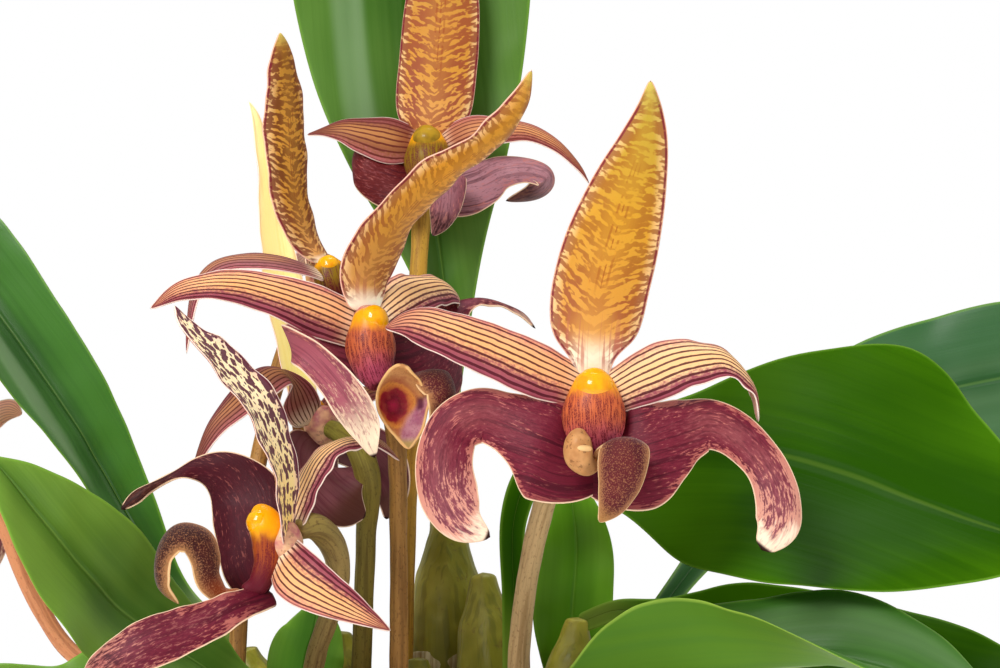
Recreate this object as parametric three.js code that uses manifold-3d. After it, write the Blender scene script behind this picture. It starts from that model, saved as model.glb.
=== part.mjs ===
// A bulbophyllum orchid in flower: seven blooms on single scapes, ten leathery leaves and a
// creeping rhizome with its pseudobulbs, rooted in bark in a plain clay pot.
// Millimetres, +Z up. The origin is the middle of the pot's flat foot. The plant faces -Y.

import * as THREE from 'three';
import { mergeVertices } from 'three/addons/utils/BufferGeometryUtils.js';
import Module from 'manifold-3d';

const wasm = await Module();
wasm.setup();

// ---------------------------------------------------------------- driving sizes

const GAP = 0.3; // clearance where two pieces touch

const POT = { foot: 44, shoulder: 60, lip: 65, band: 20, height: 96, wall: 4.5, floor: 6, segments: 32 };
const DRAIN = { count: 3, ring: 24, radius: 4 };
const MEDIUM = { level: 90, chips: 20, chip: [18, 12, 6], tilt: 0.35, seed: 7 };
const RHIZOME = { level: 90.4, radius: 2.7, sides: 6 };
const SCAPE = { sides: 6, steps: 8 };
const BULB = { sides: 6, steps: 5 };

// Sheet of tissue: thickness on the midrib and its share left at the margins.
const SEPAL = { thickness: 1.0, margin: 0.65 };
const LIP = { thickness: 1.3, margin: 0.6 };
const LEAF = { thickness: 1.7, margin: 0.5 };
const COLUMN_FLATNESS = 0.82;

// Steps along and across each organ, for blooms seen close and for the ones behind.
const FINE = { dorsal: [7, 4], petal: [7, 4], lateral: [10, 4], lip: [7, 4], heel: [4, 6], column: [6, 8] };
const PLAIN = { dorsal: [6, 2], petal: [5, 2], lateral: [7, 2], lip: [4, 4], heel: null, column: [5, 6] };
const LEAF_STEPS = [9, 2];

const COLOUR = {
  dorsal: 0xd9a23a,
  petal: 0xe8b98a,
  lateral: 0x6a2030,
  column: 0xf2ac12,
  lip: 0x6b2f2e,
  scape: 0xa88a58,
  leaf: 0x3a6e18,
  bulb: 0x8a8a3a,
  bark: 0x6b4a32,
  clay: 0xb5643c,
};

// ---------------------------------------------------------------- organs by their stations
//
// A blade's station is its midrib point, the direction that its face looks, the half width to
// either side, the angle by which it arches back at the margins and, on a leaf, the angle by
// which both halves fold up from the midrib: [x, y, z, fx, fy, fz, left, right, arch, fold].
// A stalk's station is a centre and a radius: [x, y, z, radius]. In a bloom they are measured
// from the column's middle, with x to the viewer's right and y to the back.

const FRONT_BLOOM = {
  hub: [0, 4.5, 1, 4.5],
  dorsal: [
    [-0.1, 4, 2.5, 0, -1, 0.2, 2.8, 2.8, 0.1],
    [-0.2, 2.6, 8, 0, -1, 0.1, 4.6, 4.6, 0.2],
    [0, 3, 12.8, 0, -1, 0.1, 8.4, 8.4, 0.35],
    [0.6, 3.6, 17.5, 0, -1, 0.1, 9.9, 9.9, 0.45],
    [1.8, 4.3, 24, 0, -1, 0.1, 10.3, 10.3, 0.5],
    [4, 4.9, 32, 0, -1, 0.05, 10, 10, 0.5],
    [7.1, 5, 42, 0, -1, 0, 8.2, 8.2, 0.45],
    [9.9, 4.2, 51, 0, -1, -0.1, 5.6, 5.6, 0.4],
    [11.2, 3, 58, 0, -1, -0.2, 3, 3, 0.35],
    [11.4, 2, 64.4, 0, -1, -0.3, 0.3, 0.3, 0.3],
  ],
  petals: [
    [
      [-1.8, 3, 2, 0, -1, 0.3, 4.2, 4.2, 0.2],
      [-11.8, -0.5, 6.4, 0, -1, 0.3, 5.9, 5.9, 0.35],
      [-20, -2, 10.1, 0, -1, 0.3, 5.7, 5.7, 0.5],
      [-28, -3, 13.2, 0, -1, 0.35, 5.2, 5.2, 0.5],
      [-36, -2.5, 15.6, 0, -1, 0.5, 4, 4, 0.6],
      [-41.8, -1.5, 14.4, -0.3, -1, 0.6, 0.4, 0.4, 0.5],
    ],
    [
      [2.2, 3, 0.6, 0, -1, 0.3, 4.2, 4.2, 0.2],
      [12.2, -0.5, 5.6, 0, -1, 0.3, 6.2, 6, 0.35],
      [19.6, -1, 8.1, 0.1, -1, 0.5, 5.6, 5.4, 0.45],
      [26.8, 1, 7.8, 0.5, -0.7, 0.9, 4.6, 4.4, 0.4],
      [31.8, 3, 2.7, 1, -0.1, 0.5, 3.5, 3.4, 0.4],
      [33.2, 3, -4.6, 1, 0.3, 0.1, 0.4, 0.4, 0.3],
    ],
  ],
  laterals: [
    [
      [0.4, 2.6, -8.5, 0, -1, 0.4, 8.5, 8, 0.1],
      [-5, -1.2, -9, 0, -1, 0.4, 12, 9.5, 0.25],
      [-9.5, -2.6, -7.2, 0, -1, 0.35, 13.2, 9, 0.35],
      [-14.2, -2, -5.5, 0, -1, 0.3, 8.2, 8, 0.4],
      [-18.6, -0.6, -4, 0, -1, 0.25, 6, 6.4, 0.4],
      [-23, 0, -3, 0, -1, 0.2, 5.8, 6.2, 0.5],
      [-28, -1, -5.6, 0, -1, 0.1, 5.8, 5.6, 0.5],
      [-30.1, -3, -12, 0, -1, 0, 6.2, 5.8, 0.45],
      [-29.3, -4.5, -19, -0.1, -1, 0, 6.4, 5.9, 0.4],
      [-26, -5, -24.4, 0, -1, 0.1, 4.8, 4.2, 0.3],
      [-20.6, -4.5, -27.2, 0, -1, 0.1, 0.6, 0.6, 0.2],
    ],
    [
      [-0.4, 2.6, -8.5, 0, -1, 0.4, 8, 8.5, 0.1],
      [5, -1.2, -9.5, 0, -1, 0.4, 9.5, 12.4, 0.25],
      [10, -2.6, -8.6, 0, -1, 0.35, 9.5, 13.2, 0.35],
      [15, -2, -7.2, 0, -1, 0.3, 8.4, 9.3, 0.4],
      [19.4, -0.6, -5.8, 0, -1, 0.25, 7.2, 6.1, 0.4],
      [23.4, 0, -4.9, 0, -1, 0.2, 5.6, 5.3, 0.5],
      [28.6, -1, -7.2, 0, -1, 0.1, 5, 4.7, 0.5],
      [34, -3, -12.8, 0.1, -1, 0, 4.4, 4.4, 0.45],
      [36.4, -4.5, -19, 0.1, -1, 0, 4.7, 4.7, 0.4],
      [36.2, -5, -25, 0, -1, 0, 4.6, 4.5, 0.35],
      [33, -4.5, -29.8, 0, -1, 0.1, 1.6, 1.6, 0.2],
    ],
  ],
  lip: [
    [1, -3.2, -11.8, -0.2, 0.3, 0.9, 1.6, 1.6, 0.3],
    [2.2, -6.6, -10, 0, 0.3, 0.9, 2.6, 2.6, 0.4],
    [4.4, -9.8, -7.6, 0, -0.2, 0.95, 4.6, 4.2, 0.6],
    [5.1, -12.4, -8.4, 0, -0.7, 0.7, 5.9, 4.9, 0.7],
    [5, -14, -12.2, 0, -1, 0, 5.8, 5.2, 0.8],
    [4.4, -14, -16.6, 0, -1, -0.1, 4.9, 4.5, 0.8],
    [3, -13, -20.4, 0, -1, -0.3, 3.2, 3.1, 0.7],
    [0.6, -11.6, -23.8, -0.3, -1, -0.4, 0.4, 0.4, 0.5],
  ],
  column: [
    [0, 0.6, 5.9, 1],
    [0, 0.4, 5, 3.2],
    [0, 0, 2.8, 4.6],
    [0, -0.7, -0.6, 6],
    [0, -1.2, -3.6, 6.5],
    [0.3, -1.8, -7, 5.8],
    [0.8, -2.2, -10, 3.8],
    [1.2, -2.5, -12.6, 1.8],
  ],
  heel: [
    [0.6, -4, -12.4, 1.2],
    [-1.4, -7, -13, 1.9],
    [-3, -9, -11.4, 2.8],
    [-3.4, -9.4, -9.2, 2.9],
    [-3.2, -9, -7, 2.3],
    [-2.8, -8.6, -5.4, 0.6],
  ],
};

// The bloom at the very back: its petals droop and its lateral sepals curl under.
const BACK_BLOOM = {
  ...FRONT_BLOOM,
  dorsal: [
    [-0.1, 4, 2.5, 0, -1, 0.2, 4, 4, 0.1],
    [0.8, 2.6, 7, 0, -1, 0.1, 8.6, 8.6, 0.2],
    [2, 3, 12.8, 0, -1, 0.1, 10.7, 10.7, 0.35],
    [3.4, 4, 22, 0, -1, 0.1, 11.1, 11.1, 0.45],
    [4.8, 4.9, 32, 0, -1, 0.05, 11.1, 11.1, 0.5],
    [6.1, 5, 42, 0, -1, 0, 10.1, 10.1, 0.45],
    [7.3, 4.2, 51, 0, -1, -0.1, 7, 7, 0.4],
    [8.1, 3, 58, 0, -1, -0.2, 3.6, 3.6, 0.35],
    [8.5, 2, 63.4, 0, -1, -0.3, 0.3, 0.3, 0.3],
  ],
  petals: [
    [
      [-1.8, 3, 2, 0, -1, 0.3, 5, 4.2, 0.2],
      [-9.6, -0.5, 4.2, 0, -1, 0.3, 7.6, 5.9, 0.35],
      [-16.4, -2, 6, 0, -1, 0.4, 6.4, 5, 0.5],
      [-22, -2, 7.2, 0, -1, 0.5, 4.2, 3.6, 0.5],
      [-27.4, -1, 7, -0.2, -1, 0.5, 1.6, 1.4, 0.5],
      [-32, 0, 6.4, -0.3, -1, 0.6, 0.4, 0.4, 0.5],
    ],
    [
      [2.2, 3, 0.6, 0, -1, 0.3, 4.2, 4.2, 0.2],
      [11, -0.5, 4, 0, -1, 0.4, 5.2, 5.2, 0.35],
      [19, -1, 4.2, 0.1, -1, 0.6, 4.6, 4.6, 0.45],
      [27, 0, 3, 0.2, -0.9, 0.7, 3.4, 3.4, 0.4],
      [34, 1, -1, 0.5, -0.7, 0.6, 2.6, 2.6, 0.4],
      [39, 2.4, -6.6, 0.8, -0.5, 0.4, 1.8, 1.8, 0.35],
      [42, 3, -12, 1, -0.3, 0.1, 0.4, 0.4, 0.3],
    ],
  ],
  laterals: [
    [
      [0.4, 2.6, -6.6, 0, -1, 0.4, 6, 5, 0.1],
      [-7, -1.6, -7.6, 0, -1, 0.4, 8, 8.4, 0.25],
      [-12, -3, -6, -0.2, -1, 0.35, 8.2, 8.4, 0.35],
      [-17.4, -3, -3, -0.5, -0.8, 0.3, 6, 6.2, 0.5],
      [-20, 2, 0.4, -0.9, -0.2, 0.3, 4, 4, 0.5],
      [-17, 6.5, 2.4, -0.5, 0.6, 0.6, 3, 3, 0.4],
      [-12, 8, 2.4, 0, 0.9, 0.3, 0.4, 0.4, 0.3],
    ],
    [
      [-0.4, 2.6, -7.6, 0, -1, 0.4, 5, 6, 0.1],
      [7, -1.6, -10.4, 0, -1, 0.4, 8, 8.6, 0.25],
      [13, -2.5, -9.6, 0, -1, 0.35, 7, 7.4, 0.35],
      [19, -0.5, -7, 0, -1, 0.25, 5, 5, 0.4],
      [26, 0, -6.8, 0.1, -0.9, 0.4, 4, 4, 0.5],
      [31, 1, -9.4, 0.8, -0.6, 0.1, 4.2, 4.2, 0.4],
      [27.6, 3, -13, 0.4, -0.6, -0.8, 4.2, 4.2, 0.35],
      [19, 4, -14.6, 0, -0.6, -0.8, 0.4, 0.4, 0.2],
    ],
  ],
};

// A bloom turned about 45 degrees to the viewer's right, its dorsal sepal leaning forward.
const TURNED_BLOOM = {
  hub: [0, 1.5, 0.5, 4.8],
  dorsal: [
    [-1, 1.5, 3.4, 0.6, -0.8, 0, 3, 3.8, 0.1],
    [-1.1, 2, 11, 0.68, -0.68, -0.2, 6.4, 8.4, 0.25],
    [2.2, 2, 17, 0.72, -0.55, -0.4, 8, 9.8, 0.3],
    [8, 2, 24.8, 0.72, -0.45, -0.52, 8.2, 9.2, 0.35],
    [14.6, 2, 31.2, 0.72, -0.45, -0.52, 7.4, 7.6, 0.35],
    [21.2, 1.8, 36, 0.72, -0.45, -0.52, 6, 6.2, 0.35],
    [26.6, 1.2, 40.4, 0.68, -0.5, -0.52, 5.2, 5.2, 0.35],
    [30.6, 0.4, 45.6, 0.6, -0.6, -0.4, 3.9, 3.9, 0.35],
    [33.7, -0.5, 53.8, 0.6, -0.7, -0.3, 0.3, 0.3, 0.3],
  ],
  petals: [
    [
      [-1.4, 2, 0.2, 0, -1, 0.3, 4.6, 4.6, 0.2],
      [-9.7, -1.4, 3.9, 0, -1, 0.3, 5.6, 5.6, 0.35],
      [-16.8, -3.6, 6.7, 0, -1, 0.3, 4.9, 4.9, 0.4],
      [-23.8, -5.2, 8.7, 0, -1, 0.3, 4.1, 4.1, 0.45],
      [-30.8, -6, 9.3, 0, -1, 0.3, 3.3, 3.3, 0.45],
      [-38, -5.5, 8.1, 0, -1, 0.35, 2.3, 2.3, 0.4],
      [-44.5, -4, 4.3, 0, -1, 0.3, 0.3, 0.3, 0.3],
    ],
    [
      [1.2, 2.6, 2.2, 0.2, -0.9, 0.4, 4, 4, 0.2],
      [7.2, 11, 7.3, 0.4, -0.7, 0.5, 5.4, 5.4, 0.3],
      [12.2, 21, 9.4, 0.5, -0.5, 0.7, 5.2, 5.2, 0.4],
      [15.9, 30, 9.1, 0.7, -0.2, 0.7, 4.4, 4.4, 0.4],
      [18, 37, 6.6, 0.9, 0.2, 0.3, 2.6, 2.6, 0.4],
      [18.6, 40, 2.7, 0.9, 0.3, 0, 0.4, 0.4, 0.3],
    ],
  ],
  laterals: [
    [
      [0.6, 1.2, -7, -0.1, -0.9, 0.3, 4, 5, 0.1],
      [-5.3, 1, -4.6, -0.2, -0.9, 0.3, 4.4, 6.5, 0.2],
      [-10.6, -1, -2.4, -0.1, -0.9, 0.3, 4.2, 6, 0.3],
      [-14.2, -6, -2.2, 0.5, -0.6, 0.4, 4.4, 4.4, 0.3],
      [-14.8, -11.5, -2.6, 0.9, 0.3, 0.3, 4, 4, 0.3],
      [-11.2, -14.6, -5.5, 0.5, 0.8, -0.3, 3, 3.8, 0.35],
      [-6.6, -15.4, -10.2, 0.3, 0.95, -0.2, 3.3, 4.3, 0.4],
      [-3.2, -15.2, -14.6, 0.2, 0.95, -0.1, 3.7, 4.6, 0.4],
      [-0.4, -14.4, -19.6, 0.2, 0.95, -0.1, 3.1, 3.8, 0.4],
      [1.9, -13, -25.9, 0.2, 0.95, -0.1, 0.4, 0.4, 0.3],
    ],
    [
      [1.6, 1.2, -8, 0.3, -0.9, 0.3, 5, 5, 0.1],
      [8.8, 8, -7.3, 0.45, -0.85, 0.3, 9, 9.4, 0.2],
      [13.2, 17, -4.6, 0.5, -0.85, 0.2, 8, 11.4, 0.3],
      [15.5, 26, 0, 0.5, -0.85, 0.1, 5.2, 8, 0.35],
      [17.4, 33, 4.6, 0.2, -0.6, 0.7, 3.4, 3.6, 0.4],
      [21.4, 38, 6.4, 0, -0.3, 1, 2.6, 2.6, 0.4],
      [26.9, 41, 6, 0.1, -0.2, 1, 2.4, 2.4, 0.4],
      [31.5, 42, 3.8, 0.4, -0.2, 0.9, 2, 2, 0.4],
      [35, 42, 0.3, 0.7, -0.2, 0.6, 0.4, 0.4, 0.3],
    ],
  ],
  lip: [
    [3.4, -7.8, -11.8, -0.1, -0.2, 0.9, 1.6, 1.6, 0.3],
    [6.4, -9, -11.6, -0.1, -0.2, 0.9, 2.6, 2.6, 0.4],
    [10.2, -9.4, -9.8, 0, -0.4, 0.9, 4, 4, 0.6],
    [13.8, -10.4, -8.8, 0.3, -0.6, 0.7, 5, 5, 0.8],
    [16.4, -11.4, -11.6, 0.8, -0.6, 0.2, 5.2, 5.2, 0.9],
    [16.6, -11.4, -15.6, 0.85, -0.5, -0.1, 4.8, 4.8, 0.9],
    [15, -10.6, -19.4, 0.8, -0.5, -0.3, 3.2, 3.2, 0.8],
    [12.4, -9.6, -22.4, 0.7, -0.5, -0.5, 0.4, 0.4, 0.5],
  ],
  column: [
    [0.9, -2, 4.3, 0.8],
    [0.7, -2.5, 3.3, 3],
    [0.5, -3, 1.2, 4.1],
    [0.6, -4, -3.1, 5.2],
    [1.5, -6, -7.7, 4.3],
    [3.2, -8, -11.8, 2.2],
  ],
  hood: [
    [7.6, -13.6, -6.9, 0, -1, 0.5, 1.2, 1.2, -0.6],
    [7.4, -11.6, -8.8, 0.05, -1, 0.5, 4.6, 4.6, -1],
    [7.2, -9.6, -12, 0.05, -1, 0.1, 6.8, 6.8, -1.2],
    [7.6, -9.4, -16.2, 0.05, -1, 0, 6.8, 6.8, -1.2],
    [8.4, -10.8, -20.6, 0.05, -1, -0.1, 4.2, 4.2, -1],
    [8.7, -12.4, -24.1, 0, -1, -0.2, 0.5, 0.5, -0.6],
  ],
};

// A bloom in side view, facing left and rolled a little towards the viewer.
const SIDE_BLOOM = {
  hub: [4, 0.5, 3.5, 4.4],
  dorsal: [
    [4.6, 0, 3, -0.9, 0.3, 0, 2.6, 2.6, 0.1],
    [3.9, -2, 11.1, -0.97, 0.2, 0, 6.6, 6.6, 0.3],
    [2.4, -3, 20.1, -0.95, 0.25, -0.1, 8.4, 8.4, 0.4],
    [-1.2, -5, 29.7, -0.92, 0.3, -0.35, 9.2, 9.2, 0.4],
    [-6.2, -7, 36.9, -0.8, 0.35, -0.6, 8, 8, 0.4],
    [-11.6, -8.5, 42.8, -0.7, 0.35, -0.7, 5.6, 5.6, 0.4],
    [-15.4, -8, 47.4, -0.7, 0.35, -0.7, 3, 3, 0.4],
    [-17.4, -7, 50.9, -0.8, 0.35, -0.5, 0.3, 0.3, 0.3],
  ],
  petals: [
    [
      [3.2, -1, 1.4, -0.3, -0.95, 0.1, 4.4, 4.4, 0.2],
      [6.8, -7.5, -2.3, -0.15, -0.95, 0.25, 5.6, 5.6, 0.35],
      [12, -10, -5.5, -0.1, -0.95, 0.25, 4.8, 4.8, 0.4],
      [17.9, -10, -8.7, -0.05, -0.95, 0.25, 3.2, 3.2, 0.4],
      [25.5, -8, -13.4, 0, -0.95, 0.25, 0.3, 0.3, 0.3],
    ],
    [
      [4.2, 3.4, 5.4, -0.5, -0.4, 0.8, 4, 4, 0.2],
      [6.9, 11, 14.2, -0.5, -0.4, 0.8, 5, 5, 0.2],
      [10.5, 15, 20.2, -0.3, -0.25, 0.9, 5.2, 5.2, 0.3],
      [15.5, 17, 23.2, 0, -0.25, 0.95, 4.4, 4.4, 0.4],
      [21.5, 17, 23, 0.2, -0.25, 0.95, 2.8, 2.8, 0.4],
      [26.4, 17, 19.1, 0.5, -0.25, 0.8, 0.3, 0.3, 0.3],
    ],
  ],
  laterals: [
    [
      [1.6, 0.4, -6.6, -0.1, -0.9, 0.4, 3, 3, 0.1],
      [-4.8, -7, -8.4, -0.1, -0.9, 0.4, 3.6, 3.6, 0.2],
      [-9.8, -10, -10.7, -0.1, -0.9, 0.4, 4.4, 4.4, 0.3],
      [-15.1, -12.5, -12.6, -0.1, -0.9, 0.3, 5, 5, 0.35],
      [-20.5, -14.5, -14.5, -0.1, -0.95, 0.3, 5.4, 5.4, 0.4],
      [-26.2, -16, -17.3, -0.1, -0.95, 0.3, 4.8, 4.8, 0.4],
      [-31.3, -16, -20.6, 0, -0.95, 0.3, 3.4, 3.4, 0.4],
      [-35.3, -15, -23.8, 0, -0.95, 0.3, 0.4, 0.4, 0.3],
    ],
    [
      [0.8, 0.6, -6.4, -0.1, -0.95, 0.2, 3, 3, 0.1],
      [-4, 6, -3, -0.2, -0.95, 0.1, 5, 6.6, 0.2],
      [-5.9, 13, 4.7, -0.2, -0.95, 0.1, 6, 10, 0.25],
      [-7.1, 17, 10.6, -0.15, -0.95, 0.1, 6.2, 10, 0.3],
      [-10.7, 18.5, 15.1, -0.1, -0.95, 0.1, 4, 7, 0.35],
      [-15.2, 18, 16.8, -0.1, -0.95, 0.1, 2, 3.4, 0.4],
      [-20.4, 16.5, 16, -0.1, -0.8, 0.5, 1, 1, 0.4],
      [-24.8, 15, 13.8, -0.1, -0.9, 0.3, 1.1, 1.1, 0.4],
      [-27.8, 14.5, 11.6, -0.1, -0.9, 0.3, 1.5, 1.5, 0.4],
      [-30.6, 14, 9.2, 0, -0.95, 0.2, 0.4, 0.4, 0.3],
    ],
  ],
  lip: [
    [-4.2, -1.5, -6.4, 0.3, -0.5, 0.8, 1.6, 1.6, 0.5],
    [-7.8, -3, -6.6, 0.1, -0.8, 0.6, 2.2, 2.2, 0.6],
    [-10.4, -4.6, -3.8, 0.5, -1, 0.2, 3, 3, 0.6],
    [-11.6, -6, 0.4, 0.3, -1, 0.2, 2.8, 4.2, 0.7],
    [-13.6, -6.6, 4.4, 0, -0.8, 0.6, 3.2, 5, 0.8],
    [-17.4, -6.6, 4.8, -0.5, -0.8, 0.6, 3.2, 5.2, 0.8],
    [-20.2, -6, 1, -0.9, -0.6, 0.2, 3.2, 5, 0.8],
    [-20.2, -5.4, -4.4, -0.9, -0.4, -0.4, 3, 3.6, 0.8],
    [-16.6, -5, -8.5, -0.4, -0.3, -0.9, 0.4, 0.4, 0.6],
  ],
  column: [
    [-2.7, 1, 9.9, 0.8],
    [-1.2, 0.5, 9.2, 2.6],
    [0.4, 0, 6.6, 3.7],
    [0.6, -0.5, 3, 3.2],
    [0.5, -1, -1.1, 2.8],
    [-1.3, -1.5, -4.7, 2.3],
    [-4.4, -1.5, -6.5, 1.4],
  ],
};

// A bloom facing right, behind the turned one.
const PROFILE_BLOOM = {
  hub: [-2.2, 2, -1, 4],
  dorsal: [
    [-1.3, 0, 1.7, 0.8, -0.6, 0.1, 2.6, 2.6, 0.1],
    [-5.7, 1.6, 8.4, 0.8, -0.57, 0.1, 5.8, 5.8, 0.35],
    [-8.2, 3, 19.7, 0.8, -0.57, 0.1, 7, 7, 0.4],
    [-9, 3.2, 31, 0.8, -0.57, 0.1, 7.3, 7.3, 0.4],
    [-9.4, 2.6, 41, 0.8, -0.57, 0.1, 5.8, 5.8, 0.4],
    [-10.2, 1.6, 47.5, 0.8, -0.6, 0.1, 3.4, 3.4, 0.35],
    [-10.9, 1, 51.6, 0.8, -0.6, 0.1, 0.3, 0.3, 0.3],
  ],
  petals: [
    [
      [-1.5, -1, -0.4, -0.2, -0.6, 0.8, 3.8, 3.8, 0.2],
      [-8.6, -6, 2, 0, -0.4, 0.9, 5, 5, 0.3],
      [-16.4, -9, 2.8, 0, -0.4, 0.9, 4.6, 4.6, 0.4],
      [-23.9, -10, 1.1, -0.4, -0.4, 0.8, 4, 4, 0.4],
      [-28.3, -10, -5.3, -0.9, -0.4, 0.3, 3, 3, 0.4],
      [-29.9, -9, -17.9, -0.9, -0.4, 0, 0.3, 0.3, 0.3],
    ],
    [
      [-1.8, 3.4, 0.6, 0.2, -0.4, 0.9, 3.6, 3.6, 0.2],
      [-2.2, 14, 4.2, 0.3, 0, 0.95, 5, 5, 0.3],
      [-6.2, 23, 4, 0, 0.2, 0.95, 4.4, 4.4, 0.4],
      [-10.2, 30, 0.6, -0.3, 0.5, 0.8, 3.2, 3.2, 0.4],
      [-12.3, 34, -5.2, -0.4, 0.9, 0.2, 0.3, 0.3, 0.3],
    ],
  ],
  laterals: [
    [
      [-0.8, 0.6, -4.4, 0.6, -0.6, 0.3, 3.6, 3.6, 0.1],
      [5.1, -7, -6.5, 0.6, -0.7, 0.3, 7.2, 7.2, 0.3],
      [8.2, -11, -11.6, 0.8, -0.5, 0.2, 6.6, 6.6, 0.4],
      [9.4, -10, -17.5, 0.8, -0.5, -0.1, 4.6, 4.6, 0.4],
      [7.2, -7, -23, 0.6, -0.5, -0.4, 0.4, 0.4, 0.3],
    ],
    [
      [-0.8, 1.2, -4.4, 0.7, -0.4, 0.3, 3.6, 3.6, 0.1],
      [5, 12, -5.4, 0.7, -0.4, 0.4, 7.5, 7.5, 0.3],
      [8.8, 16, -9.8, 0.9, -0.2, 0.3, 6.6, 6.6, 0.4],
      [10.5, 17, -15.9, 0.9, -0.1, -0.1, 4.6, 4.6, 0.4],
      [9.3, 14, -22.5, 0.6, -0.1, -0.6, 0.4, 0.4, 0.3],
    ],
  ],
  lip: [
    [1.6, 0.3, -6, 0.3, -0.3, 0.8, 1.5, 1.5, 0.4],
    [4.6, -0.7, -5, 0.3, -0.3, 0.9, 4, 4, 0.6],
    [7.8, -2, -6.4, 0.8, -0.5, 0.5, 5.6, 5.6, 0.7],
    [8.6, -2, -10.4, 0.9, -0.5, 0, 4.2, 4.2, 0.7],
    [7.2, -2, -14, 0.8, -0.4, -0.4, 0.4, 0.4, 0.5],
  ],
  column: [
    [-1.1, 1, 3, 0.8],
    [-0.9, 0.5, 2.2, 2.4],
    [-0.4, 0, 0.4, 3.4],
    [0.5, -0.5, -2.2, 3.8],
    [1.3, -0.5, -4.7, 2.6],
    [1.9, 0, -6.6, 1.4],
  ],
};

// A bloom seen from behind, its back to the viewer.
const AWAY_BLOOM = {
  hub: [0.8, -1.5, 0.5, 4.6],
  dorsal: [
    [-0.7, -2.6, 0.4, -0.8, 0.6, 0, 2.8, 2.8, 0.1],
    [-4.2, -0.4, 8, -0.88, 0.46, 0.1, 6.6, 6.6, 0.35],
    [-7.1, 2, 21.2, -0.88, 0.46, 0.1, 8.2, 8.2, 0.4],
    [-9.6, 3.2, 34.1, -0.88, 0.46, 0.1, 8.2, 8.2, 0.4],
    [-11, 3.8, 46, -0.88, 0.46, 0.1, 5.2, 5.2, 0.4],
    [-12.2, 3.6, 58, -0.85, 0.5, 0.1, 3, 3, 0.35],
    [-13.6, 3.2, 66.5, -0.8, 0.6, 0.1, 1.7, 1.7, 0.3],
    [-15.3, 3, 71, -0.8, 0.6, 0.1, 0.3, 0.3, 0.3],
  ],
  petals: [
    [
      [-1, -3.6, 0.6, -0.3, -0.5, 0.8, 4, 4, 0.2],
      [-6.6, -10, 12, -0.2, -0.5, 0.8, 5.6, 5.6, 0.3],
      [-13.2, -15, 8.6, -0.2, -0.6, 0.75, 5.2, 5.2, 0.4],
      [-19.4, -19, 2.4, -0.6, -0.6, 0.5, 4.2, 4.2, 0.4],
      [-22.9, -21, -3.6, -0.9, -0.5, 0.2, 2.8, 2.8, 0.4],
      [-25, -22, -9.6, -0.9, -0.5, 0, 0.3, 0.3, 0.3],
    ],
    [
      [1.8, 1.4, 1.4, 0.2, -0.2, 0.9, 4, 4, 0.2],
      [6.7, 13, 7.1, 0.3, 0, 0.9, 5, 5, 0.3],
      [12.1, 21, 7.8, 0.4, 0.1, 0.9, 4.4, 4.4, 0.4],
      [16.3, 27, 4.1, 0.8, 0.3, 0.5, 3, 3, 0.4],
      [18, 30, -2.3, 0.9, 0.4, 0, 0.3, 0.3, 0.3],
    ],
  ],
  laterals: [
    [
      [1.6, -0.6, -3.6, -0.4, 0.6, -0.5, 3.8, 3.8, 0.1],
      [-0.6, -10, -6.4, -0.55, 0.6, -0.5, 8, 8, 0.3],
      [0.5, -15, -11.7, -0.3, 0.7, -0.6, 7.6, 7.6, 0.4],
      [4.4, -17, -15.8, 0, 0.8, -0.6, 5, 5, 0.4],
      [8.5, -16, -17.2, 0.2, 0.8, -0.5, 0.4, 0.4, 0.3],
    ],
    [
      [1.2, -1.6, -3.6, -0.4, 0.7, -0.5, 3.8, 3.8, 0.1],
      [8.3, 6, -5.4, -0.2, 0.8, -0.5, 7.6, 7.6, 0.3],
      [13, 8.5, -9.9, 0.1, 0.9, -0.4, 7, 7, 0.4],
      [15.7, 7.5, -15.1, 0.3, 0.9, -0.2, 4.6, 4.6, 0.4],
      [14.5, 5, -20.2, 0.3, 0.9, 0, 0.4, 0.4, 0.3],
    ],
  ],
  lip: [
    [-2.4, 4.6, -4.2, -0.5, 0.5, 0.6, 1.6, 1.6, 0.4],
    [-4.6, 8.4, -3.4, -0.5, 0.5, 0.7, 4.4, 4.4, 0.6],
    [-7, 12.6, -5.6, -0.7, 0.7, 0.1, 6, 6, 0.7],
    [-6.8, 13.6, -10, -0.6, 0.7, -0.3, 4.2, 4.2, 0.7],
    [-5, 11.6, -13.2, -0.4, 0.6, -0.6, 0.4, 0.4, 0.5],
  ],
  column: [
    [-1, 1.6, 6.4, 0.8],
    [-1.2, 2.1, 5.3, 2.6],
    [-1.5, 2.6, 3.1, 3.6],
    [-1.8, 3.6, -0.2, 4],
    [-2.1, 4.6, -2.8, 3],
    [-2.3, 5.1, -5, 1.6],
  ],
};

// ---------------------------------------------------------------- the plant's layout
//
// Each bloom: where the column's middle is, how the form is turned (yaw, pitch and roll in
// degrees) and sized, and the scape that carries it, from the bark up to the bloom's back.

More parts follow.
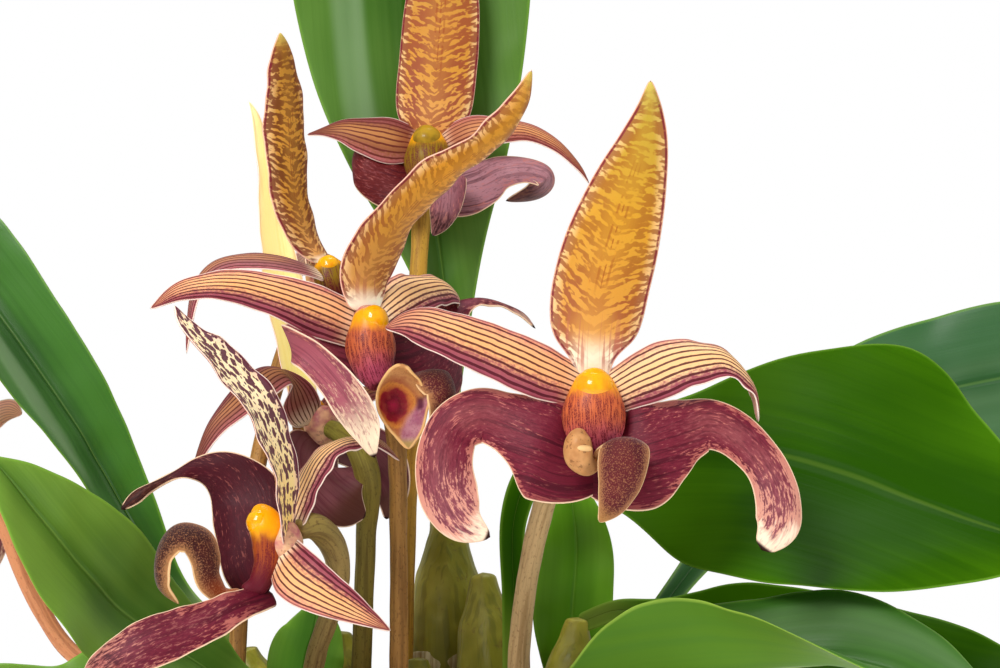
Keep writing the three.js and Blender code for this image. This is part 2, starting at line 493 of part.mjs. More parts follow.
const BLOOMS = [
  {
    name: 'bloom_a', form: FRONT_BLOOM, detail: FINE, at: [28.8, -45, 163.8], turn: [0, 0, 0], size: 1,
    scape: [[14, -8, 85, 2.5], [14, -8, 99.3, 2.5], [14.2, -12, 112.4, 2.4], [15.9, -18, 126.6, 2.3],
      [18.5, -25, 139.6, 2.4], [22.2, -33, 150.9, 2.3], [26.8, -38, 159.2, 2.2], [28.8, -40, 162.7, 1.8]],
  },
  {
    name: 'bloom_b', form: TURNED_BLOOM, detail: FINE, at: [-17.1, -28, 177.8], turn: [0, 0, 0], size: 1,
    scape: [[-11.5, -6, 85, 2.2], [-11.5, -6, 99, 2.2], [-11.6, -3, 120, 2], [-11.7, -5, 141.6, 2],
      [-12, -8, 154.5, 2.2], [-13.6, -13, 165.2, 2.6], [-15.8, -19, 173.7, 2.4], [-17.1, -23, 177.8, 1.8]],
  },
  {
    name: 'bloom_c', form: SIDE_BLOOM, detail: FINE, at: [-37, -45, 131.8], turn: [0, 0, 0], size: 1,
    scape: [[-30.8, -8, 85, 2.3], [-30.3, -8, 99.3, 2.3], [-28.8, -12, 109.3, 2.3], [-25.3, -18, 119.3, 2.3],
      [-23.5, -24, 128.1, 2.6], [-24.8, -31, 134.8, 2.9], [-28, -38, 138.2, 2.8], [-31.4, -42, 137.2, 1.9]],
  },
  {
    name: 'bloom_d', form: BACK_BLOOM, detail: PLAIN, at: [-6.4, 38, 218.9], turn: [-4, -2, -4], size: 0.86,
    scape: [[-11.5, 26, 85, 2], [-11.5, 26, 95.1, 2], [-10.9, 29, 126.2, 1.9], [-9.7, 35, 162, 1.9],
      [-8.8, 41, 189.4, 2], [-8, 45.6, 204.4, 2.2], [-7, 45, 214.7, 2], [-6.7, 42.6, 218.7, 1.6]],
  },
  {
    name: 'bloom_e', form: PROFILE_BLOOM, detail: PLAIN, at: [-26.4, -2, 190.3], turn: [0, 0, 0], size: 1,
    scape: [[-46.9, 2, 85, 2.1], [-46.9, 2, 98.1, 2.1], [-46.7, 4, 110.8, 2], [-45.3, 8, 132.2, 2],
      [-41.8, 15, 155.9, 2], [-37.4, 19, 173.5, 2.2], [-31.6, 16.4, 185.2, 2.2], [-29.2, 5, 189.6, 1.6]],
  },
  {
    name: 'bloom_f', form: AWAY_BLOOM, detail: PLAIN, at: [-29.3, 2, 156.7], turn: [0, 0, 0], size: 1,
    scape: [[-20, 2, 85, 2.3], [-20, 2, 98.1, 2.3], [-19.5, 0, 115.5, 2.2], [-18.6, -4, 135.1, 2.3],
      [-18, -9, 146, 2.9], [-20, -11, 152.9, 2.8], [-23.7, -6, 155.7, 2.4], [-26.9, -2, 156.9, 1.8]],
  },
  {
    name: 'bloom_g', form: FRONT_BLOOM, detail: PLAIN, at: [-115.8, 8, 145.7], turn: [-118, 0, 0], size: 0.9,
    scape: [[-52, -2, 85, 2], [-54.5, -1.6, 97, 2], [-66, 2, 102.5, 2], [-82, 6, 107, 2],
      [-92, 8, 121, 2], [-99, 9, 137, 2], [-106, 8, 145, 2.2], [-111.3, 6.4, 147.2, 1.6]],
  },
];

const LEAVES = {
  leaf_back: [
    [-2, 40, 136, 0, -1, 0, 2.4, 2.4, 0.3, 0],
    [-2, 44, 157, 0, -1, 0.05, 2.4, 2.4, 0.3, 0],
    [-2, 48, 178, 0, -1, 0.1, 3.5, 5.1, 0.2, 0],
    [-4, 50, 196, 0, -1, 0.1, 9, 10.6, 0, 0.12],
    [-7, 52, 217, 0, -1, 0.1, 18, 19.6, 0, 0.14],
    [-10, 54, 241, 0, -1, 0.1, 25, 26.6, 0, 0.14],
    [-12, 55, 269, 0, -1, 0.2, 28, 29.6, 0, 0.14],
    [-14, 53, 297, 0, -1, 0.3, 22, 23.6, 0, 0.14],
    [-15, 50, 315, 0, -1, 0.4, 12, 12, 0, 0.12],
    [-15, 47, 324, 0, -1, 0.4, 0.5, 0.5, 0, 0.1],
  ],
  leaf_left_back: [
    [-47, 26, 105, 0.5, -0.8, 0.2, 2.4, 2.4, 0, 0.2],
    [-57, 30, 113, 0.5, -0.8, 0.3, 2.8, 2.8, 0, 0.2],
    [-66, 35, 121, 0.6, -0.8, 0.2, 4.4, 4.4, 0, 0.3],
    [-77, 40, 138, 0.7, -0.7, 0.3, 9.5, 8.5, 0, 0.4],
    [-89, 46, 157, 0.7, -0.7, 0.3, 18, 12.5, 0, 0.42],
    [-105, 54, 178, 0.7, -0.65, 0.35, 23.6, 14.5, 0, 0.4],
    [-123, 62, 200, 0.7, -0.6, 0.4, 26, 16.5, 0, 0.35],
    [-142, 68, 219, 0.7, -0.5, 0.5, 18, 12, 0, 0.3],
    [-154, 70, 230, 0.7, -0.5, 0.5, 0.5, 0.5, 0, 0.2],
  ],
  leaf_left_front: [
    [-33, 1, 96, 0.2, -0.6, 0.8, 2.4, 2.4, 0, 0.3],
    [-45, -8, 101, 0.3, -0.7, 0.7, 7.5, 6, 0, 0.4],
    [-57, -18, 110, 0.4, -0.75, 0.6, 16, 11, 0, 0.42],
    [-68, -30, 120, 0.5, -0.8, 0.5, 21, 14.5, 0, 0.42],
    [-78, -42, 134, 0.6, -0.75, 0.4, 20.5, 13.5, 0, 0.4],
    [-86, -50, 146, 0.6, -0.7, 0.4, 11, 7, 0, 0.35],
    [-91, -54, 153, 0.6, -0.7, 0.4, 0.5, 0.5, 0, 0.2],
  ],
  leaf_left_low: [
    [-50, 10, 101, 0, -0.6, 0.8, 2.4, 2.4, 0, 0.2],
    [-55, 2, 112, 0, -0.6, 0.8, 3, 3, 0, 0.2],
    [-60, -7, 111, 0, -0.7, 0.7, 4.6, 4.6, 0, 0.25],
    [-68, -15, 107, -0.1, -0.7, 0.7, 8, 8, 0, 0.3],
    [-77, -20, 101, -0.1, -0.7, 0.7, 9, 9, 0, 0.3],
    [-87, -25, 100, -0.1, -0.7, 0.7, 10, 10, 0, 0.3],
    [-97, -30, 101, -0.2, -0.7, 0.6, 8.5, 8.5, 0, 0.25],
    [-105, -34, 101, -0.2, -0.7, 0.6, 0.5, 0.5, 0, 0.2],
  ],
  leaf_right: [
    [13, 6, 97, 0, -1, 0.1, 2.5, 2.5, 0.3, 0],
    [13, 8, 119, 0, -1, 0.1, 2.6, 2.6, 0.3, 0],
    [13, 8, 137, 0.1, -1, 0.1, 3, 3, 0.2, 0],
    [18.9, 8, 148.3, 0, -1, 0.3, 4, 5, 0, 0.1],
    [34.3, 6, 151.9, -0.1, -0.9, 0.45, 6.5, 15.2, 0, 0.15],
    [51, 2, 153.1, -0.1, -0.9, 0.45, 11.5, 28.6, 0, 0.18],
    [67.7, -4, 151.5, 0, -0.85, 0.5, 24, 35, 0, 0.18],
    [83.8, -12, 146.7, 0.1, -0.85, 0.5, 33.6, 35.6, 0, 0.18],
    [98.5, -20, 141.1, 0.2, -0.85, 0.5, 25.2, 30, 0, 0.18],
    [113, -27, 136.1, 0.3, -0.85, 0.4, 14.7, 15, 0, 0.18],
    [126.1, -32, 133.1, 0.3, -0.85, 0.4, 0.5, 0.5, 0, 0.1],
  ],
  leaf_right_front: [
    [19, -18, 95, 0, 0.3, 0.95, 2.5, 2.5, 0, 0.5],
    [27, -22, 100, 0, 0.2, 0.95, 8, 8, 0, 1],
    [41, -28, 104, 0, 0.15, 1, 18, 18, 0.2, 1.2],
    [59, -36, 107, 0, 0.05, 1, 19, 19, 0.3, 1.15],
    [78, -42, 110, 0, -0.3, 0.95, 18, 19, 0.3, 0.75],
    [94, -47, 106, 0.2, -0.4, 0.9, 15, 16, 0.2, 0.5],
    [106, -50, 98, 0.4, -0.4, 0.8, 9, 9, 0.2, 0.3],
    [116, -52, 89, 0.5, -0.3, 0.8, 0.5, 0.5, 0, 0.2],
  ],
  leaf_middle: [
    [25.5, 22, 93, 0, -1, 0, 2.5, 2.5, 0, 0.2],
    [26, 23, 103, 0.1, -1, 0, 7, 7, 0, 0.2],
    [26, 24, 115, 0.1, -1, 0, 9.2, 9.2, 0, 0.2],
    [27, 25, 129, 0.1, -1, 0.05, 8.2, 8.2, 0, 0.2],
    [26, 26, 140, 0.1, -1, 0.1, 5, 5, 0, 0.2],
    [25, 27, 150, 0.1, -1, 0.1, 0.5, 0.5, 0, 0.1],
  ],
  leaf_right_back: [
    [33, 40, 95, 0, -1, 0.1, 2.4, 2.4, 0, 0.1],
    [42, 44, 107, 0, -1, 0.1, 2.4, 2.4, 0, 0.1],
    [56, 48, 125, 0, -1, 0.2, 3.4, 3.4, 0, 0.1],
    [73, 52, 144, -0.2, -1, 0.3, 8.5, 8.5, 0, 0.15],
    [94, 54, 159, -0.2, -1, 0.4, 14.5, 14.5, 0, 0.18],
    [115, 54, 164, 0, -1, 0.4, 18, 18, 0, 0.18],
    [138, 52, 168, 0.1, -1, 0.4, 17, 17, 0, 0.18],
    [158, 48, 166, 0.3, -1, 0.4, 8, 8, 0, 0.15],
    [167, 46, 163, 0.3, -1, 0.4, 0.5, 0.5, 0, 0.1],
  ],
  leaf_right_low: [
    [27, 13, 113, 0, -0.8, 0.6, 2.4, 2.4, 0, 0.2],
    [36, 13.5, 116, 0, -0.8, 0.6, 3, 3, 0, 0.2],
    [46, 13, 114.5, 0, -0.8, 0.6, 5, 5, 0, 0.3],
    [62, 10, 112.5, 0, -0.7, 0.7, 11, 11, 0, 0.3],
    [84, 6, 108.5, 0, -0.6, 0.8, 14, 14, 0, 0.3],
    [105, 0, 103.5, 0.1, -0.6, 0.8, 13.5, 13.5, 0, 0.3],
    [123, -6, 100.5, 0.3, -0.6, 0.8, 8, 8, 0, 0.25],
    [134, -8, 98, 0.3, -0.6, 0.8, 0.5, 0.5, 0, 0.2],
  ],
  leaf_new_growth: [
    [-34, 15, 87, 0, -1, 0, 5, 5, 0, 0.2],
    [-33, 15, 104, 0.1, -1, 0, 8.6, 8.6, 0, 0.2],
    [-31, 16, 112, 0.1, -1, 0, 6.4, 6.4, 0, 0.2],
    [-30, 17, 119, 0.1, -1, 0, 0.5, 0.5, 0, 0.1],
  ],
};

// Pseudobulbs: foot on the rhizome, top, and largest radius.
const BULBS = [
  { foot: [-2, 36], top: [-2, 40, 137], radius: 9.5 },
  { foot: [-43, 27], top: [-47, 26, 107], radius: 6.5 },
  { foot: [-23, 10], top: [-33, 1.5, 98], radius: 5 },
  { foot: [-48, 15], top: [-50, 10, 103], radius: 6 },
  { foot: [10, 4], top: [13, 6, 99], radius: 6 },
  { foot: [23, -22], top: [19, -17.5, 97], radius: 5.5 },
  { foot: [27, 26], top: [25.5, 22.5, 95], radius: 5.5 },
  { foot: [24, 11], top: [27, 13, 115], radius: 6.5 },
  { foot: [30, 36], top: [33, 40, 97], radius: 6 },
  { foot: [9, 21], top: [6, 24, 124], radius: 8 },
  { foot: [-8, 12], top: [-8, 14, 106], radius: 6 },
  { foot: [-25, 32], top: [-26, 33, 110], radius: 6.5 },
];

// The rhizome creeps from bulb to bulb, half out of the bark.
const RHIZOME_RUNS = [
  [[-48, 15], [-43, 27], [-25, 32], [-2, 36], [14, 31], [30, 36]],
  [[-2, 36], [9, 21], [-8, 12], [-23, 10]],
  [[9, 21], [10, 4], [22, -6], [23, -22]],
  [[9, 21], [24, 11], [27, 26]],
];

// ---------------------------------------------------------------- solids

/** A random number in 0..1 from a seed, the same each run. */
function random(seed) {
  let state = seed * 2654435761 % 4294967296;
  return () => {
    state = (state * 1664525 + 1013904223) % 4294967296;
    return state / 4294967296;
  };
}

/** A manifold solid from flat lists of coordinates and triangles, turned to face out. */
function solidFrom(coordinates, triangles) {
  const build = (list) => new wasm.Manifold(new wasm.Mesh({
    numProp: 3,
    vertProperties: new Float32Array(coordinates),
    triVerts: new Uint32Array(list),
  }));
  const solid = build(triangles);
  if (solid.volume() > 0) return solid;
  return build(triangles.slice().reverse());
}

/** A manifold solid from a closed three.js geometry. */
function solidOf(geometry) {
  geometry.deleteAttribute('normal');
  geometry.deleteAttribute('uv');
  const merged = mergeVertices(geometry, 1e-4);
  return solidFrom(Array.from(merged.attributes.position.array), Array.from(merged.index.array));
}

/** The largest connected piece of a solid. */
function largest(solid) {
  return solid.decompose().reduce((best, piece) => (piece.volume() > best.volume() ? piece : best));
}

/** All solids of a list joined into one. */
function union(solids) {
  return solids.reduce((joined, solid) => joined.add(solid));
}

/** A solid with others cut away, and loose scraps dropped. */
function cut(solid, others) {
  return largest(others.reduce((left, other) => left.subtract(other), solid));
}

/** Smooth values between a list of rows, at t from 0 to 1. */
function between(rows, t) {
  const last = rows.length - 1;
  const k = Math.min(Math.floor(t * last), last - 1);
  const u = t * last - k;
  const before = (i) => (k > 0 ? rows[k - 1][i] : 2 * rows[0][i] - rows[1][i]);
  const after = (i) => (k < last - 1 ? rows[k + 2][i] : 2 * rows[last][i] - rows[last - 1][i]);
  return rows[k].map((b, i) => {
    const [a, c, d] = [before(i), rows[k + 1][i], after(i)];
    const bend = 2 * a - 5 * b + 4 * c - d;
    const twist = 3 * b - a - 3 * c + d;
    return 0.5 * (2 * b + (c - a) * u + bend * u * u + twist * u ** 3);
  });
}

/** Sample rows evenly and add each sample's direction of travel. */
function samples(rows, steps) {
  const values = Array.from({ length: steps + 1 }, (_, i) => between(rows, i / steps));
  const points = values.map((value) => new THREE.Vector3(value[0], value[1], value[2]));
  return values.map((value, i) => {
    const ahead = points[Math.min(i + 1, steps)];
    const behind = points[Math.max(i - 1, 0)];
    return { value, point: points[i], along: ahead.clone().sub(behind).normalize() };
  });
}

/** A closed sheet through stations: two faces a thickness apart, joined round the rim. */
function blade(rows, [steps, across], tissue, grow = 0) {
  const coordinates = [];
  const stride = across + 1;
  const layer = (steps + 1) * stride;
  for (const side of [1, -1]) {
    samples(rows, steps).forEach(({ value, point, along }, i) => {
      const [fx, fy, fz, left, right, arch, fold = 0] = value.slice(3);
      const aside = along.clone().cross(new THREE.Vector3(fx, fy, fz)).normalize();
      const face = aside.clone().cross(along);
      const overrun = grow * (i === 0 ? -1 : i === steps ? 1 : 0);
      for (let j = 0; j <= across; j++) {
        const v = (2 * j) / across - 1;
        const half = Math.max(v < 0 ? left : right, 0.3) + grow;
        const curl = (arch < 0 ? -1 : 1) * Math.max(Math.abs(arch), 0.001);
        const lean = curl * Math.abs(v);
        const flat = (half * Math.sin(lean)) / curl;
        const drop = (half * (1 - Math.cos(lean))) / curl;
        const out = Math.sign(v) * (flat * Math.cos(fold) + drop * Math.sin(fold));
        const up = flat * Math.sin(fold) - drop * Math.cos(fold);
        const tilt = v === 0 ? 0 : Math.sign(v) * (lean - fold);
        const thick = (tissue.thickness / 2) * (1 - (1 - tissue.margin) * v * v) + grow;
        const place = point.clone()
          .addScaledVector(aside, out + side * thick * Math.sin(tilt))
          .addScaledVector(face, up + side * thick * Math.cos(tilt))
          .addScaledVector(along, overrun);
        coordinates.push(place.x, place.y, place.z);
      }
    });
  }
  const triangles = [];
  const quad = (a, b, c, d) => triangles.push(a, b, c, a, c, d);
  for (let i = 0; i < steps; i++) {
    for (let j = 0; j < across; j++) {
      const a = i * stride + j;
      triangles.push(a, a + stride, a + stride + 1, a, a + stride + 1, a + 1);
      const b = a + layer;
      triangles.push(b, b + stride + 1, b + stride, b, b + 1, b + stride + 1);
    }
    const near = i * stride;
    quad(near, near + layer, near + stride + layer, near + stride);
    const far = near + across;
    quad(far, far + stride, far + stride + layer, far + layer);
  }
  for (let j = 0; j < across; j++) {
    quad(j, j + 1, j + 1 + layer, j + layer);
    const end = steps * stride + j;
    quad(end, end + layer, end + 1 + layer, end + 1);
  }
  return solidFrom(coordinates, triangles);
}

/** A closed stalk through centres and radii, round or flattened from front to back. */
function stalk(rows, [steps, sides], flatness = 1, grow = 0) {
  const coordinates = [];
  const aside = new THREE.Vector3(1, 0, 0);
  samples(rows, steps).forEach(({ value, point, along }, i) => {
    aside.addScaledVector(along, -aside.dot(along)).normalize();
    const front = aside.clone().cross(along);
    const radius = Math.max(value[3], 0.3) + grow;
    const overrun = grow * (i === 0 ? -1 : i === steps ? 1 : 0);
    for (let j = 0; j < sides; j++) {
      const angle = (2 * Math.PI * j) / sides;
      const place = point.clone()
        .addScaledVector(aside, radius * Math.cos(angle))
        .addScaledVector(front, radius * flatness * Math.sin(angle))
        .addScaledVector(along, overrun);
      coordinates.push(place.x, place.y, place.z);
    }
  });
  const triangles = [];
  for (let i = 0; i < steps; i++) {
    for (let j = 0; j < sides; j++) {
      const a = i * sides + j;
      const b = i * sides + ((j + 1) % sides);
      triangles.push(a, b, b + sides, a, b + sides, a + sides);
    }
  }
  for (let j = 1; j < sides - 1; j++) {
    const end = steps * sides;
    triangles.push(0, j + 1, j, end, end + j, end + j + 1);
  }
  return solidFrom(coordinates, triangles);
}

// ---------------------------------------------------------------- pot and bark

/** A solid of revolution about Z, from [radius, height] points that begin and end on the axis. */
function turned(profile, segments) {
  const points = profile.map(([radius, height]) => new THREE.Vector2(radius, height));
  const geometry = new THREE.LatheGeometry(points, segments);
  geometry.rotateX(Math.PI / 2);
  return solidOf(geometry);
}

/** The radius of the pot's outside at a height below its band. */
function potRadius(height) {
  return THREE.MathUtils.lerp(POT.foot, POT.shoulder, height / (POT.height - POT.band));
}

/** A tapered clay pot with a band under its rim and drain holes in its foot. */
function pot() {
  const bandFoot = POT.height - POT.band;
  const body = turned([
    [0, 0], [POT.foot - 2, 0], [POT.foot, 2], [potRadius(bandFoot), bandFoot - 1],
    [POT.lip, bandFoot], [POT.lip, POT.height - 2], [POT.lip - 1.5, POT.height],
    [POT.lip - POT.wall, POT.height], [POT.lip - POT.wall, bandFoot + 4],
    [potRadius(bandFoot) - POT.wall, bandFoot],
    [potRadius(POT.floor) - POT.wall, POT.floor], [0, POT.floor],
  ], POT.segments);
  const holes = Array.from({ length: DRAIN.count }, (_, i) => {
    const hole = new THREE.CylinderGeometry(DRAIN.radius, DRAIN.radius, 4 * POT.floor, 12);
    hole.rotateX(Math.PI / 2);
    const angle = (2 * Math.PI * (i + 0.5)) / DRAIN.count;
    hole.translate(DRAIN.ring * Math.cos(angle), DRAIN.ring * Math.sin(angle), 0);
    return solidOf(hole);
  });
  return cut(body, holes);
}

/** One chip of bark: a bevelled, tapered block at a seeded place and tilt. */
function chip(draw, index) {
  const [length, width, height] = MEDIUM.chip.map((size) => size * (0.7 + 0.6 * draw()));
  const geometry = new THREE.BoxGeometry(length, width, height);
  const position = geometry.attributes.position;
  for (let i = 0; i < position.count; i++) {
    if (position.getZ(i) > 0) position.setXY(i, position.getX(i) * 0.72, position.getY(i) * 0.66);
  }
  const turn = new THREE.Euler(
    MEDIUM.tilt * (2 * draw() - 1), MEDIUM.tilt * (2 * draw() - 1), 2 * Math.PI * draw());
  geometry.applyMatrix4(new THREE.Matrix4().makeRotationFromEuler(turn));
  const golden = Math.PI * (3 - Math.sqrt(5));
  const reach = POT.lip - POT.wall - 0.85 * MEDIUM.chip[0];
  const ring = reach * Math.sqrt((index + 0.5) / MEDIUM.chips);
  geometry.translate(ring * Math.cos(golden * index), ring * Math.sin(golden * index), MEDIUM.level);
  return solidOf(geometry);
}

/** The bark that fills the pot, chips standing out of its top, with a hole for each stem. */
function medium(stems) {
  const bandFoot = POT.height - POT.band;
  const inside = (height) => potRadius(height) - POT.wall - GAP;
  const fill = turned([
    [0, POT.floor + GAP], [inside(POT.floor), POT.floor + GAP], [inside(bandFoot), bandFoot],
    [POT.lip - POT.wall - GAP, bandFoot + 4 + GAP], [POT.lip - POT.wall - GAP, MEDIUM.level - 2],
    [POT.lip - POT.wall - 3, MEDIUM.level], [0, MEDIUM.level],
  ], POT.segments);
  const draw = random(MEDIUM.seed);
  const chips = Array.from({ length: MEDIUM.chips }, (_, i) => chip(draw, i));
  return cut(union([fill, ...chips]), stems);
}

// ---------------------------------------------------------------- rhizome, leaves and blooms

/** A pseudobulb: an egg on a narrow foot, drawn in to a short neck. */
function bulb({ foot, top, radius }, grow) {
  const start = new THREE.Vector3(foot[0], foot[1], RHIZOME.level - 1);
  const end = new THREE.Vector3(...top);
  const outline = [[0, 0.5], [0.16, 0.86], [0.36, 1], [0.62, 0.86], [0.84, 0.52], [1, 0.34]];
  const rows = outline.map(([share, width]) => {
    const place = start.clone().lerp(end, share);
    return [place.x, place.y, place.z, Math.max(radius * width, 1.8)];
  });
  return stalk(rows, [BULB.steps, BULB.sides], 1, grow);
}

/** The rhizome with all its pseudobulbs, one body. */
function rhizome(grow = 0) {
  const runs = RHIZOME_RUNS.map((run) => {
    const rows = run.map(([x, y]) => [x, y, RHIZOME.level, RHIZOME.radius]);
    return stalk(rows, [run.length - 1, RHIZOME.sides], 1, grow);
  });
  return union([...BULBS.map((one) => bulb(one, grow)), ...runs]);
}

/** A leaf with its petiole. */
function leaf(rows, grow = 0) {
  return blade(rows, LEAF_STEPS, LEAF, grow);
}

/** The scape that carries a bloom, with the pedicel and ovary at its top. */
function scape(bloom, grow = 0) {
  return stalk(bloom.scape, [SCAPE.steps, SCAPE.sides], 1, grow);
}

/** The five organs of a bloom, each clear of the ones that come before it. */
function bloomOrgans(bloom) {
  const { form, detail } = bloom;
  const [yaw, pitch, roll] = bloom.turn.map(THREE.MathUtils.degToRad);
  const matrix = new THREE.Matrix4().compose(
    new THREE.Vector3(...bloom.at),
    new THREE.Quaternion().setFromEuler(new THREE.Euler(pitch, roll, yaw, 'ZXY')),
    new THREE.Vector3(bloom.size, bloom.size, bloom.size));
  const place = (solid) => solid.transform(matrix.elements);
  const sheet = (rows, steps, tissue) => (grow) => place(blade(rows, steps, tissue, grow));
  const raw = {
    column: (grow) => place(stalk(form.column, detail.column, COLUMN_FLATNESS, grow)),
    lip: (grow) => {
      const lobes = [sheet(form.lip, detail.lip, LIP)(grow)];
      if (form.heel && detail.heel) lobes.push(place(stalk(form.heel, detail.heel, 1, grow)));
      if (form.hood) lobes.push(sheet(form.hood, detail.lip, LIP)(grow));
      return union(lobes);
    },
    petals: (grow) => {
      const [x, y, z, radius] = form.hub;
      const hub = new THREE.IcosahedronGeometry(radius + grow, 1);
      hub.translate(x, y, z);
      const petals = form.petals.map((rows) => sheet(rows, detail.petal, SEPAL)(grow));
      return union([place(solidOf(hub)), ...petals]);
    },
    dorsal_sepal: sheet(form.dorsal, detail.dorsal, SEPAL),
    lateral_sepals: (grow) => {
      return union(form.laterals.map((rows) => sheet(rows, detail.lateral, SEPAL)(grow)));
    },
  };
  const clear = [scape(bloom, GAP)];
  return Object.entries(raw).map(([organ, build]) => {
    const solid = cut(build(0), clear);
    clear.push(build(GAP));
    return [organ, solid];
  });
}

// ---------------------------------------------------------------- the model

const model = new THREE.Group();

/** Add a solid to the model as a named mesh with its own finish. */
function addMesh(name, solid, colour, roughness) {
  const { vertProperties, triVerts } = solid.getMesh();
  const geometry = new THREE.BufferGeometry();
  geometry.setAttribute('position', new THREE.BufferAttribute(new Float32Array(vertProperties), 3));
  geometry.setIndex(new THREE.BufferAttribute(new Uint32Array(triVerts), 1));
  const material = new THREE.MeshStandardMaterial({ color: colour, roughness, metalness: 0 });
  const mesh = new THREE.Mesh(geometry, material);
  mesh.name = name;
  model.add(mesh);
}

const FINISH = {
  column: [COLOUR.column, 0.3],
  lip: [COLOUR.lip, 0.8],
  petals: [COLOUR.petal, 0.5],
  dorsal_sepal: [COLOUR.dorsal, 0.5],
  lateral_sepals: [COLOUR.lateral, 0.45],
};

const grownRhizome = rhizome(GAP);

for (const bloom of BLOOMS) {
  for (const [organ, solid] of bloomOrgans(bloom)) {
    addMesh(`${bloom.name}_${organ}`, solid, ...FINISH[organ]);
  }
  addMesh(`${bloom.name}_scape`, scape(bloom), COLOUR.scape, 0.7);
}
for (const [name, rows] of Object.entries(LEAVES)) {
  addMesh(name, cut(leaf(rows), [grownRhizome]), COLOUR.leaf, 0.35);
}
addMesh('rhizome', rhizome(), COLOUR.bulb, 0.55);

const grownScapes = BLOOMS.map((bloom) => scape(bloom, GAP));
const grownLeaves = Object.values(LEAVES).map((rows) => leaf(rows, GAP));
addMesh('bark', medium([grownRhizome, ...grownScapes, ...grownLeaves]), COLOUR.bark, 0.95);
addMesh('pot', pot(), COLOUR.clay, 0.85);

export default model;
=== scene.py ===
"""A potted bulbophyllum orchid in flower: the looks of its blooms, leaves, bulbs, bark and pot."""

import logging
import math
import random
from dataclasses import dataclass, replace
from enum import Enum
from typing import ClassVar, Dict, List, Optional, Sequence, Tuple, Union

import bpy
import numpy as np
from mathutils import Euler, Matrix, Vector


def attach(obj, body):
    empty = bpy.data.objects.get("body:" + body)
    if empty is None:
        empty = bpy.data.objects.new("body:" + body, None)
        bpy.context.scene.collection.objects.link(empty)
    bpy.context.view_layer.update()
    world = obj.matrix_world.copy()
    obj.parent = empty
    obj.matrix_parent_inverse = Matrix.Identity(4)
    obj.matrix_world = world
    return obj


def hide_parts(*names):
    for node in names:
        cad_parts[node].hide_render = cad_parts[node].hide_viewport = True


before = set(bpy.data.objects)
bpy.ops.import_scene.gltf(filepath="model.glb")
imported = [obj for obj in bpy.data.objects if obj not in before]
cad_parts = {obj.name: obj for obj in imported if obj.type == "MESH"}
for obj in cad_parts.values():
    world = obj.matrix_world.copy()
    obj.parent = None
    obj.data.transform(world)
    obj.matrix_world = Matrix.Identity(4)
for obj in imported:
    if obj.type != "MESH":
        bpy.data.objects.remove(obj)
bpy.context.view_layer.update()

LOG = logging.getLogger("orchid")

MM = 0.001
BODY = "root"

Row = Sequence[float]
Rows = Sequence[Row]
Socket = bpy.types.NodeSocket
Colour = Tuple[float, float, float, float]


# ------------------------------------------------------------------ shader sums


class Term:
    """A number that varies over a surface. Sums written with it add Math nodes."""

    def __init__(self, recipe: "Recipe", socket: Socket) -> None:
        """Keep the recipe that owns the nodes and the socket that holds the number."""
        self.recipe = recipe
        self.socket = socket

    def __add__(self, other: "Number") -> "Term":
        """The sum of two numbers."""
        return self.recipe.sum("ADD", self, other)

    __radd__ = __add__

    def __sub__(self, other: "Number") -> "Term":
        """The difference of two numbers."""
        return self.recipe.sum("SUBTRACT", self, other)

    def __rsub__(self, other: "Number") -> "Term":
        """The difference of a plain number and this one."""
        return self.recipe.sum("SUBTRACT", other, self)

    def __mul__(self, other: "Number") -> "Term":
        """The product of two numbers."""
        return self.recipe.sum("MULTIPLY", self, other)

    __rmul__ = __mul__

    def __pow__(self, other: "Number") -> "Term":
        """This number raised to a power."""
        return self.recipe.sum("POWER", self, other)

    def __abs__(self) -> "Term":
        """The number without its sign."""
        return self.recipe.sum("ABSOLUTE", self)

    def fraction(self) -> "Term":
        """What is left after the whole part."""
        return self.recipe.sum("FRACT", self)

    def higher(self, other: "Number") -> "Term":
        """The higher of two numbers."""
        return self.recipe.sum("MAXIMUM", self, other)

    def rise(self, low: float, high: float) -> "Term":
        """A soft step from 0 at low to 1 at high. With low above high it falls instead."""
        return self.recipe.rise(self, low, high)


Number = Union[Term, float]
Paint = Union[Socket, Colour, str]
Sockets = Dict[Union[str, int], object]


def tint(code: str) -> Colour:
    """The linear colour of a six-figure screen colour code."""
    parts = [int(code[i : i + 2], 16) / 255 for i in (0, 2, 4)]
    linear = [p / 12.92 if p <= 0.04045 else ((p + 0.055) / 1.055) ** 2.4 for p in parts]
    return (linear[0], linear[1], linear[2], 1.0)


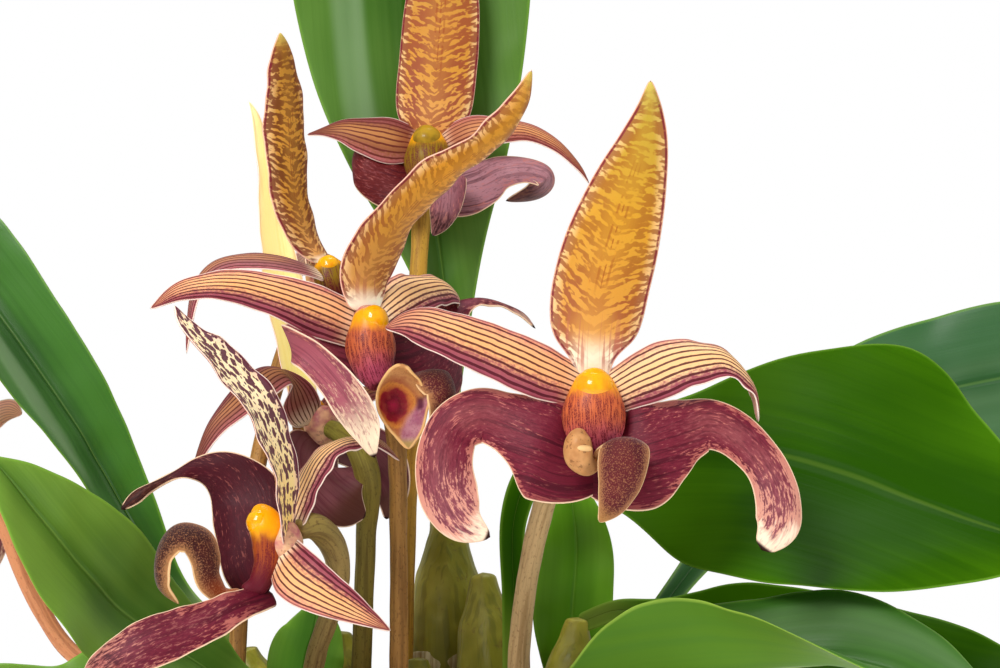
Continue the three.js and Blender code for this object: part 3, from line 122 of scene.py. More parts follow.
class Recipe:
    """The nodes of a material or a sky, from its readings to its shader."""

    def __init__(self, owner: Union[bpy.types.Material, bpy.types.World]) -> None:
        """Start with no nodes."""
        self.owner = owner
        owner.use_nodes = True
        self.tree = owner.node_tree
        self.tree.nodes.clear()
        self._readings: Dict[str, bpy.types.Node] = {}

    def node(self, kind: str, settings: Dict[str, object], sockets: Sockets) -> bpy.types.Node:
        """Add a node.

        Args:
            kind: The node's type.
            settings: Properties of the node, set before its sockets.
            sockets: A value, a colour code or a link for each input, by name or number.

        Returns:
            The new node.
        """
        made = self.tree.nodes.new(kind)
        for key, value in settings.items():
            setattr(made, key, value)
        for key, value in sockets.items():
            if isinstance(value, Term):
                value = value.socket
            elif isinstance(value, str):
                value = tint(value)
            if isinstance(value, Socket):
                self.tree.links.new(value, made.inputs[key])
            else:
                made.inputs[key].default_value = value
        return made

    def sum(self, operation: str, *terms: Number) -> Term:
        """One Math node."""
        made = self.node("ShaderNodeMath", {"operation": operation}, dict(enumerate(terms)))
        return Term(self, made.outputs[0])

    def rise(self, term: Term, low: float, high: float) -> Term:
        """A soft step of a number between two limits."""
        ends = (low, high, 0.0, 1.0) if low < high else (high, low, 1.0, 0.0)
        sockets: Sockets = {0: term, 1: ends[0], 2: ends[1], 3: ends[2], 4: ends[3]}
        made = self.node("ShaderNodeMapRange", {"interpolation_type": "SMOOTHSTEP"}, sockets)
        return Term(self, made.outputs[0])

    def reading(self, name: str) -> bpy.types.Node:
        """The node that reads one of the piece's own attributes."""
        if name not in self._readings:
            settings = {"attribute_type": "GEOMETRY", "attribute_name": name}
            self._readings[name] = self.node("ShaderNodeAttribute", settings, {})
        return self._readings[name]

    def number(self, name: str) -> Term:
        """A piece's attribute as a number."""
        return Term(self, self.reading(name).outputs["Fac"])

    def skin(self) -> Tuple[Term, Term, Term, Term]:
        """How far along a blade, across it and in from its margin a point lies, and on which side."""
        return self.number("share"), self.number("across"), self.number("rim"), self.number("side")

    def place(self) -> Socket:
        """The point on the piece, in metres."""
        if "place" not in self._readings:
            self._readings["place"] = self.node("ShaderNodeTexCoord", {}, {})
        return self._readings["place"].outputs["Object"]

    def spread(self, source: Socket, scale: Tuple[float, float, float], shift: float = 0.0) -> Socket:
        """A place stretched by a scale along each axis and moved aside."""
        sockets = {"Vector": source, "Scale": scale, "Location": (shift, shift, shift)}
        return self.node("ShaderNodeMapping", {}, sockets).outputs[0]

    def noise(self, vector: Socket, scale: float, detail: float = 3.0, rough: float = 0.5,
              bend: float = 0.0) -> Term:
        """Soft clouds from 0 to 1."""
        sockets = {"Vector": vector, "Scale": scale, "Detail": detail, "Roughness": rough, "Distortion": bend}
        made = self.node("ShaderNodeTexNoise", {"noise_dimensions": "3D"}, sockets)
        return Term(self, made.outputs[0])

    def laid(self, across: float, along: float, shift: float = 0.0, source: str = "flat") -> Socket:
        """Millimetres across and along the piece itself, stretched and moved aside."""
        return self.spread(self.reading(source).outputs["Vector"], (across, along, 1.0), shift)

    def streaks(self, across: float, along: float, shift: float = 0.0, detail: float = 2.0,
                rough: float = 0.5, bend: float = 0.0, source: str = "flat") -> Term:
        """Soft clouds that follow the piece, drawn out where along is less than across.

        Args:
            across: How many there are in a millimetre across.
            along: How many there are in a millimetre along.
            shift: How far they are moved, to set them apart from others.
            detail: How many finer layers they have.
            rough: How strong those layers are.
            bend: How much the clouds are warped.
            source: The reading that they follow.

        Returns:
            A number from 0 to 1.
        """
        return self.noise(self.laid(across, along, shift, source), 1.0, detail, rough, bend)

    def scatter(self, across: float, along: float, shift: float) -> Term:
        """The distance to the nearest of many points scattered over the piece."""
        sockets = {"Vector": self.laid(across, along, shift), "Scale": 1.0, "Randomness": 1.0}
        made = self.node("ShaderNodeTexVoronoi", {"feature": "F1"}, sockets)
        return Term(self, made.outputs["Distance"])

    def mix(self, share: Number, first: Paint, second: Paint) -> Socket:
        """The first colour where share is 0 and the second where it is 1."""
        made = self.node("ShaderNodeMix", {"data_type": "RGBA"}, {0: share, 6: first, 7: second})
        return made.outputs[2]

    def layers(self, ground: Paint, *coats: Tuple[Number, Paint]) -> Socket:
        """A ground colour under coats, each given as how much of it shows and its colour."""
        for share, coat in coats:
            ground = self.mix(share, ground, coat)
        return ground

    def ramp(self, share: Term, stops: Sequence[Tuple[float, str]]) -> Socket:
        """A run of colours along a number from 0 to 1."""
        made = self.node("ShaderNodeValToRGB", {}, {0: share})
        elements = made.color_ramp.elements
        while len(elements) < len(stops):
            elements.new(0.5)
        for element, (position, code) in zip(elements, stops):
            element.position = position
            element.color = tint(code)
        return made.outputs[0]

    def bump(self, height: Term, strength: float, distance: float) -> Socket:
        """A surface normal tipped by a height."""
        sockets = {"Height": height, "Strength": strength, "Distance": distance}
        return self.node("ShaderNodeBump", {}, sockets).outputs[0]

    def close(self, colour: Paint, roughness: Number, normal: Optional[Socket],
              fixed: Dict[str, object]) -> bpy.types.Material:
        """End the recipe in one surface shader.

        Args:
            colour: The colour or the socket that gives it.
            roughness: The roughness or the term that gives it.
            normal: The bumped normal, if there is one.
            fixed: Values of the shader's other sockets, the same all over.

        Returns:
            The finished material.
        """
        sockets: Sockets = {"Base Color": colour, "Roughness": roughness, **fixed}
        if normal is not None:
            sockets["Normal"] = normal
        shader = self.node("ShaderNodeBsdfPrincipled", {}, sockets)
        self.node("ShaderNodeOutputMaterial", {}, {"Surface": shader.outputs[0]})
        return self.owner


# ------------------------------------------------------------------ finishes


@dataclass(frozen=True)
class Finish:
    """A finish that builds its material once and hands it to each piece.

    Args:
        made: The materials built so far, by their finish.
        name: The material's name.
    """

    made: ClassVar[Dict["Finish", bpy.types.Material]] = {}
    name: str

    def material(self) -> bpy.types.Material:
        """The finished material, built on first use."""
        if self not in Finish.made:
            Finish.made[self] = self.build(Recipe(bpy.data.materials.new(self.name)))
        return Finish.made[self]

    def build(self, r: Recipe) -> bpy.types.Material:
        """Write the recipe and close it."""
        raise NotImplementedError


def bloom_skin(glow: float = 0.2) -> Dict[str, object]:
    """The shader's fixed values for thin waxy flower tissue."""
    return {
        "Subsurface Weight": glow,
        "Subsurface Radius": (1.0, 0.45, 0.3),
        "Subsurface Scale": 0.0012,
        "Specular IOR Level": 0.15,
    }


@dataclass(frozen=True)
class DorsalFinish(Finish):
    """The upper sepal: gold with soft brown bands of blotches inside, cream with dark spots outside.

    Args:
        blotch: The colour of the blotches in the upper part of the inside.
        low: Their colour in the lower part.
        ground: The colour between them in the middle of the inside.
        dense: How closely the blotches stand, from 0 to 1.
        often: How many blotches there are, 1 being the front bloom's.
        outside: The ground colour of the outside.
        foot: The outside's colour at its base.
        spots: How strongly the outside is spotted, from 0 to 1.
        painted_glow: How strongly it glows in its own colour, a painted glow standing in for light that
            shines through it from behind.
        bare: How far up the inside its cream base reaches.
        top: The ground colour of the inside near its tip.
    """

    blotch: str = "A0601C"
    low: str = "8E3A26"
    ground: str = "CC9428"
    dense: float = 0.0
    often: float = 1.0
    outside: str = "F3E0A2"
    foot: str = "DDBE7A"
    spots: float = 1.0
    painted_glow: float = 0.0
    bare: float = 0.19
    top: str = "B49A34"

    def build(self, r: Recipe) -> bpy.types.Material:
        """Write the recipe and close it."""
        share, across, rim, side = r.skin()
        wide = abs(across)
        stops = [(0.0, "DCA05C"), (0.3, "CE9036"), (0.55, self.ground), (0.93, self.top), (1.0, "CDBB5E")]
        ground = r.ramp(share, stops)
        pale = rim.rise(3.4, 0.7) * share.rise(1.0, 0.7)
        ground = r.layers(
            ground, (pale * 0.85, "F0C68C"), (share.rise(self.bare, self.bare * 0.3), "FFF4DC"),
        )
        warp = r.streaks(0.35, 0.35, 2.0) - 0.5
        swept = r.node("ShaderNodeSeparateXYZ", {}, {0: r.reading("swept").outputs["Vector"]})
        along = Term(r, swept.outputs[1])
        band = abs((along * (0.6 * self.often) + warp * 2.2).fraction() - 0.5) * 2.0
        broad = r.streaks(0.38 * self.often, 0.7 * self.often, source="swept")
        small = r.streaks(0.9 * self.often, 1.3 * self.often, 4.0)
        field = broad + (band - 0.5) * 0.2 + (small - 0.5) * 0.16 + self.dense * 0.06
        field = field + rim.rise(4.0, 0.8) * 0.02
        blotch = field.rise(0.45, 0.55) * share.rise(self.bare * 0.2, self.bare * 0.7) * share.rise(1.0, 0.88)
        blotch = blotch * (1.0 - wide.rise(0.5, 0.12) * (0.45 - self.dense * 0.35))
        blotch = blotch * (1.0 - wide.rise(0.75, 0.3) * share.rise(self.bare * 1.5, self.bare * 0.7) * 0.8)
        brown = r.mix(share.rise(0.5, 0.22), self.blotch, self.low)
        brown = r.mix(rim.rise(4.0, 1.0) * 0.5, brown, "7A2E1A")
        front = r.mix(blotch * (0.8 + 0.15 * self.dense), ground, brown)
        ray = r.streaks(1.5, 0.04, 3.1).rise(0.5, 0.6)
        ray = ray * share.rise(self.bare * 1.5, self.bare * 0.6) * share.rise(0.03, 0.1)
        front = r.mix(ray * 0.7, front, "B0604E")
        dashes = r.streaks(0.3, 0.5, 0.0, 1.0).rise(0.47, 0.53)
        thread = (abs(wide - 0.1).rise(0.035, 0.01) * 0.7 + wide.rise(0.02, 0.005)) * dashes
        front = r.mix(thread * share.rise(0.25, 0.38) * share.rise(0.76, 0.66) * 0.6, front, "8E3014")
        broken = r.streaks(0.5, 1.0, 5.0).rise(0.38, 0.48)
        line = rim.rise(0.2, 0.38) * rim.rise(1.0, 0.7) * (broken * 0.6 + 0.4) * share.rise(0.03, 0.1)
        front = r.layers(
            front, (line * share.rise(0.98, 0.9) * 0.9, "7A1E2E"), (rim.rise(0.36, 0.14), "F2B8A2"),
        )
        colour = r.mix(side.rise(-0.08, 0.08), self._outside(r, share, rim), front)
        veins = r.streaks(1.7, 0.04)
        grain = r.noise(r.place(), 2600.0, 2.0)
        normal = r.bump(veins * 0.7 + grain * 0.3 - blotch * 0.1, 0.5, 0.00016)
        fixed = bloom_skin()
        # Painted glow: the sepal emits its own colour so that it looks brightly lit.
        if self.painted_glow:
            fixed.update({"Emission Color": colour, "Emission Strength": self.painted_glow})
        return r.close(colour, 0.46 + 0.15 * grain, normal, fixed)

    def _outside(self, r: Recipe, share: Term, rim: Term) -> Socket:
        """The outside of the sepal, cream with long dark spots in rows."""
        warp = r.streaks(0.7, 0.5, 6.0) - 0.5
        edge = rim.rise(3.2, 0.4)
        large = r.scatter(0.68, 0.42, 2.0) + warp * 0.65
        small = r.scatter(1.2, 0.8, 9.0) + warp * 0.65
        spot = (large - edge * 0.08).rise(0.52, 0.45).higher((small - edge * 0.14).rise(0.34, 0.27))
        ground = r.mix(share.rise(0.55, 0.05), self.outside, self.foot)
        ground = r.mix(edge * (0.25 + 0.5 * self.spots), ground, "EDC2B0")
        vein = r.streaks(1.4, 0.03, 4.0).rise(0.52, 0.6)
        ground = r.mix(vein * 0.18, ground, "B98A4A")
        spotted = r.mix(spot * self.spots * 0.95, ground, "541E38")
        line = rim.rise(0.3, 0.45) * rim.rise(0.95, 0.7) * max(self.spots, 0.3)
        spotted = r.mix(line * 0.8, spotted, "5A1C2C")
        return r.mix(rim.rise(0.38, 0.18), spotted, "F6DCCD")


@dataclass(frozen=True)
class PetalFinish(Finish):
    """A striped petal: maroon lines on peach, flushed wine along its lower margin.

    Args:
        lower: Which way across its lower margin lies, 1 or -1.
        ground: The colour between its lines.
        flush: The colour that it takes on along its lower margin.
        line: The colour of its lines.
        lines: How many lines run from base to tip.
        end: The colour that it takes on towards its tip.
        reach: Where across it the flush begins, 0 being the midrib.
    """

    lower: float = 1.0
    ground: str = "F0B280"
    flush: str = "8E3A50"
    line: str = "4E0E1C"
    lines: float = 9.0
    end: str = "A85450"
    reach: float = 0.2

    def build(self, r: Recipe) -> bpy.types.Material:
        """Write the recipe and close it."""
        share, across, rim, side = r.skin()
        wide = abs(across)
        down = across * self.lower
        wobble = r.streaks(0.10, 0.16) - 0.5
        fine = r.streaks(0.7, 0.7, 2.0) - 0.5
        phase = (across + wobble * 0.09 + fine * 0.03) * (self.lines / 2) + 0.5 * self.lines
        gap = abs(phase.fraction() - 0.5) * 2.0
        weight = wide * 0.1 + down * 0.08 + share * 0.08 + 0.27 + fine * 0.22
        stripe = (gap + weight - 1.0).rise(-0.08, 0.06) * share.rise(0.0, 0.06)
        ground = r.mix(share.rise(0.14, 0.0), self.ground, "FBE6C4")
        warm = wide.rise(0.6, 0.1) * share.rise(0.12, 0.3) * share.rise(0.85, 0.6)
        ground = r.mix(warm * 0.3, ground, "F4B060")
        grains = r.streaks(2.2, 1.2, 7.0, 2.0, 0.6) - 0.5
        pink = (wide + down * 0.12 + grains * 0.7).rise(0.4, 0.95) * share.rise(0.02, 0.2)
        ground = r.mix(pink * 0.85, ground, "C06A70")
        deep = (down + grains * 0.9 - share * 0.1).rise(self.reach, self.reach + 0.6) * share.rise(0.02, 0.14)
        ground = r.layers(ground, (deep * 0.85, self.flush), (share.rise(0.7, 1.0) * 0.7, self.end))
        front = r.mix(stripe * 0.92, ground, self.line)
        edge = rim.rise(0.75, 0.45) * rim.rise(0.2, 0.4)
        front = r.layers(front, (edge * 0.7, "7A2A34"), (rim.rise(0.36, 0.16), "F6DACB"))
        paler = r.mix(0.5, ground, "E9B9A6")
        back = r.mix(stripe * 0.5, paler, "96505A")
        back = r.mix(rim.rise(0.4, 0.16), back, "F6DFD2")
        colour = r.mix(side.rise(-0.08, 0.08), back, front)
        veins = r.streaks(1.5, 0.05)
        grain = r.noise(r.place(), 2600.0, 2.0)
        normal = r.bump(veins * 0.6 + grain * 0.25 - stripe * 0.35, 0.5, 0.00016)
        return r.close(colour, 0.46 + 0.15 * grain, normal, bloom_skin(0.12))


@dataclass(frozen=True)
class LateralFinish(Finish):
    """A lateral sepal: deep wine, veined and finely grained, breaking into salmon and cream.

    Args:
        ground: Its main colour.
        middle: The colour along its middle, a painted sheen where the sepal bulges forward.
        mottle: How far the pale breaks reach in from the margins.
        cream: How much of its end is cream, from 0 to 1.
        outside: The main colour of its outside.
        end: The colour of its last quarter where it isn't cream.
        fleck: The colour of the fine grains all over it.
        point: The colour of its very tip.
    """

    ground: str = "6E1C2E"
    middle: str = "8A4246"
    mottle: float = 1.0
    cream: float = 1.0
    outside: str = "8C4552"
    end: str = "C07A60"
    point: str = "2E1512"
    fleck: str = "A25A5E"

    def build(self, r: Recipe) -> bpy.types.Material:
        """Write the recipe and close it."""
        share, across, rim, side = r.skin()
        wide = abs(across)
        veins = r.streaks(1.5, 0.05, 0.0, 2.5, 0.5, 0.2)
        cloud = r.streaks(0.22, 0.12, 3.0)
        grain = r.streaks(2.6, 0.6, 5.0, 4.0, 0.65)
        patch = r.streaks(0.8, 0.13, 9.0, 3.0, 0.6, 0.3)
        ground = r.mix(share.rise(0.0, 0.25), "560A1E", self.ground)
        # Painted sheen: a lighter mauve along the middle, where the sepal bulges, broken by random clouds.
        middle = wide.rise(0.75, 0.15) * share.rise(0.22, 0.5) * cloud.rise(0.25, 0.6)
        ground = r.mix(middle * 0.8, ground, self.middle)
        dark = veins.rise(0.5, 0.64) * (share.rise(0.5, 0.1) * 0.4 + 0.35)
        ground = r.layers(
            ground, (dark, "3C0616"), (share.rise(0.55, 0.95) * self.cream * 0.55, "9C5C66"),
            (grain.rise(0.52, 0.62) * share.rise(0.1, 0.4) * 0.3, self.fleck),
            (grain.rise(0.46, 0.38) * 0.4, "48101E"),
        )
        edge = rim.rise(2.6, 0.3)
        inner = rim.rise(6.0, 1.0)
        broken = grain * 0.65 + patch * 0.35
        level = broken + (edge * 0.13 + inner * 0.02 + share.rise(0.55, 1.0) * 0.1) * self.mottle
        pale = level.rise(0.575, 0.64) * share.rise(0.04, 0.3)
        salmon = r.mix(share.rise(0.5, 0.95), "BE6C60", "E2A48C")
        front = r.mix(pale * (0.3 + 0.5 * min(self.mottle, 1.0)), ground, salmon)
        last = share.rise(0.7, 0.86) * (1.0 - self.cream)
        front = r.mix(last * 0.85, front, r.mix(grain.rise(0.4, 0.6), "2A100C", self.end))
        granule = r.streaks(2.0, 0.5, 1.0, 3.0).rise(0.50, 0.64)
        end = (share + (patch - 0.5) * 0.3 + edge * 0.05 + (self.cream - 1.0) * 0.06).rise(0.9, 0.99)
        front = r.layers(
            front, (end * self.cream, r.mix(granule * 0.45, "F6DCC0", "C4807A")),
            (rim.rise(0.4, 0.18) * share.rise(0.0, 0.1), "EFCBA8"),
        )
        back = r.mix(cloud * 0.6, self.outside, "A5626A")
        back = r.mix(veins.rise(0.45, 0.62) * 0.45, back, "551A2A")
        flare = (broken + edge * 0.08 + (share - 0.55) * 0.16).rise(0.56, 0.68)
        back = r.layers(
            back, (flare * self.cream * 0.75, r.mix(share.rise(0.5, 0.9), "C47868", "EED2B0")),
            (share.rise(0.74, 0.92) * (1.0 - granule * 0.6) * self.cream * 0.85, "F2DDBC"),
            (last * 0.8, self.end), (rim.rise(0.4, 0.18), "EFCFB4"),
        )
        colour = r.mix(side.rise(-0.08, 0.08), back, front)
        colour = r.mix(share.rise(0.975, 0.988), colour, self.point)
        fine = r.noise(r.place(), 2400.0, 2.0)
        normal = r.bump(veins * 0.6 + grain * 0.35 + fine * 0.2, 0.6, 0.00022)
        return r.close(colour, 0.42 + 0.18 * fine, normal, bloom_skin(0.08))


@dataclass(frozen=True)
class LipFinish(Finish):
    """The lip: velvety maroon with gold grains above, ochre below.

    Args:
        deep: The darker of its two velvet colours.
        light: The lighter of them.
        foot: How strongly its foot is orange, from 0 to 1.
    """

    deep: str = "4E101A"
    light: str = "601E22"
    foot: float = 0.0

    def build(self, r: Recipe) -> bpy.types.Material:
        """Write the recipe and close it."""
        share, across, rim, side = r.skin()
        grains = r.noise(r.place(), 3200.0, 3.0, 0.7)
        cloud = r.streaks(0.25, 0.25)
        ground = r.mix(cloud.rise(0.3, 0.7), self.deep, self.light)
        ground = r.mix(share.rise(0.3, 0.08) * self.foot, ground, "A84A1C")
        near = rim.rise(2.8, 0.2)
        gold = (grains + near * 0.12 + (share - 0.5) * 0.06).rise(0.52, 0.62)
        top = r.mix(gold * 0.5, ground, "B47A50")
        top = r.layers(
            top, (share.rise(0.82, 1.0) * 0.7, "B08040"), ((near ** 3.0) * 0.6, "B8824E"),
            (rim.rise(0.5, 0.2), "EBC08A"),
        )
        under = r.mix(cloud.rise(0.35, 0.7), "D9A060", "B9773C")
        hollow = abs(across).rise(0.75, 0.1) * share.rise(0.1, 0.3) * share.rise(0.85, 0.6)
        under = r.mix(hollow * 0.85, under, "8E1C30")
        dots = r.noise(r.place(), 1500.0, 1.0).rise(0.66, 0.7)
        under = r.mix(dots * 0.4, under, "6A3A1C")
        colour = r.mix(side.rise(-0.1, 0.1), under, top)
        normal = r.bump(grains, 0.7, 0.00025)
        fixed = bloom_skin(0.08)
        fixed.update({"Sheen Weight": 0.25, "Sheen Roughness": 0.4})
        return r.close(colour, 0.62, normal, fixed)


@dataclass(frozen=True)
class HoodFinish(Finish):
    """The hollow of a lip seen from its front: ochre hood, orange ring, crimson throat."""

    def build(self, r: Recipe) -> bpy.types.Material:
        """Write the recipe and close it."""
        share, across, rim, side = r.skin()
        grains = r.noise(r.place(), 2300.0, 3.0, 0.7)
        cloud = r.noise(r.place(), 420.0, 2.0)
        off, sideways = (share - 0.5) * 2.5, (across - 0.35) * 0.9
        deep = (off * off + sideways * sideways) ** 0.5 + (cloud - 0.5) * 0.3
        stops = [(0.0, "84122E"), (0.22, "5E0618"), (0.44, "7E141E"), (0.53, "B0602A"), (0.63, "C07A34"),
                 (0.74, "A8643A"), (0.95, "BC8450")]
        inside = r.ramp(deep, stops)
        inside = r.mix(cloud.rise(0.5, 0.7) * 0.4, inside, "8E3A2C")
        mauve = ((share - 0.55) * 1.6 - across * 0.5).rise(0.12, 0.34)
        inside = r.mix(mauve * 0.85, inside, r.mix(cloud.rise(0.3, 0.7), "8A3A66", "B47C8A"))
        slot = abs(across + 0.6).rise(0.22, 0.04) * abs(share - 0.52).rise(0.13, 0.04)
        inside = r.layers(
            inside, (slot * 0.9, "4E1230"), (share.rise(0.86, 0.95), "A88A50"),
            (grains.rise(0.54, 0.64) * 0.3, "6A2E1C"),
        )
        outside = r.mix(grains.rise(0.4, 0.65), "5A2428", "A06A44")
        colour = r.mix(side.rise(-0.1, 0.1), outside, inside)
        colour = r.mix(rim.rise(0.9, 0.3), colour, "E0AE70")
        normal = r.bump(grains, 0.6, 0.0002)
        return r.close(colour, 0.5, normal, bloom_skin(0.15))


@dataclass(frozen=True)
class ColumnFinish(Finish):
    """The column: orange skin under rows of maroon dots, deepening to a magenta foot.

    Args:
        ground: The skin's colour under the dots.
        foot: The colour of its lower end.
        gold: How far down its yellow top reaches.
    """

    ground: str = "C8643A"
    foot: str = "B04860"
    gold: float = 0.14

    def build(self, r: Recipe) -> bpy.types.Material:
        """Write the recipe and close it."""
        down = r.number("share")
        ragged = r.streaks(0.5, 0.2) - 0.5
        level = down + ragged * 0.14
        skin = r.mix(level.rise(self.gold, self.gold + 0.2), "F7A60C", self.ground)
        skin = r.mix(level.rise(0.48, 0.85), skin, self.foot)
        rows = r.streaks(3.2, 0.18, 2.0, 2.0, 0.6).rise(0.42, 0.54)
        dots = r.streaks(5.0, 3.4, 5.0, 2.0, 0.7).rise(0.42, 0.56)
        marks = rows * (dots * 0.7 + 0.3) * level.rise(self.gold + 0.06, self.gold + 0.26)
        colour = r.mix(marks * 0.9, skin, "651022")
        grain = r.noise(r.place(), 1800.0, 2.0)
        normal = r.bump(grain * 0.4 - marks * 0.4, 0.45, 0.00014)
        return r.close(colour, level.rise(0.3, 0.6) * 0.2 + 0.28, normal, bloom_skin(0.15))


@dataclass(frozen=True)
class CapFinish(Finish):
    """Smooth tissue of two shades: the anther cap, the heel of a lip, the receptacle.

    Args:
        light: One of its two colours, laid in soft random clouds.
        deep: The other, which also grows towards the end of the piece.
        gloss: The roughness.
        specks: How strongly it is flecked with brown.
        coat: The weight of its wet gloss.
    """

    light: str
    deep: str
    gloss: float = 0.3
    specks: float = 0.0
    coat: float = 0.4

    def build(self, r: Recipe) -> bpy.types.Material:
        """Write the recipe and close it."""
        share = r.number("share")
        cloud = r.noise(r.place(), 420.0, 2.0)
        colour = r.mix((cloud + (share - 0.5) * 0.3).rise(0.35, 0.75), self.light, self.deep)
        flecks = r.noise(r.place(), 900.0, 2.0, 0.6).rise(0.60, 0.64)
        colour = r.mix(flecks * self.specks, colour, "5A2A14")
        normal = r.bump(r.noise(r.place(), 1500.0, 2.0), 0.2, 0.0001)
        fixed = bloom_skin(0.2)
        fixed.update({"Coat Weight": self.coat, "Coat Roughness": 0.1})
        return r.close(colour, self.gloss, normal, fixed)


@dataclass(frozen=True)
class StalkFinish(Finish):
    """A flower stalk: tan or brown, streaked and flecked along its length.

    Args:
        ground: Its main colour.
        streak: The colour of its streaks.
        tip: The colour that it takes on at its top.
    """

    ground: str
    streak: str
    tip: str

    def build(self, r: Recipe) -> bpy.types.Material:
        """Write the recipe and close it."""
        share = r.number("share")
        long = r.streaks(1.1, 0.05, 0.0, 3.0, 0.6)
        fleck = r.streaks(2.6, 1.1, 4.0, 2.0, 0.6).rise(0.59, 0.66)
        ground = r.mix(share.rise(0.72, 1.0), self.ground, self.tip)
        colour = r.mix(long.rise(0.44, 0.66) * 0.6, ground, self.streak)
        colour = r.mix(fleck * 0.55, colour, self.streak)
        normal = r.bump(long * 0.8 + fleck * 0.2, 0.5, 0.00022)
        fixed = {"Subsurface Weight": 0.08, "Subsurface Scale": 0.001, "Specular IOR Level": 0.3}
        return r.close(colour, 0.5 + 0.2 * long, normal, fixed)


@dataclass(frozen=True)
class LeafFinish(Finish):
    """A leathery leaf: glossy above with faint veins, paler and duller below.

    Args:
        dark: The darker green of its face.
        light: The lighter green of its face.
        under: The green of its underside.
        rib: The colour of its midrib.
        gloss: How strongly it shines.
        painted_sheen: How strongly pale bands of painted reflection of the sky lie along it, from 0 to 1.
        half: On which half they lie, 1 or -1, or 0 for both.
    """

    dark: str
    light: str
    under: str
    rib: str
    gloss: float = 0.22
    painted_sheen: float = 0.0
    half: float = 0.0

    def build(self, r: Recipe) -> bpy.types.Material:
        """Write the recipe and close it."""
        share, across, rim, side = r.skin()
        wide = abs(across)
        cloud = r.streaks(0.035, 0.018)
        veins = r.streaks(0.5, 0.008)
        fine = r.streaks(1.8, 0.02, 3.0)
        # Random tone with painted light and shade: the face is brighter towards the margins and darker in the
        # groove round the midrib.
        tone_and_painted_light = (cloud + (wide - 0.5) * 0.3 + (veins - 0.5) * 0.22).rise(0.3, 0.7)
        face = r.mix(tone_and_painted_light, self.dark, self.light)
        # Fine dark streaks, then painted shade along the midrib groove.
        face = r.layers(
            face, (fine.rise(0.45, 0.7) * 0.12, self.dark), (wide.rise(0.22, 0.03) * 0.5, self.dark),
        )
        # Painted reflection: pale bands of sky colour reflected along the face.
        if self.painted_sheen:
            band = r.streaks(0.11, 0.006, 5.0, 1.0).rise(0.35, 0.62)
            place = wide.rise(0.04, 0.25) * wide.rise(1.0, 0.7)
            if self.half:
                place = place * (across * self.half).rise(0.0, 0.1)
            face = r.mix(band * place * self.painted_sheen, face, "8CA67C")
        # Painted highlight: a bright yellow-green line where light catches the margin.
        face = r.layers(
            face, (wide.rise(0.03, 0.006) * share.rise(0.02, 0.1) * 0.25, self.rib),
            (rim.rise(0.9, 0.2) * 0.5, "7CA838"), (share.rise(0.98, 1.0) * 0.6, "7A6A2A"),
        )
        back = r.mix(veins.rise(0.35, 0.7) * 0.35, self.under, self.light)
        # Pale midrib, then a painted highlight where light catches the margin of the underside.
        back = r.layers(
            back, (wide.rise(0.05, 0.02) * 0.7, "9DBA58"), (rim.rise(0.9, 0.25) * 0.6, "A4C24C"),
        )
        face = r.mix(share.rise(0.16, 0.04) * 0.5, face, "7F8F3A")
        colour = r.mix(side.rise(-0.08, 0.08), back, face)
        groove = wide.rise(0.0, 0.08)
        cells = r.noise(r.place(), 1100.0, 3.0, 0.6)
        normal = r.bump(groove * 1.2 + veins * 0.22 + fine * 0.06 + cells * 0.03, 0.5, 0.0006)
        rough = side.rise(0.1, -0.1) * 0.2 + 0.3 + cloud * 0.1
        fixed = {"Subsurface Weight": 0.04, "Subsurface Scale": 0.002, "Subsurface Radius": (0.4, 1.0, 0.15),
                 "Specular IOR Level": self.gloss}
        return r.close(colour, rough, normal, fixed)


@dataclass(frozen=True)
class BulbFinish(Finish):
    """A pseudobulb: olive, wrinkled lengthwise, browner on its old side."""

    def build(self, r: Recipe) -> bpy.types.Material:
        """Write the recipe and close it."""
        share = r.number("share")
        cloud = r.noise(r.place(), 60.0, 3.0, 0.6)
        ribs = r.streaks(0.5, 0.03)
        colour = r.mix(cloud.rise(0.35, 0.68), "86821E", "B4AA3A")
        colour = r.layers(
            colour, (ribs.rise(0.5, 0.62) * 0.35, "4E5216"),
            (r.noise(r.place(), 220.0, 4.0, 0.7).rise(0.6, 0.7) * 0.5, "6A4A22"),
            (share.rise(0.25, 0.0) * 0.6, "6E5230"),
        )
        normal = r.bump(ribs * 0.8 + cloud * 0.2, 0.6, 0.0008)
        fixed = {"Subsurface Weight": 0.08, "Subsurface Scale": 0.002, "Specular IOR Level": 0.45}
        return r.close(colour, 0.35 + 0.25 * cloud, normal, fixed)


@dataclass(frozen=True)
class SheathFinish(Finish):
    """A dry papery sheath, straw coloured and fibrous."""

    def build(self, r: Recipe) -> bpy.types.Material:
        """Write the recipe and close it."""
        threads = r.streaks(1.6, 0.05, 0.0, 3.0, 0.6)
        stain = r.noise(r.place(), 90.0, 3.0, 0.6)
        colour = r.mix(threads.rise(0.35, 0.65), "D8CCA2", "A8915E")
        colour = r.mix(stain.rise(0.55, 0.75) * 0.7, colour, "6A5030")
        return r.close(colour, 0.75, r.bump(threads, 0.8, 0.0005), {"Specular IOR Level": 0.25})


@dataclass(frozen=True)
class RootFinish(Finish):
    """A root: dark, with a grey felt skin in places."""

    def build(self, r: Recipe) -> bpy.types.Material:
        """Write the recipe and close it."""
        share = r.number("share")
        felt = r.noise(r.place(), 160.0, 4.0, 0.7)
        colour = r.mix(felt.rise(0.45, 0.7), "3A2A20", "8A7C66")
        colour = r.mix(share.rise(0.93, 0.99), colour, "9FB05A")
        return r.close(colour, 0.8, r.bump(felt, 0.7, 0.0004), {"Specular IOR Level": 0.2})


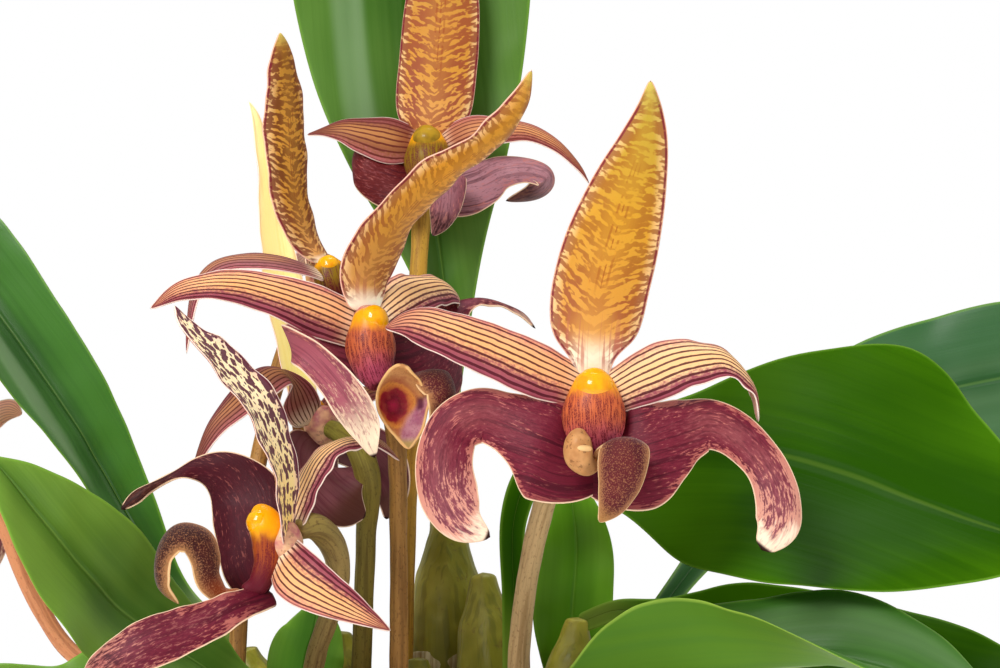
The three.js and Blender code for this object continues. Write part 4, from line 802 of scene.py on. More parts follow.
@dataclass(frozen=True)
class BarkFinish(Finish):
    """Fir bark: layered red-brown plates with a grey weathered skin."""

    def build(self, r: Recipe) -> bpy.types.Material:
        """Write the recipe and close it."""
        tone = r.number("tone")
        layers = r.noise(r.spread(r.place(), (90.0, 90.0, 420.0)), 1.0, 4.0, 0.65, 0.4)
        rough = r.noise(r.place(), 340.0, 5.0, 0.7)
        colour = r.mix(tone, "5A3820", "9A6A42")
        colour = r.layers(
            colour, (layers.rise(0.42, 0.62) * 0.7, "3A2416"), (rough.rise(0.55, 0.7) * 0.45, "8C7C68"),
        )
        normal = r.bump(layers * 0.6 + rough * 0.4, 0.9, 0.0012)
        return r.close(colour, 0.9, normal, {"Specular IOR Level": 0.2})


@dataclass(frozen=True)
class ClayFinish(Finish):
    """Unglazed clay: matt orange-brown with pale lime bloom, darker towards its foot."""

    def build(self, r: Recipe) -> bpy.types.Material:
        """Write the recipe and close it."""
        height = r.number("height")
        broad = r.noise(r.place(), 26.0, 4.0, 0.6)
        fine = r.noise(r.place(), 700.0, 4.0, 0.7)
        rings = r.noise(r.spread(r.place(), (3.0, 3.0, 520.0)), 1.0, 2.0)
        colour = r.mix(broad.rise(0.35, 0.7), "B4623C", "C98058")
        colour = r.mix(fine.rise(0.5, 0.7) * 0.25, colour, "8E4628")
        lime = (broad * 0.6 + fine * 0.4).rise(0.54, 0.66) * height.rise(0.2, 0.9)
        colour = r.layers(colour, (lime * 0.4, "E4C9B4"), (height.rise(0.35, 0.0) * 0.45, "7E4228"))
        normal = r.bump(rings * 0.5 + fine * 0.5, 0.5, 0.0005)
        return r.close(colour, 0.85 - 0.1 * fine, normal, {"Specular IOR Level": 0.2})


@dataclass(frozen=True)
class FloorFinish(Finish):
    """A plain pale floor."""

    def build(self, r: Recipe) -> bpy.types.Material:
        """Write the recipe and close it."""
        tone = r.noise(r.place(), 1.2, 2.0)
        colour = r.mix(tone, "FBFBFA", "F6F6F5")
        return r.close(colour, 0.9, None, {"Specular IOR Level": 0.1, "Emission Color": (1.0, 1.0, 1.0, 1.0),
                                           "Emission Strength": 0.4})


# ------------------------------------------------------------------ organs by their stations


@dataclass(frozen=True)
class BloomForm:
    """A bloom's organs by their stations, in millimetres from the middle of the column.

    A blade's station is its midrib point, the direction that its face looks, the half width to
    either side, the angle by which it arches back at the margins and, on a leaf, the angle by
    which both halves fold up. A stalk's station is a centre and a radius. x runs to the viewer's
    right and y to the back.

    Args:
        hub: Centre and radius of the receptacle.
        dorsal: The upper sepal.
        petals: Both petals.
        laterals: Both lateral sepals.
        lip: The lip.
        column: The column.
        heel: The rounded lobe behind the lip's foot.
        hood: The hollow front of a lip that faces the viewer.
    """

    hub: Row
    dorsal: Rows
    petals: Sequence[Rows]
    laterals: Sequence[Rows]
    lip: Rows
    column: Rows
    heel: Rows = ()
    hood: Rows = ()


FRONT_BLOOM = BloomForm(
    hub=[0, 4.5, 1, 4.5],
    dorsal=[
        [-0.1, 4, 2.5, 0, -1, 0.2, 2.8, 2.8, 0.1], [-0.2, 2.6, 8, 0, -1, 0.1, 4.6, 4.6, 0.2],
        [0, 3, 12.8, 0, -1, 0.1, 8.4, 8.4, 0.35], [0.6, 3.6, 17.5, 0, -1, 0.1, 9.9, 9.9, 0.45],
        [1.8, 4.3, 24, 0, -1, 0.1, 10.3, 10.3, 0.5], [4, 4.9, 32, 0, -1, 0.05, 10, 10, 0.5],
        [7.1, 5, 42, 0, -1, 0, 8.2, 8.2, 0.45], [9.9, 4.2, 51, 0, -1, -0.1, 5.6, 5.6, 0.4],
        [11.2, 3, 58, 0, -1, -0.2, 3, 3, 0.35], [11.4, 2, 64.4, 0, -1, -0.3, 0.3, 0.3, 0.3],
    ],
    petals=[
        [
            [-1.8, 3, 2, 0, -1, 0.3, 4.2, 4.2, 0.2], [-11.8, -0.5, 6.4, 0, -1, 0.3, 5.9, 5.9, 0.35],
            [-20, -2, 10.1, 0, -1, 0.3, 5.7, 5.7, 0.5], [-28, -3, 13.2, 0, -1, 0.35, 5.2, 5.2, 0.5],
            [-36, -2.5, 15.6, 0, -1, 0.5, 4, 4, 0.6], [-41.8, -1.5, 14.4, -0.3, -1, 0.6, 0.4, 0.4, 0.5],
        ],
        [
            [2.2, 3, 0.6, 0, -1, 0.3, 4.2, 4.2, 0.2], [12.2, -0.5, 5.6, 0, -1, 0.3, 6.2, 6, 0.35],
            [19.6, -1, 8.1, 0.1, -1, 0.5, 5.6, 5.4, 0.45], [26.8, 1, 7.8, 0.5, -0.7, 0.9, 4.6, 4.4, 0.4],
            [31.8, 3, 2.7, 1, -0.1, 0.5, 3.5, 3.4, 0.4], [33.2, 3, -4.6, 1, 0.3, 0.1, 0.4, 0.4, 0.3],
        ],
    ],
    laterals=[
        [
            [0.4, 2.6, -8.5, 0, -1, 0.4, 8.5, 8, 0.1], [-5, -1.2, -9, 0, -1, 0.4, 12, 9.5, 0.25],
            [-9.5, -2.6, -7.2, 0, -1, 0.35, 13.2, 9, 0.35], [-14.2, -2, -5.5, 0, -1, 0.3, 8.2, 8, 0.4],
            [-18.6, -0.6, -4, 0, -1, 0.25, 6, 6.4, 0.4], [-23, 0, -3, 0, -1, 0.2, 5.8, 6.2, 0.5],
            [-28, -1, -5.6, 0, -1, 0.1, 5.8, 5.6, 0.5], [-30.1, -3, -12, 0, -1, 0, 6.2, 5.8, 0.45],
            [-29.3, -4.5, -19, -0.1, -1, 0, 6.4, 5.9, 0.4], [-26, -5, -24.4, 0, -1, 0.1, 4.8, 4.2, 0.3],
            [-20.6, -4.5, -27.2, 0, -1, 0.1, 0.6, 0.6, 0.2],
        ],
        [
            [-0.4, 2.6, -8.5, 0, -1, 0.4, 8, 8.5, 0.1], [5, -1.2, -9.5, 0, -1, 0.4, 9.5, 12.4, 0.25],
            [10, -2.6, -8.6, 0, -1, 0.35, 9.5, 13.2, 0.35], [15, -2, -7.2, 0, -1, 0.3, 8.4, 9.3, 0.4],
            [19.4, -0.6, -5.8, 0, -1, 0.25, 7.2, 6.1, 0.4], [23.4, 0, -4.9, 0, -1, 0.2, 5.6, 5.3, 0.5],
            [28.6, -1, -7.2, 0, -1, 0.1, 5, 4.7, 0.5], [34, -3, -12.8, 0.1, -1, 0, 4.4, 4.4, 0.45],
            [36.4, -4.5, -19, 0.1, -1, 0, 4.7, 4.7, 0.4], [36.2, -5, -25, 0, -1, 0, 4.6, 4.5, 0.35],
            [33, -4.5, -29.8, 0, -1, 0.1, 1.6, 1.6, 0.2],
        ],
    ],
    lip=[
        [1, -3.2, -11.8, -0.2, 0.3, 0.9, 1.6, 1.6, 0.3], [2.2, -6.6, -10, 0, 0.3, 0.9, 2.6, 2.6, 0.4],
        [4.4, -9.8, -7.6, 0, -0.2, 0.95, 4.6, 4.2, 0.6], [5.1, -12.4, -8.4, 0, -0.7, 0.7, 5.9, 4.9, 0.7],
        [5, -14, -12.2, 0, -1, 0, 5.8, 5.2, 0.8], [4.4, -14, -16.6, 0, -1, -0.1, 4.9, 4.5, 0.8],
        [3, -13, -20.4, 0, -1, -0.3, 3.2, 3.1, 0.7], [0.6, -11.6, -23.8, -0.3, -1, -0.4, 0.4, 0.4, 0.5],
    ],
    column=[
        [0, 0.6, 5.9, 1], [0, 0.4, 5, 3.2], [0, 0, 2.8, 4.6], [0, -0.7, -0.6, 6], [0, -1.2, -3.6, 6.5],
        [0.3, -1.8, -7, 5.8], [0.8, -2.2, -10, 3.8], [1.2, -2.5, -12.6, 1.8],
    ],
    heel=[
        [0.6, -4, -12.4, 1.2], [-1.4, -7, -13, 1.9], [-3, -9, -11.4, 2.8], [-3.4, -9.4, -9.2, 2.9],
        [-3.2, -9, -7, 2.3], [-2.8, -8.6, -5.4, 0.6],
    ],
)

# The bloom at the very back: its petals droop and its lateral sepals curl under.
BACK_BLOOM = replace(
    FRONT_BLOOM,
    dorsal=[
        [-0.1, 4, 2.5, 0, -1, 0.2, 4, 4, 0.1], [0.8, 2.6, 7, 0, -1, 0.1, 8.6, 8.6, 0.2],
        [2, 3, 12.8, 0, -1, 0.1, 10.7, 10.7, 0.35], [3.4, 4, 22, 0, -1, 0.1, 11.1, 11.1, 0.45],
        [4.8, 4.9, 32, 0, -1, 0.05, 11.1, 11.1, 0.5], [6.1, 5, 42, 0, -1, 0, 10.1, 10.1, 0.45],
        [7.3, 4.2, 51, 0, -1, -0.1, 7, 7, 0.4], [8.1, 3, 58, 0, -1, -0.2, 3.6, 3.6, 0.35],
        [8.5, 2, 63.4, 0, -1, -0.3, 0.3, 0.3, 0.3],
    ],
    petals=[
        [
            [-1.8, 3, 2, 0, -1, 0.3, 5, 4.2, 0.2], [-9.6, -0.5, 4.2, 0, -1, 0.3, 7.6, 5.9, 0.35],
            [-16.4, -2, 6, 0, -1, 0.4, 6.4, 5, 0.5], [-22, -2, 7.2, 0, -1, 0.5, 4.2, 3.6, 0.5],
            [-27.4, -1, 7, -0.2, -1, 0.5, 1.6, 1.4, 0.5], [-32, 0, 6.4, -0.3, -1, 0.6, 0.4, 0.4, 0.5],
        ],
        [
            [2.2, 3, 0.6, 0, -1, 0.3, 4.2, 4.2, 0.2], [11, -0.5, 4, 0, -1, 0.4, 5.2, 5.2, 0.35],
            [19, -1, 4.2, 0.1, -1, 0.6, 4.6, 4.6, 0.45], [27, 0, 3, 0.2, -0.9, 0.7, 3.4, 3.4, 0.4],
            [34, 1, -1, 0.5, -0.7, 0.6, 2.6, 2.6, 0.4], [39, 2.4, -6.6, 0.8, -0.5, 0.4, 1.8, 1.8, 0.35],
            [42, 3, -12, 1, -0.3, 0.1, 0.4, 0.4, 0.3],
        ],
    ],
    laterals=[
        [
            [0.4, 2.6, -6.6, 0, -1, 0.4, 6, 5, 0.1], [-7, -1.6, -7.6, 0, -1, 0.4, 8, 8.4, 0.25],
            [-12, -3, -6, -0.2, -1, 0.35, 8.2, 8.4, 0.35], [-17.4, -3, -3, -0.5, -0.8, 0.3, 6, 6.2, 0.5],
            [-20, 2, 0.4, -0.9, -0.2, 0.3, 4, 4, 0.5], [-17, 6.5, 2.4, -0.5, 0.6, 0.6, 3, 3, 0.4],
            [-12, 8, 2.4, 0, 0.9, 0.3, 0.4, 0.4, 0.3],
        ],
        [
            [-0.4, 2.6, -7.6, 0, -1, 0.4, 5, 6, 0.1], [7, -1.6, -10.4, 0, -1, 0.4, 8, 8.6, 0.25],
            [13, -2.5, -9.6, 0, -1, 0.35, 7, 7.4, 0.35], [19, -0.5, -7, 0, -1, 0.25, 5, 5, 0.4],
            [26, 0, -6.8, 0.1, -0.9, 0.4, 4, 4, 0.5], [31, 1, -9.4, 0.8, -0.6, 0.1, 4.2, 4.2, 0.4],
            [27.6, 3, -13, 0.4, -0.6, -0.8, 4.2, 4.2, 0.35], [19, 4, -14.6, 0, -0.6, -0.8, 0.4, 0.4, 0.2],
        ],
    ],
)

# A bloom turned about 45 degrees to the viewer's right, its dorsal sepal leaning forward.
TURNED_BLOOM = BloomForm(
    hub=[0, 1.5, 0.5, 4.8],
    dorsal=[
        [-1, 1.5, 3.4, 0.6, -0.8, 0, 3, 3.8, 0.1], [-1.1, 2, 11, 0.68, -0.68, -0.2, 6.4, 8.4, 0.25],
        [2.2, 2, 17, 0.72, -0.55, -0.4, 8, 9.8, 0.3], [8, 2, 24.8, 0.72, -0.45, -0.52, 8.2, 9.2, 0.35],
        [14.6, 2, 31.2, 0.72, -0.45, -0.52, 7.4, 7.6, 0.35],
        [21.2, 1.8, 36, 0.72, -0.45, -0.52, 6, 6.2, 0.35],
        [26.6, 1.2, 40.4, 0.68, -0.5, -0.52, 5.2, 5.2, 0.35],
        [30.6, 0.4, 45.6, 0.6, -0.6, -0.4, 3.9, 3.9, 0.35],
        [33.7, -0.5, 53.8, 0.6, -0.7, -0.3, 0.3, 0.3, 0.3],
    ],
    petals=[
        [
            [-1.4, 2, 0.2, 0, -1, 0.3, 4.6, 4.6, 0.2], [-9.7, -1.4, 3.9, 0, -1, 0.3, 5.6, 5.6, 0.35],
            [-16.8, -3.6, 6.7, 0, -1, 0.3, 4.9, 4.9, 0.4], [-23.8, -5.2, 8.7, 0, -1, 0.3, 4.1, 4.1, 0.45],
            [-30.8, -6, 9.3, 0, -1, 0.3, 3.3, 3.3, 0.45], [-38, -5.5, 8.1, 0, -1, 0.35, 2.3, 2.3, 0.4],
            [-44.5, -4, 4.3, 0, -1, 0.3, 0.3, 0.3, 0.3],
        ],
        [
            [1.2, 2.6, 2.2, 0.2, -0.9, 0.4, 4, 4, 0.2], [7.2, 11, 7.3, 0.4, -0.7, 0.5, 5.4, 5.4, 0.3],
            [12.2, 21, 9.4, 0.5, -0.5, 0.7, 5.2, 5.2, 0.4], [15.9, 30, 9.1, 0.7, -0.2, 0.7, 4.4, 4.4, 0.4],
            [18, 37, 6.6, 0.9, 0.2, 0.3, 2.6, 2.6, 0.4], [18.6, 40, 2.7, 0.9, 0.3, 0, 0.4, 0.4, 0.3],
        ],
    ],
    laterals=[
        [
            [0.6, 1.2, -7, -0.1, -0.9, 0.3, 4, 5, 0.1], [-5.3, 1, -4.6, -0.2, -0.9, 0.3, 4.4, 6.5, 0.2],
            [-10.6, -1, -2.4, -0.1, -0.9, 0.3, 4.2, 6, 0.3], [-14.2, -6, -2.2, 0.5, -0.6, 0.4, 4.4, 4.4, 0.3],
            [-14.8, -11.5, -2.6, 0.9, 0.3, 0.3, 4, 4, 0.3],
            [-11.2, -14.6, -5.5, 0.5, 0.8, -0.3, 3, 3.8, 0.35],
            [-6.6, -15.4, -10.2, 0.3, 0.95, -0.2, 3.3, 4.3, 0.4],
            [-3.2, -15.2, -14.6, 0.2, 0.95, -0.1, 3.7, 4.6, 0.4],
            [-0.4, -14.4, -19.6, 0.2, 0.95, -0.1, 3.1, 3.8, 0.4],
            [1.9, -13, -25.9, 0.2, 0.95, -0.1, 0.4, 0.4, 0.3],
        ],
        [
            [1.6, 1.2, -8, 0.3, -0.9, 0.3, 5, 5, 0.1], [8.8, 8, -7.3, 0.45, -0.85, 0.3, 9, 9.4, 0.2],
            [13.2, 17, -4.6, 0.5, -0.85, 0.2, 8, 11.4, 0.3], [15.5, 26, 0, 0.5, -0.85, 0.1, 5.2, 8, 0.35],
            [17.4, 33, 4.6, 0.2, -0.6, 0.7, 3.4, 3.6, 0.4], [21.4, 38, 6.4, 0, -0.3, 1, 2.6, 2.6, 0.4],
            [26.9, 41, 6, 0.1, -0.2, 1, 2.4, 2.4, 0.4], [31.5, 42, 3.8, 0.4, -0.2, 0.9, 2, 2, 0.4],
            [35, 42, 0.3, 0.7, -0.2, 0.6, 0.4, 0.4, 0.3],
        ],
    ],
    lip=[
        [3.4, -5.5, -11.8, -0.1, -0.2, 0.9, 1.2, 1.2, 0.3], [7, -5, -10.5, -0.1, -0.2, 0.9, 1.4, 1.4, 0.4],
        [10.5, -6, -9.2, 0, -0.4, 0.9, 2.4, 2.4, 0.6], [13.8, -10.4, -8.8, 0.3, -0.6, 0.7, 5, 5, 0.8],
        [16.4, -11.4, -11.6, 0.8, -0.6, 0.2, 5.2, 5.2, 0.9],
        [16.6, -11.4, -15.6, 0.85, -0.5, -0.1, 4.8, 4.8, 0.9],
        [15, -10.6, -19.4, 0.8, -0.5, -0.3, 3.2, 3.2, 0.8],
        [12.4, -9.6, -22.4, 0.7, -0.5, -0.5, 0.4, 0.4, 0.5],
    ],
    column=[
        [0.9, -2, 4.3, 0.8], [0.7, -2.5, 3.3, 3], [0.5, -3, 1.2, 4.1], [0.6, -4, -3.1, 5.2],
        [1.5, -6, -7.7, 4.3], [3.2, -8, -11.8, 2.2],
    ],
    hood=[
        [7.6, -13.6, -6.9, 0, -1, 0.5, 1.2, 1.2, -0.6], [7.4, -11.6, -8.8, 0.05, -1, 0.5, 4.6, 4.6, -1],
        [7.2, -9.6, -12, 0.05, -1, 0.1, 6.8, 6.8, -1.2], [7.6, -9.4, -16.2, 0.05, -1, 0, 6.8, 6.8, -1.2],
        [8.4, -10.8, -20.6, 0.05, -1, -0.1, 4.2, 4.2, -1], [8.7, -12.4, -24.1, 0, -1, -0.2, 0.5, 0.5, -0.6],
    ],
)

# A bloom in side view, facing left and rolled a little towards the viewer.
SIDE_BLOOM = BloomForm(
    hub=[4, 0.5, 3.5, 4.4],
    dorsal=[
        [4.6, 0, 3, -0.9, 0.3, 0, 2.6, 2.6, 0.1], [3.9, -2, 11.1, -0.97, 0.2, 0, 6.6, 6.6, 0.3],
        [2.4, -3, 20.1, -0.95, 0.25, -0.1, 8.4, 8.4, 0.4], [-1.2, -5, 29.7, -0.92, 0.3, -0.35, 9.2, 9.2, 0.4],
        [-6.2, -7, 36.9, -0.8, 0.35, -0.6, 8, 8, 0.4], [-11.6, -8.5, 42.8, -0.7, 0.35, -0.7, 5.6, 5.6, 0.4],
        [-15.4, -8, 47.4, -0.7, 0.35, -0.7, 3, 3, 0.4], [-17.4, -7, 50.9, -0.8, 0.35, -0.5, 0.3, 0.3, 0.3],
    ],
    petals=[
        [
            [3.2, -1, 1.4, -0.3, -0.95, 0.1, 4.4, 4.4, 0.2],
            [6.8, -7.5, -2.3, -0.15, -0.95, 0.25, 5.6, 5.6, 0.35],
            [12, -10, -5.5, -0.1, -0.95, 0.25, 4.8, 4.8, 0.4],
            [17.9, -10, -8.7, -0.05, -0.95, 0.25, 3.2, 3.2, 0.4],
            [25.5, -8, -13.4, 0, -0.95, 0.25, 0.3, 0.3, 0.3],
        ],
        [
            [4.2, 3.4, 5.4, -0.5, -0.4, 0.8, 4, 4, 0.2], [6.9, 11, 14.2, -0.5, -0.4, 0.8, 5, 5, 0.2],
            [10.5, 15, 20.2, -0.3, -0.25, 0.9, 5.2, 5.2, 0.3],
            [15.5, 17, 23.2, 0, -0.25, 0.95, 4.4, 4.4, 0.4],
            [21.5, 17, 23, 0.2, -0.25, 0.95, 2.8, 2.8, 0.4], [26.4, 17, 19.1, 0.5, -0.25, 0.8, 0.3, 0.3, 0.3],
        ],
    ],
    laterals=[
        [
            [1.6, 0.4, -6.6, -0.1, -0.9, 0.4, 3, 3, 0.1], [-4.8, -7, -8.4, -0.1, -0.9, 0.4, 3.6, 3.6, 0.2],
            [-9.8, -10, -10.7, -0.1, -0.9, 0.4, 4.4, 4.4, 0.3],
            [-15.1, -12.5, -12.6, -0.1, -0.9, 0.3, 5, 5, 0.35],
            [-20.5, -14.5, -14.5, -0.1, -0.95, 0.3, 5.4, 5.4, 0.4],
            [-26.2, -16, -17.3, -0.1, -0.95, 0.3, 4.8, 4.8, 0.4],
            [-31.3, -16, -20.6, 0, -0.95, 0.3, 3.4, 3.4, 0.4],
            [-35.3, -15, -23.8, 0, -0.95, 0.3, 0.4, 0.4, 0.3],
        ],
        [
            [0.8, 0.6, -6.4, -0.1, -0.95, 0.2, 3, 3, 0.1], [-4, 6, -3, -0.2, -0.95, 0.1, 5, 6.6, 0.2],
            [-5.9, 13, 4.7, -0.2, -0.95, 0.1, 6, 10, 0.25], [-7.1, 17, 10.6, -0.15, -0.95, 0.1, 6.2, 10, 0.3],
            [-10.7, 18.5, 15.1, -0.1, -0.95, 0.1, 4, 7, 0.35],
            [-15.2, 18, 16.8, -0.1, -0.95, 0.1, 2, 3.4, 0.4],
            [-20.4, 16.5, 16, -0.1, -0.8, 0.5, 1, 1, 0.4], [-24.8, 15, 13.8, -0.1, -0.9, 0.3, 1.1, 1.1, 0.4],
            [-27.8, 14.5, 11.6, -0.1, -0.9, 0.3, 1.5, 1.5, 0.4],
            [-30.6, 14, 9.2, 0, -0.95, 0.2, 0.4, 0.4, 0.3],
        ],
    ],
    lip=[
        [-4.2, -1.5, -6.4, 0.3, -0.5, 0.8, 1.6, 1.6, 0.5], [-7.8, -3, -6.6, 0.1, -0.8, 0.6, 2.2, 2.2, 0.6],
        [-10.4, -4.6, -3.8, 0.5, -1, 0.2, 3, 3, 0.6], [-11.6, -6, 0.4, 0.3, -1, 0.2, 2.8, 4.2, 0.7],
        [-13.6, -6.6, 4.4, 0, -0.8, 0.6, 3.2, 5, 0.8], [-17.4, -6.6, 4.8, -0.5, -0.8, 0.6, 3.2, 5.2, 0.8],
        [-20.2, -6, 1, -0.9, -0.6, 0.2, 3.2, 5, 0.8], [-20.2, -5.4, -4.4, -0.9, -0.4, -0.4, 3, 3.6, 0.8],
        [-16.6, -5, -8.5, -0.4, -0.3, -0.9, 0.4, 0.4, 0.6],
    ],
    column=[
        [-2.7, 1, 9.9, 0.8], [-1.2, 0.5, 9.2, 2.6], [0.4, 0, 6.6, 3.7], [0.6, -0.5, 3, 3.2],
        [0.5, -1, -1.1, 2.8], [-1.3, -1.5, -4.7, 2.3], [-4.4, -1.5, -6.5, 1.4],
    ],
)

# A bloom facing right, behind the turned one.
PROFILE_BLOOM = BloomForm(
    hub=[-2.2, 2, -1, 4],
    dorsal=[
        [-1.3, 0, 1.7, 0.8, -0.6, 0.1, 2.6, 2.6, 0.1], [-5.7, 1.6, 8.4, 0.8, -0.57, 0.1, 5.8, 5.8, 0.35],
        [-8.2, 3, 19.7, 0.8, -0.57, 0.1, 7, 7, 0.4], [-9, 3.2, 31, 0.8, -0.57, 0.1, 7.3, 7.3, 0.4],
        [-9.4, 2.6, 41, 0.8, -0.57, 0.1, 5.8, 5.8, 0.4], [-10.2, 1.6, 47.5, 0.8, -0.6, 0.1, 3.4, 3.4, 0.35],
        [-10.9, 1, 51.6, 0.8, -0.6, 0.1, 0.3, 0.3, 0.3],
    ],
    petals=[
        [
            [-1.5, -1, -0.4, -0.2, -0.6, 0.8, 3.8, 3.8, 0.2], [-8.6, -6, 2, 0, -0.4, 0.9, 5, 5, 0.3],
            [-16.4, -9, 2.8, 0, -0.4, 0.9, 4.6, 4.6, 0.4], [-23.9, -10, 1.1, -0.4, -0.4, 0.8, 4, 4, 0.4],
            [-28.3, -10, -5.3, -0.9, -0.4, 0.3, 3, 3, 0.4], [-29.9, -9, -17.9, -0.9, -0.4, 0, 0.3, 0.3, 0.3],
        ],
        [
            [-1.8, 3.4, 0.6, 0.2, -0.4, 0.9, 3.6, 3.6, 0.2], [-2.2, 14, 4.2, 0.3, 0, 0.95, 5, 5, 0.3],
            [-6.2, 23, 4, 0, 0.2, 0.95, 4.4, 4.4, 0.4], [-10.2, 30, 0.6, -0.3, 0.5, 0.8, 3.2, 3.2, 0.4],
            [-12.3, 34, -5.2, -0.4, 0.9, 0.2, 0.3, 0.3, 0.3],
        ],
    ],
    laterals=[
        [
            [-0.8, 0.6, -4.4, 0.6, -0.6, 0.3, 3.6, 3.6, 0.1], [5.1, -7, -6.5, 0.6, -0.7, 0.3, 7.2, 7.2, 0.3],
            [8.2, -11, -11.6, 0.8, -0.5, 0.2, 6.6, 6.6, 0.4],
            [9.4, -10, -17.5, 0.8, -0.5, -0.1, 4.6, 4.6, 0.4],
            [7.2, -7, -23, 0.6, -0.5, -0.4, 0.4, 0.4, 0.3],
        ],
        [
            [-0.8, 1.2, -4.4, 0.7, -0.4, 0.3, 3.6, 3.6, 0.1], [5, 12, -5.4, 0.7, -0.4, 0.4, 7.5, 7.5, 0.3],
            [8.8, 16, -9.8, 0.9, -0.2, 0.3, 6.6, 6.6, 0.4], [10.5, 17, -15.9, 0.9, -0.1, -0.1, 4.6, 4.6, 0.4],
            [9.3, 14, -22.5, 0.6, -0.1, -0.6, 0.4, 0.4, 0.3],
        ],
    ],
    lip=[
        [1.6, 0.3, -6, 0.3, -0.3, 0.8, 1.5, 1.5, 0.4], [4.6, -0.7, -5, 0.3, -0.3, 0.9, 4, 4, 0.6],
        [7.8, -2, -6.4, 0.8, -0.5, 0.5, 5.6, 5.6, 0.7], [8.6, -2, -10.4, 0.9, -0.5, 0, 4.2, 4.2, 0.7],
        [7.2, -2, -14, 0.8, -0.4, -0.4, 0.4, 0.4, 0.5],
    ],
    column=[
        [-1.1, 1, 3, 0.8], [-0.9, 0.5, 2.2, 2.4], [-0.4, 0, 0.4, 3.4], [0.5, -0.5, -2.2, 3.8],
        [1.3, -0.5, -4.7, 2.6], [1.9, 0, -6.6, 1.4],
    ],
)

# A bloom seen from behind, its back to the viewer.
AWAY_BLOOM = BloomForm(
    hub=[0.8, -1.5, 0.5, 4.6],
    dorsal=[
        [-0.7, -2.6, 0.4, -0.8, 0.6, 0, 2.8, 2.8, 0.1], [-4.2, -0.4, 8, -0.88, 0.46, 0.1, 6.6, 6.6, 0.35],
        [-7.1, 2, 21.2, -0.88, 0.46, 0.1, 8.2, 8.2, 0.4], [-9.6, 3.2, 34.1, -0.88, 0.46, 0.1, 8.2, 8.2, 0.4],
        [-11, 3.8, 46, -0.88, 0.46, 0.1, 5.2, 5.2, 0.4], [-12.2, 3.6, 58, -0.85, 0.5, 0.1, 3, 3, 0.35],
        [-13.6, 3.2, 66.5, -0.8, 0.6, 0.1, 1.7, 1.7, 0.3], [-15.3, 3, 71, -0.8, 0.6, 0.1, 0.3, 0.3, 0.3],
    ],
    petals=[
        [
            [-1, -3.6, 0.6, -0.3, -0.5, 0.8, 4, 4, 0.2], [-6.6, -10, 12, -0.2, -0.5, 0.8, 5.6, 5.6, 0.3],
            [-13.2, -15, 8.6, -0.2, -0.6, 0.75, 5.2, 5.2, 0.4],
            [-19.4, -19, 2.4, -0.6, -0.6, 0.5, 4.2, 4.2, 0.4],
            [-22.9, -21, -3.6, -0.9, -0.5, 0.2, 2.8, 2.8, 0.4],
            [-25, -22, -9.6, -0.9, -0.5, 0, 0.3, 0.3, 0.3],
        ],
        [
            [1.8, 1.4, 1.4, 0.2, -0.2, 0.9, 4, 4, 0.2], [6.7, 13, 7.1, 0.3, 0, 0.9, 5, 5, 0.3],
            [12.1, 21, 7.8, 0.4, 0.1, 0.9, 4.4, 4.4, 0.4], [16.3, 27, 4.1, 0.8, 0.3, 0.5, 3, 3, 0.4],
            [18, 30, -2.3, 0.9, 0.4, 0, 0.3, 0.3, 0.3],
        ],
    ],
    laterals=[
        [
            [1.6, -0.6, -3.6, -0.4, 0.6, -0.5, 3.8, 3.8, 0.1], [-0.6, -10, -6.4, -0.55, 0.6, -0.5, 8, 8, 0.3],
            [2, -15, -11.7, -0.3, 0.7, -0.6, 8.6, 8.6, 0.4], [6.8, -17, -15.8, 0, 0.8, -0.6, 6.8, 6.8, 0.4],
            [11, -16, -18.2, 0.2, 0.8, -0.5, 0.6, 0.6, 0.3],
        ],
        [
            [1.2, -1.6, -3.6, -0.4, 0.7, -0.5, 3.8, 3.8, 0.1], [8.3, 6, -5.4, -0.2, 0.8, -0.5, 7.6, 7.6, 0.3],
            [13, 8.5, -9.9, 0.1, 0.9, -0.4, 7, 7, 0.4], [15.7, 7.5, -15.1, 0.3, 0.9, -0.2, 4.6, 4.6, 0.4],
            [14.5, 5, -20.2, 0.3, 0.9, 0, 0.4, 0.4, 0.3],
        ],
    ],
    lip=[
        [-2.4, 4.6, -4.2, -0.5, 0.5, 0.6, 1.6, 1.6, 0.4], [-4.6, 8.4, -3.4, -0.5, 0.5, 0.7, 4.4, 4.4, 0.6],
        [-7, 12.6, -5.6, -0.7, 0.7, 0.1, 6, 6, 0.7], [-6.8, 13.6, -10, -0.6, 0.7, -0.3, 4.2, 4.2, 0.7],
        [-5, 11.6, -13.2, -0.4, 0.6, -0.6, 0.4, 0.4, 0.5],
    ],
    column=[
        [-1, 1.6, 6.4, 0.8], [-1.2, 2.1, 5.3, 2.6], [-1.5, 2.6, 3.1, 3.6], [-1.8, 3.6, -0.2, 4],
        [-2.1, 4.6, -2.8, 3], [-2.3, 5.1, -5, 1.6],
    ],
)

# ------------------------------------------------------------------ leaves and bulbs by their stations


